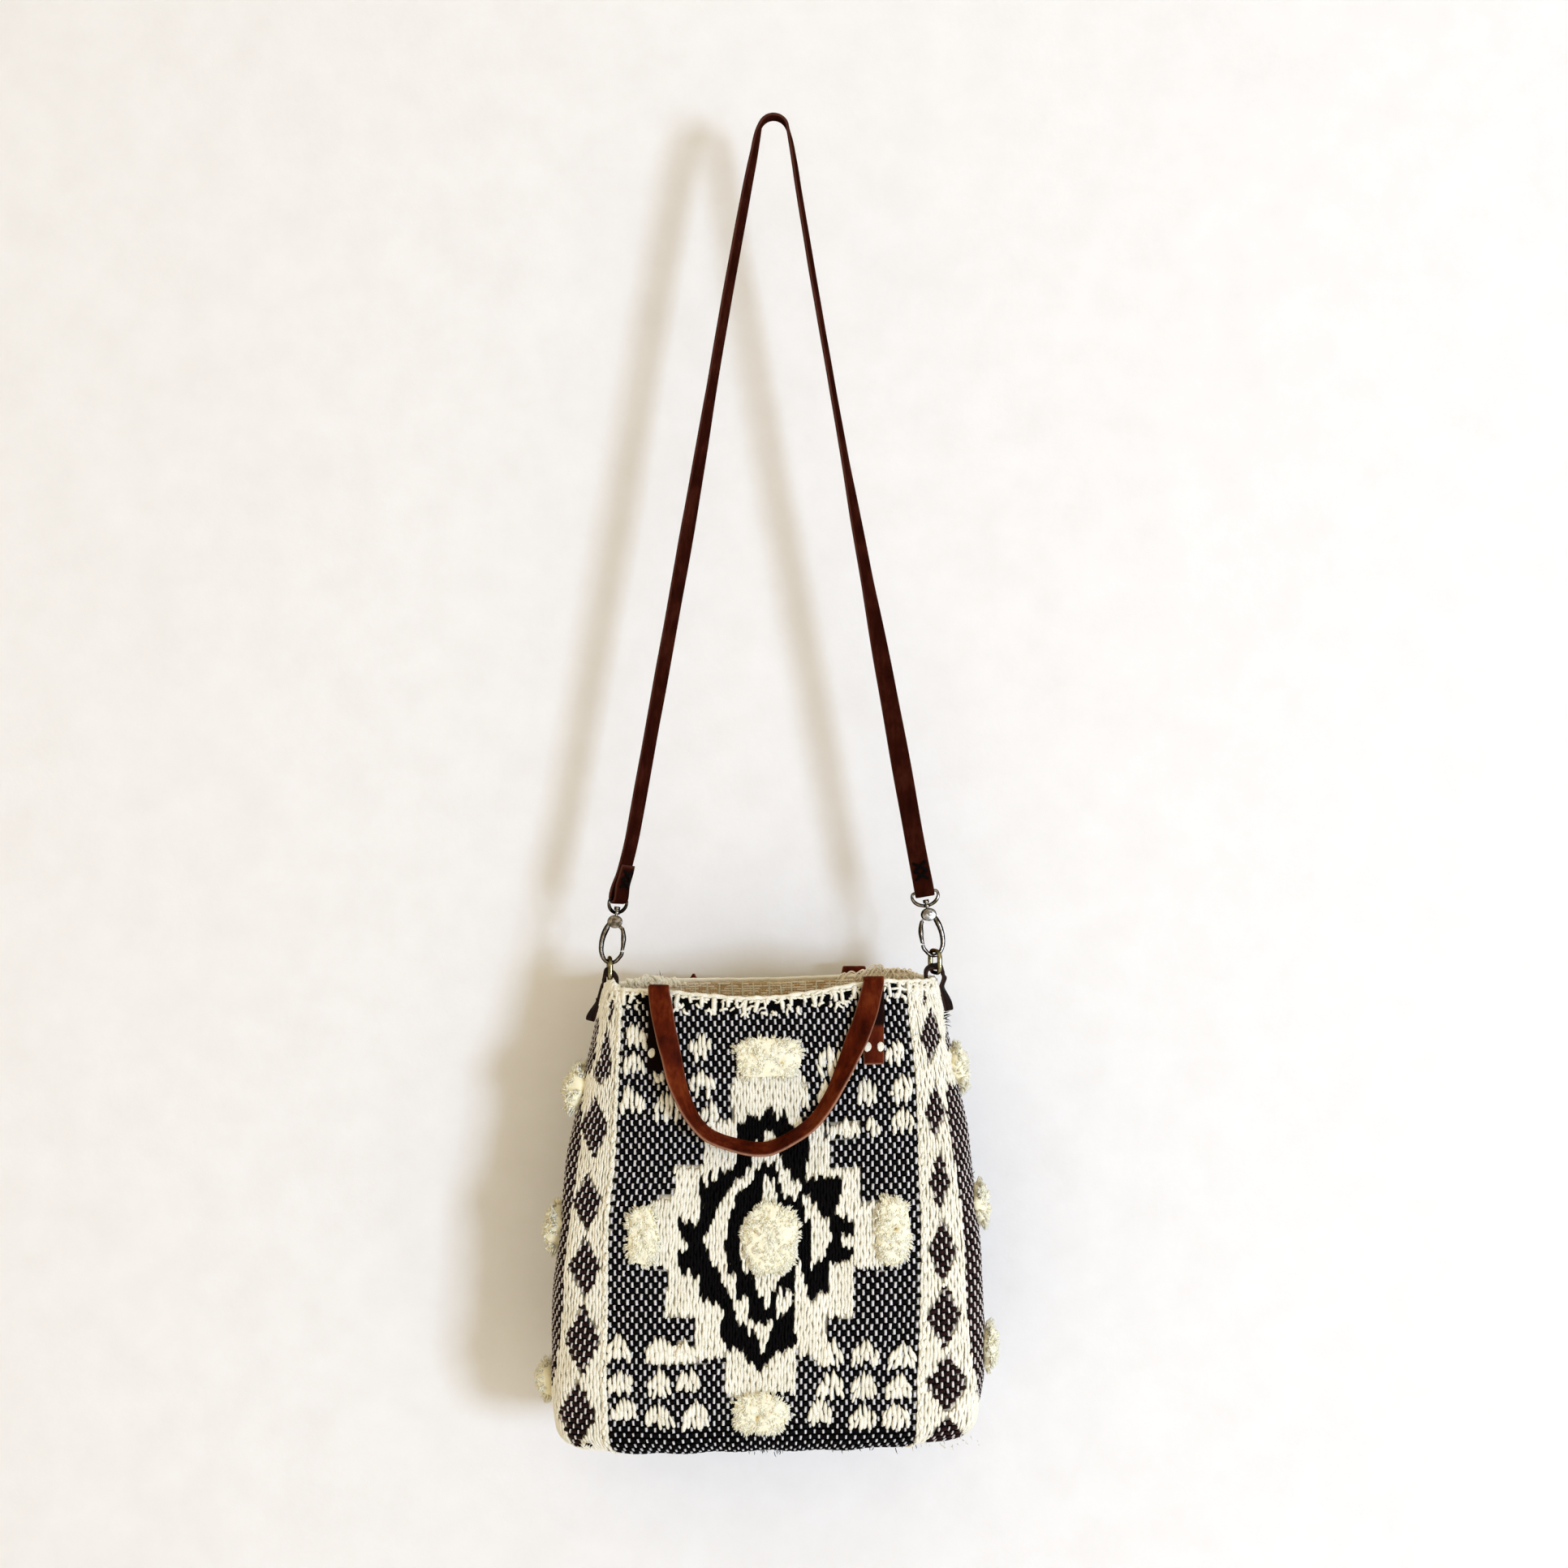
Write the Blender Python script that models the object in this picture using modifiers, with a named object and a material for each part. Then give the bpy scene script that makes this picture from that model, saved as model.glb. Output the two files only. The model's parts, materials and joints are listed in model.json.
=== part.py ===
"""Hand-woven cotton tote bag with two short leather handles and a long leather shoulder strap.

Metres, +Z up, +X to the bag's right as its front is faced, the front faces -Y.
The origin is the inner surface of the shoulder strap at its highest point, where the bag hangs.
All dimensions below are millimetres and are turned to metres when a mesh is made.
"""

import math

import bmesh
import bpy
import numpy as np
from mathutils import Matrix, Vector

MM = 0.001

# ---- driving dimensions (mm) ----
STRAP_W, STRAP_T = 14.3, 2.4  # shoulder strap section
STRAP_TOP_R = 10.8  # centreline radius where the strap turns over what it hangs on
STRAP_FLAP = 25.0  # length of the doubled end above each swivel eye
EYE_L, EYE_R = (-114.6, -577.0), (111.6, -571.8)  # (x, z) of the two eye bars
TILT_L, TILT_R = -7.7, 9.5  # lean of each clasp off vertical, degrees, lower end outward
TWIST_L, TWIST_R = 52.0, 0.0  # turn of each strap end about its own length, degrees
HOOK_TURN_L, HOOK_TURN_R = 0.0, 12.0  # turn of each hook on its swivel, degrees
EYE_WIRE, HOOK_WIRE = 2.1, 2.9  # wire diameters
BOW_Z = -47.5  # hook bow centre below the eye bar, in the clasp's own frame
RING_WIRE, RING_H, RING_W = 3.0, 16.2, 18.0  # ring wire, centreline height and width
RING_TURN_L, RING_TURN_R = 8.0, 17.0  # turn of each ring about vertical, degrees
TAB_W, TAB_T = 13.0, 2.4  # side tabs
SHEAR = 0.0249  # the bag hangs a little askew: z rises by this for each mm of x
RIM_Z, FLOOR_Z = -639.8, -970.0  # top edge at the sides and flat bottom
CLOTH_T, LINING_T, FACING_T = 2.5, 0.9, 1.0
FACING_H = 42.0
GAP = 0.3
CORD_R = 1.4
HANDLE_W, HANDLE_T = 15.6, 2.5
ANCHOR_W, ANCHOR_T = 15.0, 2.2
AROUND = 44  # facets round the bag
# (height, half width, half depth, corner exponent) of the bag's outer surface
PROFILE = (
    (-636.0, 120.8, 46.0, 2.6),
    (-662.0, 127.0, 47.4, 2.65),
    (-692.0, 133.6, 49.0, 2.75),
    (-722.0, 139.6, 50.6, 2.85),
    (-752.0, 145.3, 52.2, 2.95),
    (-782.0, 149.6, 53.8, 3.05),
    (-812.0, 152.5, 55.2, 3.15),
    (-842.0, 154.9, 56.4, 3.25),
    (-872.0, 156.9, 57.2, 3.35),
    (-902.0, 157.9, 57.6, 3.45),
    (-932.0, 157.0, 57.3, 3.5),
    (-954.0, 153.8, 56.0, 3.55),
)
CORNER_R = 16.0  # rounding between wall and bottom

COLOURS = {
    "strap_leather": ((0.020, 0.004, 0.002), 0.42, 0.0),
    "handle_leather": ((0.068, 0.005, 0.002), 0.38, 0.0),
    "tab_leather": ((0.012, 0.004, 0.003), 0.5, 0.0),
    "lacing": ((0.006, 0.004, 0.004), 0.7, 0.0),
    "steel": ((0.62, 0.58, 0.54), 0.24, 1.0),
    "brass": ((0.66, 0.52, 0.24), 0.28, 1.0),
    "woven_cotton": ((0.30, 0.29, 0.28), 0.95, 0.0),
    "lining_cotton": ((0.42, 0.33, 0.20), 0.95, 0.0),
    "cream_yarn": ((0.80, 0.76, 0.66), 0.95, 0.0),
    "tuft_wool": ((0.84, 0.76, 0.50), 0.98, 0.0),
}

for old in list(bpy.data.objects):
    bpy.data.objects.remove(old, do_unlink=True)

PARTS = bpy.data.collections.new("woven_tote_bag")
CUTTERS = bpy.data.collections.new("cutters")
bpy.context.scene.collection.children.link(PARTS)
bpy.context.scene.collection.children.link(CUTTERS)

MATERIALS = {}
for label, (rgb, rough, metal) in COLOURS.items():
    material = bpy.data.materials.new(label)
    material.use_nodes = True
    shader = material.node_tree.nodes["Principled BSDF"]
    shader.inputs["Base Color"].default_value = (*rgb, 1.0)
    shader.inputs["Roughness"].default_value = rough
    shader.inputs["Metallic"].default_value = metal
    MATERIALS[label] = material


# ---- small helpers ----
def lerp(a, b, t):
    return a + (b - a) * t


def smooth(t):
    t = min(1.0, max(0.0, t))
    return t * t * (3.0 - 2.0 * t)


def unit(v):
    v = np.asarray(v, float)
    return v / np.linalg.norm(v)


def through(points, count):
    """A smooth curve (Catmull-Rom) through the points, read at count places evenly along it."""
    p = np.asarray(points, float)
    ends = np.vstack([2 * p[0] - p[1], p, 2 * p[-1] - p[-2]])
    fine = []
    for i in range(len(p) - 1):
        a, b, c, d = ends[i : i + 4]
        for t in np.linspace(0, 1, 24, endpoint=False):
            fine.append(
                0.5
                * (
                    2 * b
                    + (c - a) * t
                    + (2 * a - 5 * b + 4 * c - d) * t * t
                    + (3 * b - a - 3 * c + d) * t**3
                )
            )
    fine.append(p[-1])
    fine = np.array(fine)
    run = np.concatenate([[0], np.cumsum(np.linalg.norm(np.diff(fine, axis=0), axis=1))])
    at = np.linspace(0, run[-1], count)
    return np.stack([np.interp(at, run, fine[:, k]) for k in range(p.shape[1])], axis=1)


def link(obj, material, cutter=False):
    (CUTTERS if cutter else PARTS).objects.link(obj)
    if cutter:
        obj.hide_render = True
        obj.display_type = "WIRE"
    else:
        obj.data.materials.append(MATERIALS[material])
    return obj


def mesh_object(name, vertices, faces, material, cutter=False):
    mesh = bpy.data.meshes.new(name)
    mesh.from_pydata([Vector(v) * MM for v in vertices], [], faces)
    mesh.validate()
    mesh.shade_smooth()
    return link(bpy.data.objects.new(name, mesh), material, cutter)


def solidify(obj, thickness, offset):
    modifier = obj.modifiers.new("thickness", "SOLIDIFY")
    modifier.thickness = thickness * MM
    modifier.offset = offset
    modifier.use_even_offset = True
    return obj


def ribbon(name, centres, widths, half, thickness, material, across=2):
    """A flat strap: centres are its middle line, widths the unit directions across it."""
    vertices, faces = [], []
    for c, w, h in zip(centres, widths, half):
        for j in range(across + 1):
            vertices.append(np.asarray(c) + np.asarray(w) * h * (2.0 * j / across - 1.0))
    row = across + 1
    for i in range(len(centres) - 1):
        for j in range(across):
            a = i * row + j
            faces.append((a, a + 1, a + row + 1, a + row))
    return solidify(mesh_object(name, vertices, faces, material), thickness, 0.0)


def tube(name, points, radius, material, cyclic=False, sides=2, cutter=False):
    curve = bpy.data.curves.new(name, "CURVE")
    curve.dimensions = "3D"
    curve.bevel_depth = radius * MM
    curve.bevel_resolution = sides
    curve.use_fill_caps = True
    spline = curve.splines.new("POLY")
    spline.points.add(len(points) - 1)
    for point, place in zip(spline.points, points):
        point.co = (*(Vector(place) * MM), 1.0)
    spline.use_cyclic_u = cyclic
    return link(bpy.data.objects.new(name, curve), material, cutter)


def as_mesh(obj, material, cutter=False):
    """The curve as a mesh object with its caps welded, so that it can be cut or joined."""
    bpy.context.view_layer.update()
    graph = bpy.context.evaluated_depsgraph_get()
    mesh = bpy.data.meshes.new_from_object(obj.evaluated_get(graph))
    work = bmesh.new()
    work.from_mesh(mesh)
    bmesh.ops.remove_doubles(work, verts=work.verts, dist=0.000001)
    bmesh.ops.recalc_face_normals(work, faces=work.faces)
    work.to_mesh(mesh)
    work.free()
    name, world = obj.name, obj.matrix_world.copy()
    bpy.data.objects.remove(obj, do_unlink=True)
    mesh.materials.clear()
    new = bpy.data.objects.new(name, mesh)
    new.matrix_world = world
    return link(new, material, cutter)


def cylinder(name, radius, depth, matrix, material, cutter=False, segments=20, radius2=None):
    mesh = bpy.data.meshes.new(name)
    work = bmesh.new()
    bmesh.ops.create_cone(
        work,
        cap_ends=True,
        segments=segments,
        radius1=radius * MM,
        radius2=(radius if radius2 is None else radius2) * MM,
        depth=depth * MM,
    )
    bmesh.ops.transform(work, matrix=matrix, verts=work.verts)
    work.to_mesh(mesh)
    work.free()
    mesh.shade_smooth()
    mesh.set_sharp_from_angle(angle=math.radians(40))
    return link(bpy.data.objects.new(name, mesh), material, cutter)


def block(name, size, matrix, material, cutter=False):
    mesh = bpy.data.meshes.new(name)
    work = bmesh.new()
    bmesh.ops.create_cube(work, size=1.0)
    bmesh.ops.scale(work, vec=Vector(size) * MM, verts=work.verts)
    bmesh.ops.transform(work, matrix=matrix, verts=work.verts)
    work.to_mesh(mesh)
    work.free()
    return link(bpy.data.objects.new(name, mesh), material, cutter)


def boolean(obj, other, operation):
    modifier = obj.modifiers.new(operation.lower(), "BOOLEAN")
    modifier.operation = operation
    modifier.object = other
    modifier.solver = "EXACT"
    return obj


def shift(x, y, z):
    return Matrix.Translation(Vector((x, y, z)) * MM)


# ---- the bag's outer surface ----
HEIGHTS = np.array([row[0] for row in PROFILE])[::-1]
COLUMNS = [np.array([row[k] for row in PROFILE])[::-1] for k in (1, 2, 3)]


def section(level):
    """Half width, half depth and exponent of the outer surface at a height before the shear."""
    return [float(np.interp(level, HEIGHTS, column)) for column in COLUMNS]


def middle_x(level):
    return lerp(-2.5, -4.5, (RIM_Z - level) / (RIM_Z - FLOOR_Z))


def rim_level(x, front):
    """Height of the cloth's top edge before the shear: it dips between the clasps."""
    dip = 7.0 * math.exp(-(((x + 12.0) / 52.0) ** 2)) if front else 2.0 * math.exp(-((x / 60.0) ** 2))
    lift = 2.6 * math.exp(-(((x - 76.0) / 26.0) ** 2)) if front else 0.0
    return RIM_Z - dip + lift


def even_angles(count):
    """Superellipse angles that are evenly spaced along the perimeter, starting at +X."""
    a, b, n = section(-800.0)
    t = np.linspace(0, 2 * math.pi, 4001)
    x = a * np.sign(np.cos(t)) * np.abs(np.cos(t)) ** (2 / n)
    y = b * np.sign(np.sin(t)) * np.abs(np.sin(t)) ** (2 / n)
    run = np.concatenate([[0], np.cumsum(np.hypot(np.diff(x), np.diff(y)))])
    return np.interp(np.arange(count) * run[-1] / count, run, t)


ANGLES = even_angles(AROUND)


def place(t, level, inward=0.0, shrink=0.0):
    """A point at angle t and height level, moved inward; shrink pulls the bottom rings in."""
    a, b, n = section(level)
    a, b = a - inward - shrink, b - inward - shrink
    c, s = math.cos(t), math.sin(t)
    x = middle_x(level) + math.copysign(abs(c) ** (2 / n), c) * a
    y = math.copysign(abs(s) ** (2 / n), s) * b
    return np.array((x, y, level + SHEAR * x))


def panel_y(x, level, front=True):
    """Depth of the front or back face at a width and height (before the shear)."""
    a, b, n = section(level)
    share = min(1.0, abs((x - middle_x(level)) / a))
    return (-1 if front else 1) * b * (1 - share**n) ** (1 / n)


def outward(x, level, front=True):
    """Unit normal of the outer surface at a place on the front or back face."""
    e = 1.0
    fx = np.array((2 * e, panel_y(x + e, level, front) - panel_y(x - e, level, front), 2 * e * SHEAR))
    fz = np.array((0.0, panel_y(x, level + e, front) - panel_y(x, level - e, front), 2 * e))
    n = unit(np.cross(fx, fz))
    return n if (n[1] < 0) == front else -n


def shell(name, inward, thickness, top, bottom, material):
    """One cloth layer. top is the drop below the rim, bottom the last wall height."""
    levels = [row[0] for row in PROFILE[1:]]
    if inward > 0:
        levels = levels[::-1][::2][::-1]
    rows = []
    first = [
        place(t, rim_level(place(t, RIM_Z)[0], math.sin(t) < -1e-6) - top, inward)
        for t in ANGLES
    ]
    rows.append(first)
    lowest_first = min(p[2] - SHEAR * p[0] for p in first)
    for level in levels:
        if level < lowest_first - 6.0 and level >= bottom:
            rows.append([place(t, level, inward) for t in ANGLES])
    vertices = [p for row in rows for p in row]
    faces = []
    for r in range(len(rows) - 1):
        for i in range(AROUND):
            j = (i + 1) % AROUND
            faces.append((r * AROUND + i, (r + 1) * AROUND + i, (r + 1) * AROUND + j, r * AROUND + j))
    if True:
        radius = CORNER_R - inward
        start = FLOOR_Z + CORNER_R
        rings = []
        for turn in (30.0, 60.0, 90.0):
            drop = radius * math.sin(math.radians(turn))
            pull = radius * (1 - math.cos(math.radians(turn)))
            rings.append((start - drop, pull))
        base = len(vertices) - AROUND
        for level, pull in rings:
            ring = []
            for t in ANGLES:
                p = place(t, start, inward, pull)
                ring.append(np.array((p[0], p[1], level + SHEAR * p[0])))
            vertices += ring
        for share in (0.62, 0.25):
            ring = []
            for t in ANGLES:
                p = place(t, start, inward, radius)
                x = lerp(middle_x(start), p[0], share)
                ring.append(np.array((x, p[1] * share, rings[-1][0] + SHEAR * x)))
            vertices += ring
        for r in range(len(rings) + 2):
            for i in range(AROUND):
                j = (i + 1) % AROUND
                a = base + r * AROUND
                faces.append((a + i, a + AROUND + i, a + AROUND + j, a + j))
        x = middle_x(start)
        vertices.append(np.array((x, 0.0, rings[-1][0] + SHEAR * x)))
        last = len(vertices) - 1
        a = base + (len(rings) + 2) * AROUND
        for i in range(AROUND):
            faces.append((a + i, last, a + (i + 1) % AROUND))
    obj = mesh_object(name, vertices, faces, material)
    work = bmesh.new()
    work.from_mesh(obj.data)
    bmesh.ops.recalc_face_normals(work, faces=work.faces)
    work.normal_update()
    # the wall's first face has to look away from the bag's middle
    work.faces.ensure_lookup_table()
    face = work.faces[0]
    if face.normal.dot(face.calc_center_median() - Vector((middle_x(RIM_Z) * MM, 0, face.calc_center_median().z))) < 0:
        bmesh.ops.reverse_faces(work, faces=work.faces)
    work.to_mesh(obj.data)
    work.free()
    return solidify(obj, thickness, -1.0)


# cloth, lining and the facing band sewn inside the mouth
shell("bag_shell", 0.0, CLOTH_T, 0.0, FLOOR_Z + CORNER_R, "woven_cotton")
shell("lining", CLOTH_T + 0.55, LINING_T, FACING_H + GAP + 0.4, FLOOR_Z + CORNER_R, "lining_cotton")


def band(name, inward, thickness, top, height, material):
    rows = []
    for drop in (top, top + height * 0.5, top + height):
        rows.append(
            [
                place(t, rim_level(place(t, RIM_Z)[0], math.sin(t) < -1e-6) - drop, inward)
                for t in ANGLES
            ]
        )
    vertices = [p for row in rows for p in row]
    faces = []
    for r in range(2):
        for i in range(AROUND):
            j = (i + 1) % AROUND
            faces.append((r * AROUND + i, (r + 1) * AROUND + i, (r + 1) * AROUND + j, r * AROUND + j))
    obj = mesh_object(name, vertices, faces, material)
    work = bmesh.new()
    work.from_mesh(obj.data)
    work.normal_update()
    work.faces.ensure_lookup_table()
    face = work.faces[0]
    centre = face.calc_center_median()
    if face.normal.dot(centre - Vector((middle_x(RIM_Z) * MM, 0, centre.z))) < 0:
        bmesh.ops.reverse_faces(work, faces=work.faces)
    work.to_mesh(obj.data)
    work.free()
    return solidify(obj, thickness, -1.0)


band("mouth_facing", CLOTH_T + GAP, FACING_T, 0.4, FACING_H - 0.4, "lining_cotton")

cord = []
for t in even_angles(44):
    x = place(t, RIM_Z)[0]
    level = rim_level(x, math.sin(t) < -1e-6)
    p = place(t, level, 1.9)
    cord.append(p + np.array((0, 0, GAP + 0.15 + CORD_R)))
tube("rim_cord", cord, CORD_R, "cream_yarn", cyclic=True, sides=0)


# ---- shoulder strap ----
LEFT_RUN = ((-20.4, -56.4), (-37.8, -152.4), (-62.1, -296.4), (-87.9, -440.4), (-105.4, -536.4))
RIGHT_RUN = ((19.2, -56.4), (35.4, -152.4), (60.9, -296.4), (87.6, -440.4), (104.9, -536.4))
LEFT_TURNS = ((0.0, 90.0), (60.0, 80.0), (200.0, 68.0), (300.0, 52.0), (580.0, 52.0))
RIGHT_TURNS = ((0.0, 90.0), (60.0, 84.0), (200.0, 80.0), (255.0, 70.0), (300.0, 57.0), (345.0, 49.0), (400.0, 27.0), (490.0, 7.0), (580.0, 0.0))
D = EYE_WIRE / 2 + GAP + 0.1 + STRAP_T / 2  # strap centreline to eye bar centre


def turn_at(z, table):
    return math.radians(float(np.interp(-z, [a for a, _ in table], [b for _, b in table])))


def clasp_axes(eye, tilt, twist):
    """Unit directions of a clasp: along its eye bar, and down its length."""
    lean = math.radians(tilt)
    down = np.array((math.sin(lean), 0.0, -math.cos(lean)))
    level = np.array((math.cos(lean), 0.0, math.sin(lean)))
    turn = math.radians(twist)
    return level * math.cos(turn) + np.array((0.0, math.sin(turn), 0.0)), down


def strand(run, eye, tilt, twist, table, flap_sign):
    """Centres, width and face directions from just below the top turn to the folded flap's end."""
    side = math.copysign(1.0, eye[0])
    centre_z = STRAP_T / 2 - STRAP_TOP_R
    lean = math.radians(10.6)
    start = (side * STRAP_TOP_R * math.cos(lean), centre_z + STRAP_TOP_R * math.sin(lean))
    line = through([start, (side * 14.6, -27.0), *run, (eye[0], eye[1])], 28)
    bar, down = clasp_axes(eye, tilt, twist)
    centres, widths, faces = [], [], []
    for i, (x, z) in enumerate(line):
        a = turn_at(z, table)
        before, after = line[max(i - 1, 0)], line[min(i + 1, len(line) - 1)]
        t = unit((after[0] - before[0], 0.0, after[1] - before[1]))
        w = np.array((math.cos(a), math.sin(a), 0.0))
        w = unit(w - t * np.dot(w, t))
        share = smooth(1.0 - (z - eye[1]) / 34.0)
        w = unit(lerp(w, bar, share))
        t = unit(lerp(t, down, share))
        seen = unit(np.cross(w, t))
        if np.dot(seen, (math.sin(a), -math.cos(a), 0.0)) < 0:
            seen = -seen
        centres.append(np.array((x, 0.0, z)) - flap_sign * seen * D * smooth(1.0 - (z - eye[1]) / 38.0))
        widths.append(w)
        faces.append(seen * flap_sign)
    pivot = np.array((eye[0], 0.0, eye[1]))
    n = unit(np.cross(bar, down))
    n = n if np.dot(n, faces[-1]) > 0 else -n
    count = len(centres)
    for k in range(1, 8):
        phi = math.pi * k / 8
        centres.append(pivot + D * (-n * math.cos(phi) + down * math.sin(phi)))
        widths.append(bar)
    heights = np.array([c[2] for c in centres[:count]])[::-1]

    def read(values, z):
        values = np.array(values[:count])[::-1]
        return np.array([np.interp(z, heights, values[:, q]) for q in range(3)])

    for k in range(6):
        z = centres[count - 1][2] + STRAP_FLAP * k / 5
        gap = lerp(2 * D, STRAP_T + GAP + 0.2, smooth(STRAP_FLAP * k / 5 / 11.0))
        centres.append(read(centres, z) + unit(read(faces, z)) * gap)
        widths.append(unit(read(widths, z)))
    return centres, widths, lambda z: (read(centres, z), unit(read(widths, z)), unit(read(faces, z)))


left_c, left_w, left_at = strand(LEFT_RUN, EYE_L, TILT_L, TWIST_L, LEFT_TURNS, 1.0)
right_c, right_w, right_at = strand(RIGHT_RUN, EYE_R, TILT_R, TWIST_R, RIGHT_TURNS, -1.0)
arc_c, arc_w = [], []
for degrees in np.linspace(180 - 10.6 - 14, 10.6 + 14, 11):
    a = math.radians(degrees)
    arc_c.append(np.array((STRAP_TOP_R * math.cos(a), 0.0, STRAP_T / 2 - STRAP_TOP_R + STRAP_TOP_R * math.sin(a))))
    arc_w.append(np.array((0.0, 1.0, 0.0)))
centres = left_c[::-1] + arc_c + right_c
widths = left_w[::-1] + arc_w + right_w
ribbon("shoulder_strap", centres, widths, [STRAP_W / 2] * len(centres), STRAP_T, "strap_leather")


def lacing(name, eye, at, flap_sign, lift):
    """Two crossed pairs of thong on the doubled strap end, one above the other, on its front."""
    z0 = eye[1] + STRAP_FLAP * 0.62
    main, w, face = at(z0)
    along = unit(at(z0 + 6.0)[0] - at(z0 - 6.0)[0])
    along = unit(along - w * np.dot(along, w))
    seen = unit(np.cross(w, along))
    if np.dot(seen, face) * flap_sign < 0:
        seen = -seen
    if flap_sign > 0:
        lift += STRAP_T + GAP + 0.2
    centre = main + seen * (lift + STRAP_T / 2 + GAP + 0.45)
    frame = Matrix((
        (w[0], along[0], seen[0], centre[0] * MM),
        (w[1], along[1], seen[1], centre[1] * MM),
        (w[2], along[2], seen[2], centre[2] * MM),
        (0, 0, 0, 1),
    ))
    bars = []
    for foot in (0.0, -6.4):
        for flip in (1, -1):
            lean = math.atan2(6.4, 9.4) * flip
            bars.append(shift(0, foot + 3.2, 0) @ Matrix.Rotation(lean, 4, "Z"))
    obj = block(name, (12.6, 1.3, 0.9), frame @ bars[0], "lacing")
    for k, bar in enumerate(bars[1:]):
        boolean(obj, block(f"{name}_bar_{k}", (12.6 + 0.11 * (k + 1), 1.3 + 0.05 * (k + 1), 0.9 + 0.04 * (k + 1)), frame @ bar, "lacing", cutter=True), "UNION")
    return obj


lacing("left_strap_lacing", EYE_L, left_at, 1.0, 0.45)
lacing("right_strap_lacing", EYE_R, right_at, -1.0, 0.45)


# ---- swivel clasps: an eye on the strap, a hook that turns in it, a sprung gate on a pin ----
def clasp_frame(eye, tilt, turn):
    """Clasp axes: local -Z runs down the clasp, local X across it."""
    return shift(eye[0], 0, eye[1]) @ Matrix.Rotation(math.radians(-tilt), 4, "Y") @ Matrix.Rotation(math.radians(turn), 4, "Z")


def into(matrix, x, y, z):
    p = matrix @ (Vector((x, y, z)) * MM)
    return np.array(p) / MM


def swivel_eye(name, frame):
    loop = []
    for k in range(15):  # the round lower half
        a = math.pi * k / 14
        loop.append((9.75 * math.cos(a), -2.6 - 7.6 * math.sin(a)))
    loop += [(-9.2, -0.8), (-7.9, 0.0), (-3.0, 0.0), (3.0, 0.0), (7.9, 0.0), (9.2, -0.8)]
    wire = as_mesh(tube(name, [into(frame, x, 0, z) for x, z in loop], EYE_WIRE / 2, "steel", cyclic=True), "steel")
    boolean(wire, cylinder(name + "_hub", 2.5, 2.5, frame @ shift(0, 0, -10.15), "steel", cutter=True), "UNION")
    boolean(wire, cylinder(name + "_bore", 1.5, 5.0, frame @ shift(0, 0, -10.15), "steel", cutter=True, segments=16), "DIFFERENCE")
    wire.data.shade_smooth()
    return wire


# (x, z) in the clasp's frame with the spine at +X and the gate at -X
HOOK_PATH = ((3.9, -18.6), (5.7, -22.6), (7.3, -28.0), (7.95, -34.0), (7.2, -40.6), (4.2, -45.8), (0.0, BOW_Z), (-4.0, -46.0), (-6.75, -42.4), (-7.75, -40.3), (-7.86, -38.35))
GATE_PATH = ((-5.6, -20.9), (-6.9, -24.4), (-7.75, -29.0), (-7.98, -33.5), (-7.84, -38.3))
PIN = (0.8, -16.2)
GATE_REACH = 22.95  # the gate's tip is cut to this radius about its pin, so that it swings clear of the hook's nose


def across(frame, x, z):
    """Places a cylinder's axis along the clasp's local Y at (x, z)."""
    return frame @ shift(x, 0, z) @ Matrix.Rotation(math.pi / 2, 4, "X")


def hook(name, frame, m):
    """m is 1 where the spine is at local +X, or -1 for the mirrored clasp."""
    path = through([(m * x, z) for x, z in HOOK_PATH], 24)
    body = as_mesh(tube(name, [into(frame, x, 0, z) for x, z in path], HOOK_WIRE / 2, "steel"), "steel")
    head = frame @ shift(m * 0.3, 0, -16.9) @ Matrix.Diagonal((1.16, 1.0, 1.0, 1.0)) @ Matrix.Rotation(math.pi / 2, 4, "X")
    boolean(body, cylinder(name + "_head", 4.75, 4.8, head, "steel", cutter=True, segments=28), "UNION")
    boolean(body, cylinder(name + "_post", 1.12, 6.4, frame @ shift(0, 0, -9.9), "steel", cutter=True, segments=14), "UNION")
    boolean(body, cylinder(name + "_post_head", 2.25, 2.6, frame @ shift(0, 0, -7.05), "steel", cutter=True, segments=14), "UNION")
    boolean(body, block(name + "_slot", (12.5, 2.0, 9.0), frame @ shift(-m * 2.75, 0, -18.0), "steel", cutter=True), "DIFFERENCE")
    boolean(body, cylinder(name + "_pin_bore", 1.3, 12.0, across(frame, m * PIN[0], PIN[1]), "steel", cutter=True, segments=16), "DIFFERENCE")
    return body


def gate(name, frame, m):
    path = through([(m * x, z) for x, z in GATE_PATH], 9)
    bar = as_mesh(tube(name, [into(frame, x, 0, z) for x, z in path], HOOK_WIRE / 2 - 0.1, "steel"), "steel")
    hinge = across(frame, m * PIN[0], PIN[1])
    boolean(bar, cylinder(name + "_reach", GATE_REACH, 8.0, hinge, "steel", cutter=True, segments=160), "INTERSECT")
    boolean(bar, cylinder(name + "_eye", 2.35, 1.3, hinge, "steel", cutter=True, segments=18), "UNION")
    ax, az, bx, bz = m * PIN[0], PIN[1], -m * 6.0, -21.9
    arm = frame @ shift((ax + bx) / 2, 0, (az + bz) / 2) @ Matrix.Rotation(-math.atan2(bz - az, bx - ax), 4, "Y")
    boolean(bar, block(name + "_arm", (math.hypot(bx - ax, bz - az), 1.34, 2.6), arm, "steel", cutter=True), "UNION")
    boolean(bar, cylinder(name + "_bore", 1.25, 4.0, hinge, "steel", cutter=True, segments=16), "DIFFERENCE")
    return bar


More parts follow.
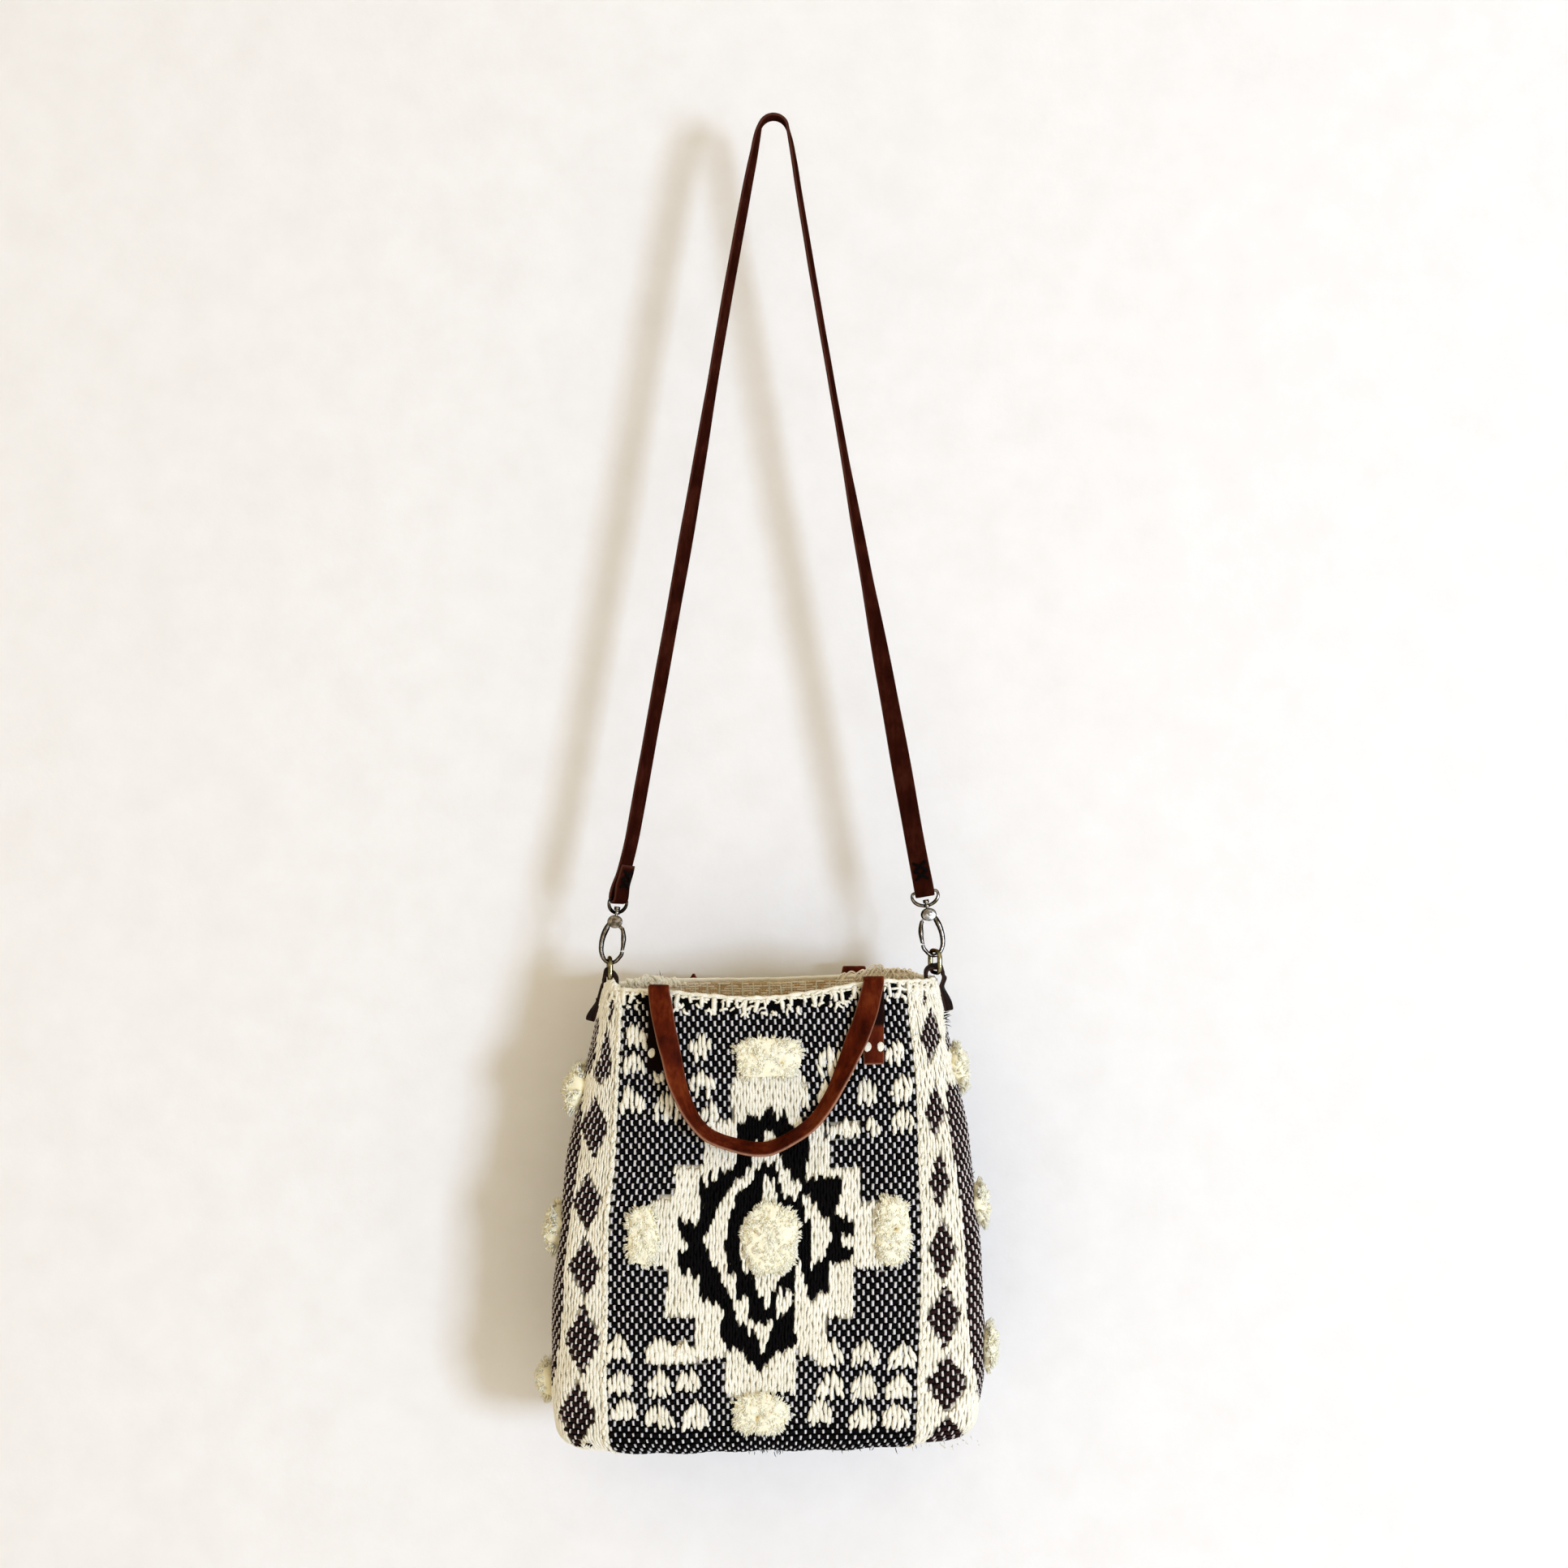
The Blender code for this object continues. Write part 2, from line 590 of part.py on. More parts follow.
def coil(name, frame, m):
    """The small spring that pushes the gate shut, in the head's slot beside the gate's eye."""
    points = []
    for k in range(19):
        a = 2 * math.pi * k / 6
        points.append(into(frame, m * 1.75 + 0.58 * math.cos(a), 0.58 * math.sin(a), -19.35 - 2.0 * k / 18))
    return tube(name, points, 0.15, "steel", sides=0)


def ring(name, x, top, turn):
    """An upright rounded oblong of round wire; the hook holds its top and the tab its bottom."""
    points = []
    for k in range(32):
        a = 2 * math.pi * k / 32
        y = RING_W / 2 * math.copysign(abs(math.cos(a)) ** (2 / 4.0), math.cos(a))
        z = RING_H / 2 * math.copysign(abs(math.sin(a)) ** (2 / 4.0), math.sin(a))
        points.append((x - y * math.sin(math.radians(turn)), y * math.cos(math.radians(turn)), top - RING_H / 2 + z))
    loop = np.array([*points, points[0]])
    run = np.concatenate([[0], np.cumsum(np.linalg.norm(np.diff(loop, axis=0), axis=1))])
    at = np.arange(24) * run[-1] / 24
    return tube(name, [[np.interp(s, run, loop[:, q]) for q in range(3)] for s in at], RING_WIRE / 2, "brass", cyclic=True)


# per side: inner and outer leg centrelines off the wall's outer face, outward positive
TAB_LEGS = {"left": (-7.3, 1.9), "right": (-5.8, 6.7)}
TAB_END = {"left": -664.0, "right": -657.0}


def tab(name, side, flip, bar_z):
    """A leather strip folded over the ring's bottom bar: one leg inside the mouth, one outside."""
    inner, outer = TAB_LEGS[side]
    angle = 0.0 if flip > 0 else math.pi

    def wall_x(z, y):
        level = z - SHEAR * (flip * 121.0)
        a, b, n = section(level)
        return middle_x(level) + flip * a * (1 - (abs(y) / b) ** n) ** (1 / n)

    base = bar_z - 1.4
    stations = []
    for k in range(5):  # inner leg, bottom to top
        z = base - 30.0 + 7.5 * k
        stations.append(("leg", inner, z, 0.0))
    for k in range(1, 10):  # the fold
        stations.append(("fold", math.pi * (1 - k / 10), None, 0.0))
    drop = base - TAB_END[side]
    for k in range(8):  # outer leg, top to its free end
        t = k / 7
        u = lerp(outer, 2.1, smooth(t * drop / 11.0))
        stations.append(("leg", u, base - drop * t, smooth((t - 0.45) / 0.55)))
    vertices, faces = [], []
    across_count = 3
    for kind, u, z, flare in stations:
        for j in range(across_count + 1):
            v = TAB_W * (j / across_count - 0.5)
            if kind == "fold":
                c, s = math.cos(u), math.sin(u)
                mid, half = (inner + outer) / 2, (outer - inner) / 2
                high = lerp(5.4, 12.0, smooth((v + TAB_W / 2) / TAB_W))
                off = mid + half * math.copysign(abs(c) ** (2 / 3.0), c)
                height = base + high * abs(s) ** (2 / 3.0)
                x = wall_x(base, 0.0) + flip * off
            else:
                height = z
                off = u + flare * (0.3 + 6.5 * (v / TAB_W + 0.5))
                x = wall_x(z, v if kind == "leg" and z < base - 1 else 0.0) + flip * off
            vertices.append(np.array((x, v, height)))
    row = across_count + 1
    for i in range(len(stations) - 1):
        for j in range(across_count):
            a = i * row + j
            faces.append((a, a + 1, a + row + 1, a + row))
    solidify(mesh_object(name, vertices, faces, "tab_leather"), TAB_T, 0.0)
    z = base - 13.0
    x = wall_x(z, 0.0) + flip * (2.1 + TAB_T / 2 + GAP + 0.75 + 0.2)
    tube(f"{side}_tab_stitch", [(x, -3.6, z), (x, -1.2, z), (x, 1.2, z), (x, 3.6, z)], 0.6, "lacing", sides=1)


CLASPS = (
    ("left", EYE_L, TILT_L, TWIST_L, HOOK_TURN_L, -1.0, RING_TURN_L),
    ("right", EYE_R, TILT_R, TWIST_R, HOOK_TURN_R, 1.0, RING_TURN_R),
)
for side, eye, tilt, twist, hook_turn, flip, ring_turn in CLASPS:
    swivel_eye(f"{side}_swivel_eye", clasp_frame(eye, tilt, twist))
    frame = clasp_frame(eye, tilt, hook_turn)
    hook(f"{side}_hook_body", frame, flip)
    gate(f"{side}_gate", frame, flip)
    cylinder(f"{side}_gate_pin", 0.92, 6.0, across(frame, flip * PIN[0], PIN[1]), "steel", segments=14)
    coil(f"{side}_gate_spring", frame, flip)
    bow = into(frame, 0, 0, BOW_Z)
    top = bow[2] + HOOK_WIRE / 2 + RING_WIRE / 2 + GAP + 0.35
    ring(f"{side}_ring", bow[0], top, ring_turn)
    tab(f"{side}_tab", side, flip, top - RING_H)


# ---- handles: (x, y, z) down one leg, round the bottom and up the other, as they hang ----
FRONT_RUN = (
    (-81.8, -46.8, -640.2),
    (-78.0, -51.5, -662.5),
    (-72.6, -56.0, -685.3),
    (-67.0, -59.0, -707.9),
    (-56.0, -61.0, -730.5),
    (-41.7, -62.0, -743.0),
    (-12.9, -62.5, -750.7),
    (4.3, -62.3, -747.6),
    (27.2, -61.4, -733.2),
    (41.6, -59.8, -713.5),
    (54.9, -56.2, -685.1),
    (66.2, -51.4, -656.8),
    (71.8, -46.8, -634.2),
)
FRONT_TOP = ((-81.8, -638.6), (71.8, -632.4))  # (x, z) of each fold
BACK_TOP = ((-66.0, -637.5), (61.0, -634.5))


def handle(name, front):
    run = np.array(FRONT_RUN)
    if not front:
        (x0, z0), (x1, z1) = FRONT_TOP
        (p0, q0), (p1, q1) = BACK_TOP
        t = (run[:, 0] - x0) / (x1 - x0)
        run = np.stack([p0 + t * (p1 - p0), -run[:, 1] * 0.9 + 6.4, run[:, 2] - (z0 + t * (z1 - z0)) + q0 + t * (q1 - q0)], axis=1)
    line = through(run, 34)
    widths = []
    total = len(line) - 1
    for i, p in enumerate(line):
        t = unit(line[min(i + 1, total)] - line[max(i - 1, 0)])
        side = unit(np.cross(t, (0.0, 1.0, 0.0)))
        back = unit(np.cross(side, t))
        if back[1] < 0:
            back = -back
        share = i / total
        turn = math.radians(64.0) * smooth(min(share, 1 - share) / 0.36)
        if not front:
            back = -back
        widths.append(side * math.cos(turn) + back * math.sin(turn))
    ribbon(name, line, widths, [HANDLE_W / 2] * len(line), HANDLE_T, "handle_leather")


def anchor(name, x, top, bottom, front):
    """The handle's sewn end: a flat leather strip on the panel's face from the fold down."""
    centres, widths = [], []
    for k in range(7):
        z = lerp(top, bottom, k / 6)
        level = z - SHEAR * x
        normal = outward(x, level, front)
        y = panel_y(x, level, front)
        centres.append(np.array((x, y, z)) + normal * (0.5 + ANCHOR_T / 2))
        slope = np.array((2.0, panel_y(x + 1, level, front) - panel_y(x - 1, level, front), 0.0))
        widths.append(unit(slope - normal * np.dot(slope, normal)))
    ribbon(name, centres, widths, [ANCHOR_W / 2] * 7, ANCHOR_T, "handle_leather", across=1)


def bulge(name, x, z, sizes, lift, front, material, sides=10, rows=6, side=0.0, y=0.0):
    """A flattened ball whose thin axis stands off the cloth; side is -1 or 1 on the end panels."""
    level = z - SHEAR * x
    if side:
        a, b, n = section(level)
        wall = middle_x(level) + side * a * (1 - (abs(y) / b) ** n) ** (1 / n)
        spot, normal = np.array((wall, y, level + SHEAR * wall)), np.array((side, 0.0, 0.0))
    else:
        spot, normal = np.array((x, panel_y(x, level, front), z)), outward(x, level, front)
    up = unit(np.array((0.0, 0.0, 1.0)) - normal * normal[2])
    wide = np.cross(up, normal)
    centre = spot + normal * lift
    matrix = Matrix((
        (wide[0] * sizes[0], up[0] * sizes[1], normal[0] * sizes[2], centre[0] * MM),
        (wide[1] * sizes[0], up[1] * sizes[1], normal[1] * sizes[2], centre[1] * MM),
        (wide[2] * sizes[0], up[2] * sizes[1], normal[2] * sizes[2], centre[2] * MM),
        (0, 0, 0, 1),
    ))
    mesh = bpy.data.meshes.new(name)
    work = bmesh.new()
    bmesh.ops.create_uvsphere(work, u_segments=sides, v_segments=rows, radius=MM)
    bmesh.ops.transform(work, matrix=matrix, verts=work.verts)
    bmesh.ops.recalc_face_normals(work, faces=work.faces)
    work.to_mesh(mesh)
    work.free()
    mesh.shade_smooth()
    return link(bpy.data.objects.new(name, mesh), material)


handle("front_handle", True)
handle("back_handle", False)
for face, front, tops in (("front", True, FRONT_TOP), ("back", False, BACK_TOP)):
    for which, (x, z) in zip(("left", "right"), tops):
        bottom = z - (59.0 if which == "left" else 60.5)
        anchor(f"{face}_{which}_anchor", x, z - 1.2, bottom, front)
        for end, shift_x in (("a", -4.6), ("b", 4.6)):
            bulge(f"{face}_{which}_stitch_{end}", x + shift_x, bottom + 12.5, (2.3, 5.2, 1.0), 0.5 + ANCHOR_T + GAP + 1.15, front, "cream_yarn", sides=8, rows=5)

# wool tufts: name, x, z, half width, half height
TUFTS = (
    ("top", -3.2, -685.9, 20.5, 12.5),
    ("left", -92.6, -814.5, 11.5, 19.0),
    ("middle", -1.4, -815.0, 20.0, 24.0),
    ("right", 85.7, -810.5, 11.5, 22.0),
    ("bottom", -8.9, -939.0, 20.5, 13.0),
)
for label, x, z, wide, tall in TUFTS:
    for face, front in (("front", True), ("back", False)):
        bulge(f"{face}_tuft_{label}", x if front else -5.0 - x, z if front else z - SHEAR * (2 * x + 5.0), (wide, tall, 2.7), 4.2 if wide < 15 else 3.6, front, "tuft_wool")
for k, (z_left, z_right) in enumerate(((-720.0, -704.0), (-818.0, -800.0), (-929.0, -905.0))):
    bulge(f"left_tuft_{k + 1}", -150.0, z_left, (10.0, 11.0, 2.4), 3.3, True, "tuft_wool", side=-1.0, y=0.0)
    bulge(f"right_tuft_{k + 1}", 150.0, z_right, (10.0, 11.0, 2.4), 3.3, True, "tuft_wool", side=1.0, y=0.0)
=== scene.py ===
"""Looks of the hand-woven tote bag: woven yarns, wool tufts, leather, metal, camera and light.

Metres, +Z up, +X right as the front is faced, the front faces -Y. Sizes below are in millimetres
until a mesh is made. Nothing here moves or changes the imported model.
"""

import json
import math

import bmesh
import bpy
import numpy as np
from mathutils import Matrix, Vector

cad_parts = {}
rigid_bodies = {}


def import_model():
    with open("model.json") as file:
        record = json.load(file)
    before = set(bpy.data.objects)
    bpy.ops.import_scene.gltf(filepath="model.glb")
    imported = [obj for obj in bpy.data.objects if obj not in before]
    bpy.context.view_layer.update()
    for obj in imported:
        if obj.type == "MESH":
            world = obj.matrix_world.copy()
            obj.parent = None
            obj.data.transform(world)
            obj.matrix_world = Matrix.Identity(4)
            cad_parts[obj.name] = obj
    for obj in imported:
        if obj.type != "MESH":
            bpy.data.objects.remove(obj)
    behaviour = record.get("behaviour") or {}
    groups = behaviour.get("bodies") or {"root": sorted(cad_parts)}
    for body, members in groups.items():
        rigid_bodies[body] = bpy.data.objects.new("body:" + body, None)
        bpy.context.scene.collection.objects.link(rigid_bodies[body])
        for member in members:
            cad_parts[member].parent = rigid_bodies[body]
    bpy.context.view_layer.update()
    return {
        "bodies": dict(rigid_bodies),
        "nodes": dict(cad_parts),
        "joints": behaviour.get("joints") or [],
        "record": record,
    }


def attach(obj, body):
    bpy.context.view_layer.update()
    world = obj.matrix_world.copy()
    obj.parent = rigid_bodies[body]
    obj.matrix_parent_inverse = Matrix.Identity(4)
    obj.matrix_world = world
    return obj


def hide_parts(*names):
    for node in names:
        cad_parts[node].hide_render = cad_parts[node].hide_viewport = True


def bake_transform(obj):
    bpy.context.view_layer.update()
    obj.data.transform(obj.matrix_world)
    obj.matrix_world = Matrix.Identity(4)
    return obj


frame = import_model()
RNG = np.random.default_rng(418)
MM = 0.001

# ---------------------------------------------------------------- shared shape
SHEAR = 0.0249
RIM_Z, FLOOR_Z = -639.8, -970.0
CORNER_R = 16.0
TOP_LEVEL, LAST_LEVEL = -636.0, -954.0
PROFILE = (
    (-636.0, 120.8, 46.0, 2.6),
    (-662.0, 127.0, 47.4, 2.65),
    (-692.0, 133.6, 49.0, 2.75),
    (-722.0, 139.6, 50.6, 2.85),
    (-752.0, 145.3, 52.2, 2.95),
    (-782.0, 149.6, 53.8, 3.05),
    (-812.0, 152.5, 55.2, 3.15),
    (-842.0, 154.9, 56.4, 3.25),
    (-872.0, 156.9, 57.2, 3.35),
    (-902.0, 157.9, 57.6, 3.45),
    (-932.0, 157.0, 57.3, 3.5),
    (-954.0, 153.8, 56.0, 3.55),
)
HEIGHTS = np.array([row[0] for row in PROFILE])[::-1]
COLUMNS = [np.array([row[k] for row in PROFILE])[::-1] for k in (1, 2, 3)]


def section(level):
    return [np.interp(level, HEIGHTS, column) for column in COLUMNS]


def middle_x(level):
    return -2.5 - 2.0 * (RIM_Z - level) / (RIM_Z - FLOOR_Z)


def rim_level(x, front):
    dip = np.where(front, 7.0 * np.exp(-(((x + 12.0) / 52.0) ** 2)), 2.0 * np.exp(-((x / 60.0) ** 2)))
    lift = np.where(front, 2.6 * np.exp(-(((x - 76.0) / 26.0) ** 2)), 0.0)
    return RIM_Z - dip + lift


def panel_y(x, level, front=True):
    a, b, n = section(level)
    share = min(1.0, abs((x - middle_x(level)) / a))
    return (-1 if front else 1) * b * (1 - share**n) ** (1 / n)


def unit(v):
    v = np.asarray(v, float)
    return v / np.linalg.norm(v)


def lerp(a, b, t):
    return a + (b - a) * t


def smooth(t):
    t = min(1.0, max(0.0, t))
    return t * t * (3.0 - 2.0 * t)


def outward(x, level, front=True):
    e = 1.0
    fx = np.array((2 * e, panel_y(x + e, level, front) - panel_y(x - e, level, front), 2 * e * SHEAR))
    fz = np.array((0.0, panel_y(x, level + e, front) - panel_y(x, level - e, front), 2 * e))
    n = unit(np.cross(fx, fz))
    return n if (n[1] < 0) == front else -n


def through(points, count):
    """A smooth curve through the points, read at count places evenly along it."""
    p = np.asarray(points, float)
    ends = np.vstack([2 * p[0] - p[1], p, 2 * p[-1] - p[-2]])
    fine = []
    for i in range(len(p) - 1):
        a, b, c, d = ends[i : i + 4]
        for t in np.linspace(0, 1, 24, endpoint=False):
            fine.append(0.5 * (2 * b + (c - a) * t + (2 * a - 5 * b + 4 * c - d) * t * t + (3 * b - a - 3 * c + d) * t**3))
    fine.append(p[-1])
    return even(np.array(fine), count)


def even(line, count):
    run = np.concatenate([[0], np.cumsum(np.linalg.norm(np.diff(line, axis=0), axis=1))])
    at = np.linspace(0, run[-1], count)
    return np.stack([np.interp(at, run, line[:, k]) for k in range(line.shape[1])], axis=1)


# ---------------------------------------------------------------- picture plane
def to_plane(p):
    """Where a point (mm) of the bag falls on the front view's 1932 x 1932 plane. The back reads as the front does."""
    f = 0.6 * (1500.0 - np.abs(p[..., 1])) / 1500.0
    return 966.0 + (p[..., 0] - 7.8) / f, 966.0 - (p[..., 2] + 492.0) / f


LINE_Y = [1190, 1225, 1250, 1300, 1350, 1400, 1440, 1500, 1550, 1600, 1700, 1790]
LINE_L = [766, 767, 767, 764, 762, 760, 758, 751, 750, 749, 748, 751]
LINE_R = [1115, 1117, 1119, 1125, 1129, 1131, 1132, 1134, 1134, 1134, 1130, 1128]

# ---------------------------------------------------------------- the woven surface as a table
K_FRONT, K_SIDE = 68, 40
K_ALL = 2 * (K_FRONT + K_SIDE)
PER = 4  # table samples per warp column
WALL = TOP_LEVEL - LAST_LEVEL
M_END = WALL + CORNER_R * math.pi / 2
M_STEP = 1.5
M_ROWS = np.arange(0.0, M_END + M_STEP, M_STEP)
M_ROWS[-1] = M_END


def build_table():
    level = np.where(M_ROWS <= WALL, TOP_LEVEL - M_ROWS, LAST_LEVEL)
    turn = np.clip((M_ROWS - WALL) / CORNER_R, 0, math.pi / 2)
    pull = CORNER_R * (1 - np.cos(turn))
    drop = CORNER_R * np.sin(turn)
    a, b, n = section(level)
    mx = middle_x(level)

    def edge(line, side):
        x = np.full(len(level), side * 115.0)
        for _ in range(8):
            share = np.clip(np.abs((x - mx) / a), 0, 0.999)
            y = -b * (1 - share**n) ** (1 / n)
            p = np.stack([x, y, level + SHEAR * x], axis=-1)
            _, py = to_plane(p)
            f = 0.6 * (1500.0 + y) / 1500.0
            x = 7.8 + (np.interp(py, LINE_Y, line) - 966.0) * f
        c = np.clip(np.abs((x - mx) / a), 0, 0.9999) ** (n / 2)
        return np.arccos(c)  # angle from the X axis

    left, right = edge(LINE_L, -1), edge(LINE_R, 1)
    t_fl, t_fr = math.pi + left, 2 * math.pi - right
    t_br, t_bl = 2 * math.pi + right, 3 * math.pi - left
    spans = ((t_fl, t_fr, K_FRONT), (t_fr, t_br, K_SIDE), (t_br, t_bl, K_FRONT), (t_bl, t_fl + 2 * math.pi, K_SIDE))
    table = np.zeros((len(M_ROWS), K_ALL * PER, 3))
    column = 0
    for start, end, count in spans:
        share = np.linspace(0, 1, 900)[None, :]
        t = start[:, None] + (end - start)[:, None] * share
        c, s = np.cos(t), np.sin(t)
        aa, bb, nn = (a - pull)[:, None], (b - pull)[:, None], n[:, None]
        x = mx[:, None] + np.sign(c) * np.abs(c) ** (2 / nn) * aa
        y = np.sign(s) * np.abs(s) ** (2 / nn) * bb
        run = np.concatenate([np.zeros((len(level), 1)), np.cumsum(np.hypot(np.diff(x), np.diff(y)), axis=1)], axis=1)
        want = np.arange(count * PER) / (count * PER)
        for r in range(len(level)):
            at = want * run[r, -1]
            px, py = np.interp(at, run[r], x[r]), np.interp(at, run[r], y[r])
            table[r, column : column + count * PER, 0] = px
            table[r, column : column + count * PER, 1] = py
            table[r, column : column + count * PER, 2] = level[r] - drop[r] + SHEAR * px
        column += count * PER
    return table


def table_normals(table):
    dk = np.roll(table, -1, axis=1) - np.roll(table, 1, axis=1)
    dm = np.gradient(table, axis=0)
    n = np.cross(dm, dk)
    n /= np.linalg.norm(n, axis=-1, keepdims=True) + 1e-12
    middle = table.mean(axis=1, keepdims=True)
    flip = np.sum((table - middle)[: len(table) // 2] * n[: len(table) // 2]) < 0
    return -n if flip else n


TABLE = build_table()
NORMAL = table_normals(TABLE)


def wobble():
    """Slow waves in the cloth, none near the mouth, where the leather is sewn."""
    k = np.arange(K_ALL * PER)[None, :] / (K_ALL * PER) * 2 * math.pi
    m = M_ROWS[:, None]
    w = 0.75 * np.sin(9 * k + m * 0.021 + 0.6) * np.sin(m * 0.034 + 1.1)
    w += 0.55 * np.sin(17 * k - m * 0.043 + 2.0) + 0.45 * np.sin(5 * k + m * 0.075)
    w += 0.30 * np.sin(31 * k + m * 0.09 + 4.0) * np.cos(m * 0.06)
    return w * np.clip((m - 62.0) / 60.0, 0, 1)


TABLE = TABLE + NORMAL * wobble()[..., None]
NORMAL = table_normals(TABLE)
PITCH_K = np.linalg.norm(np.roll(TABLE, -1, axis=1) - np.roll(TABLE, 1, axis=1), axis=-1) * PER / 2
PITCH_M = np.linalg.norm(np.gradient(TABLE, axis=0), axis=-1) / M_STEP


def read(grid, k, m):
    """Bilinear read of a table at warp column k and path m (mm down from the top level)."""
    kk = np.mod(np.asarray(k, float), K_ALL) * PER
    mm = np.clip(np.asarray(m, float) / M_STEP, 0, len(M_ROWS) - 1.001)
    k0, m0 = np.floor(kk).astype(int), np.floor(mm).astype(int)
    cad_, fm = kk - k0, mm - m0
    k1 = (k0 + 1) % (K_ALL * PER)
    k0 = k0 % (K_ALL * PER)
    if grid.ndim == 3:
        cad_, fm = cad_[..., None], fm[..., None]
    return (grid[m0, k0] * (1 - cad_) + grid[m0, k1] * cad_) * (1 - fm) + (grid[m0 + 1, k0] * (1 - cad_) + grid[m0 + 1, k1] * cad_) * fm


def on_bag(k, m, h=0.0):
    n = read(NORMAL, k, m)
    n = n / (np.linalg.norm(n, axis=-1, keepdims=True) + 1e-12)
    # above the table's first row the cloth carries straight on
    over = np.minimum(np.asarray(m, float), 0.0)
    p = read(TABLE, k, m) + n * np.asarray(h, float)[..., None]
    p = p + np.stack([np.zeros_like(over), np.zeros_like(over), -over], axis=-1) if np.any(over < 0) else p
    return p


def rim_m(k):
    """Path position of the cloth's top edge at column k."""
    p = read(TABLE, k, np.zeros_like(np.asarray(k, float)))
    return TOP_LEVEL - rim_level(p[..., 0], p[..., 1] < 0)


def column_at(x, z, front=True):
    """(k, m) of the place on the front or back face at x, z (mm)."""
    m = np.full(np.shape(x), 1.0) * (TOP_LEVEL - (np.asarray(z) - SHEAR * np.asarray(x)))
    ks = np.linspace(0, K_FRONT, 400) if front else np.linspace(K_FRONT + K_SIDE, 2 * K_FRONT + K_SIDE, 400)
    out = []
    for xi, mi in zip(np.atleast_1d(x), np.atleast_1d(m)):
        row = read(TABLE, ks, np.full(len(ks), mi))[:, 0]
        out.append(np.interp(xi, row, ks) if front else np.interp(-xi, -row, ks))
    return np.array(out), np.atleast_1d(m)


# ---------------------------------------------------------------- colour fields of the weave
CHECK, CREAM, BLACK = 0, 1, 2
FIELDS = []


def field(colour, *points):
    FIELDS.append((colour, np.array(points, float)))


def box_field(colour, x0, y0, x1, y1):
    field(colour, (x0, y0), (x1, y0), (x1, y1), (x0, y1))


# side bands: cream outside the two seam lines, with check lozenges and a check strip at each edge
def side_fields():
    left = [(x, y) for x, y in zip(LINE_L, LINE_Y)]
    right = [(x, y) for x, y in zip(LINE_R, LINE_Y)]
    field(CREAM, *left, (400, 1840), (400, 1180))
    field(CREAM, *right, (1500, 1840), (1500, 1180))
    # lozenges: centre x, y, half width left and right, half height
    for x, y, wl, wr, h in (
        (734, 1388, 18, 16, 38),
        (724, 1480, 17, 19, 37),
        (722, 1562, 22, 19, 39),
        (718, 1650, 21, 23, 44),
        (711, 1742, 22, 24, 43),
    ):
        field(CHECK, (x - wl, y), (x - wl * 0.45, y - h * 0.55), (x, y - h), (x + wr * 0.5, y - h * 0.5), (x + wr, y), (x + wr * 0.45, y + h * 0.55), (x - 1, y + h), (x - wl * 0.55, y + h * 0.5))
    field(CHECK, (749, 1264), (745, 1280), (741, 1290), (741, 1304), (736, 1314), (732, 1322), (734, 1329), (737, 1330), (739, 1338), (744, 1332), (750, 1327), (754, 1318), (753, 1300), (752, 1284), (751, 1272))
    field(CHECK, (752, 1212), (757, 1214), (763, 1220), (762, 1227), (757, 1227), (758, 1240), (755, 1256), (751, 1256), (752, 1240), (750, 1226))
    for x, y, wl, wr, h in (
        (1137, 1206, 4, 3, 10),
        (1138, 1224, 5, 3, 16),
        (1146, 1276, 13, 12, 36),
        (1152, 1369, 13, 12, 34),
        (1158, 1455, 14, 12, 38),
        (1161, 1541, 18, 18, 42),
        (1164, 1622, 23, 20, 40),
        (1168, 1704, 28, 24, 38),
        (1168, 1777, 30, 26, 34),
    ):
        field(CHECK, (x - wl, y), (x - wl * 0.45, y - h * 0.55), (x, y - h), (x + wr * 0.5, y - h * 0.5), (x + wr, y), (x + wr * 0.45, y + h * 0.55), (x - 1, y + h), (x - wl * 0.55, y + h * 0.5))
    # strips at the very edges
    field(CHECK, (600, 1254), (739, 1254), (741, 1262), (737, 1280), (735, 1300), (731, 1318), (722, 1325), (719, 1362), (716, 1385), (718, 1400), (715, 1420), (713, 1440), (709, 1460), (706, 1480), (703, 1510), (699, 1545), (697, 1570), (696, 1600), (692, 1640), (687, 1680), (683, 1705), (600, 1705))
    field(CHECK, (1400, 1240), (1164, 1240), (1164, 1290), (1166, 1335), (1166, 1355), (1168, 1380), (1172, 1410), (1177, 1440), (1181, 1470), (1186, 1510), (1187, 1550), (1189, 1590), (1193, 1650), (1200, 1690), (1204, 1725), (1400, 1725))
    field(CREAM, (1160, 1294), (1174, 1292), (1179, 1310), (1182, 1334), (1172, 1338), (1164, 1332))


side_fields()

# stepped cream cross on the panel
for bounds_px in (
    (904, 1322, 990, 1344),
    (900, 1336, 995, 1364),
    (903, 1360, 986, 1388),
    (872, 1380, 1016, 1406),
    (868, 1400, 1023, 1440),
    (831, 1437, 1061, 1482),
    (806, 1480, 1090, 1562),
    (823, 1560, 1052, 1592),
    (821, 1588, 1051, 1622),
    (857, 1618, 1018, 1664),
    (893, 1660, 981, 1716),
    (897, 1714, 930, 1722),
    (1020, 1384, 1060, 1399),
):
    box_field(CREAM, *bounds_px)
field(CREAM, (800, 1484), (812, 1476), (835, 1476), (835, 1500), (800, 1500))
field(CREAM, (1046, 1474), (1070, 1486), (1090, 1480), (1095, 1560), (1046, 1560))
field(CREAM, (795, 1664), (812, 1650), (822, 1658), (845, 1652), (860, 1664), (893, 1664), (893, 1672), (862, 1676), (800, 1680))
field(CREAM, (981, 1662), (1018, 1655), (1020, 1680), (1005, 1680), (1000, 1668), (985, 1672))

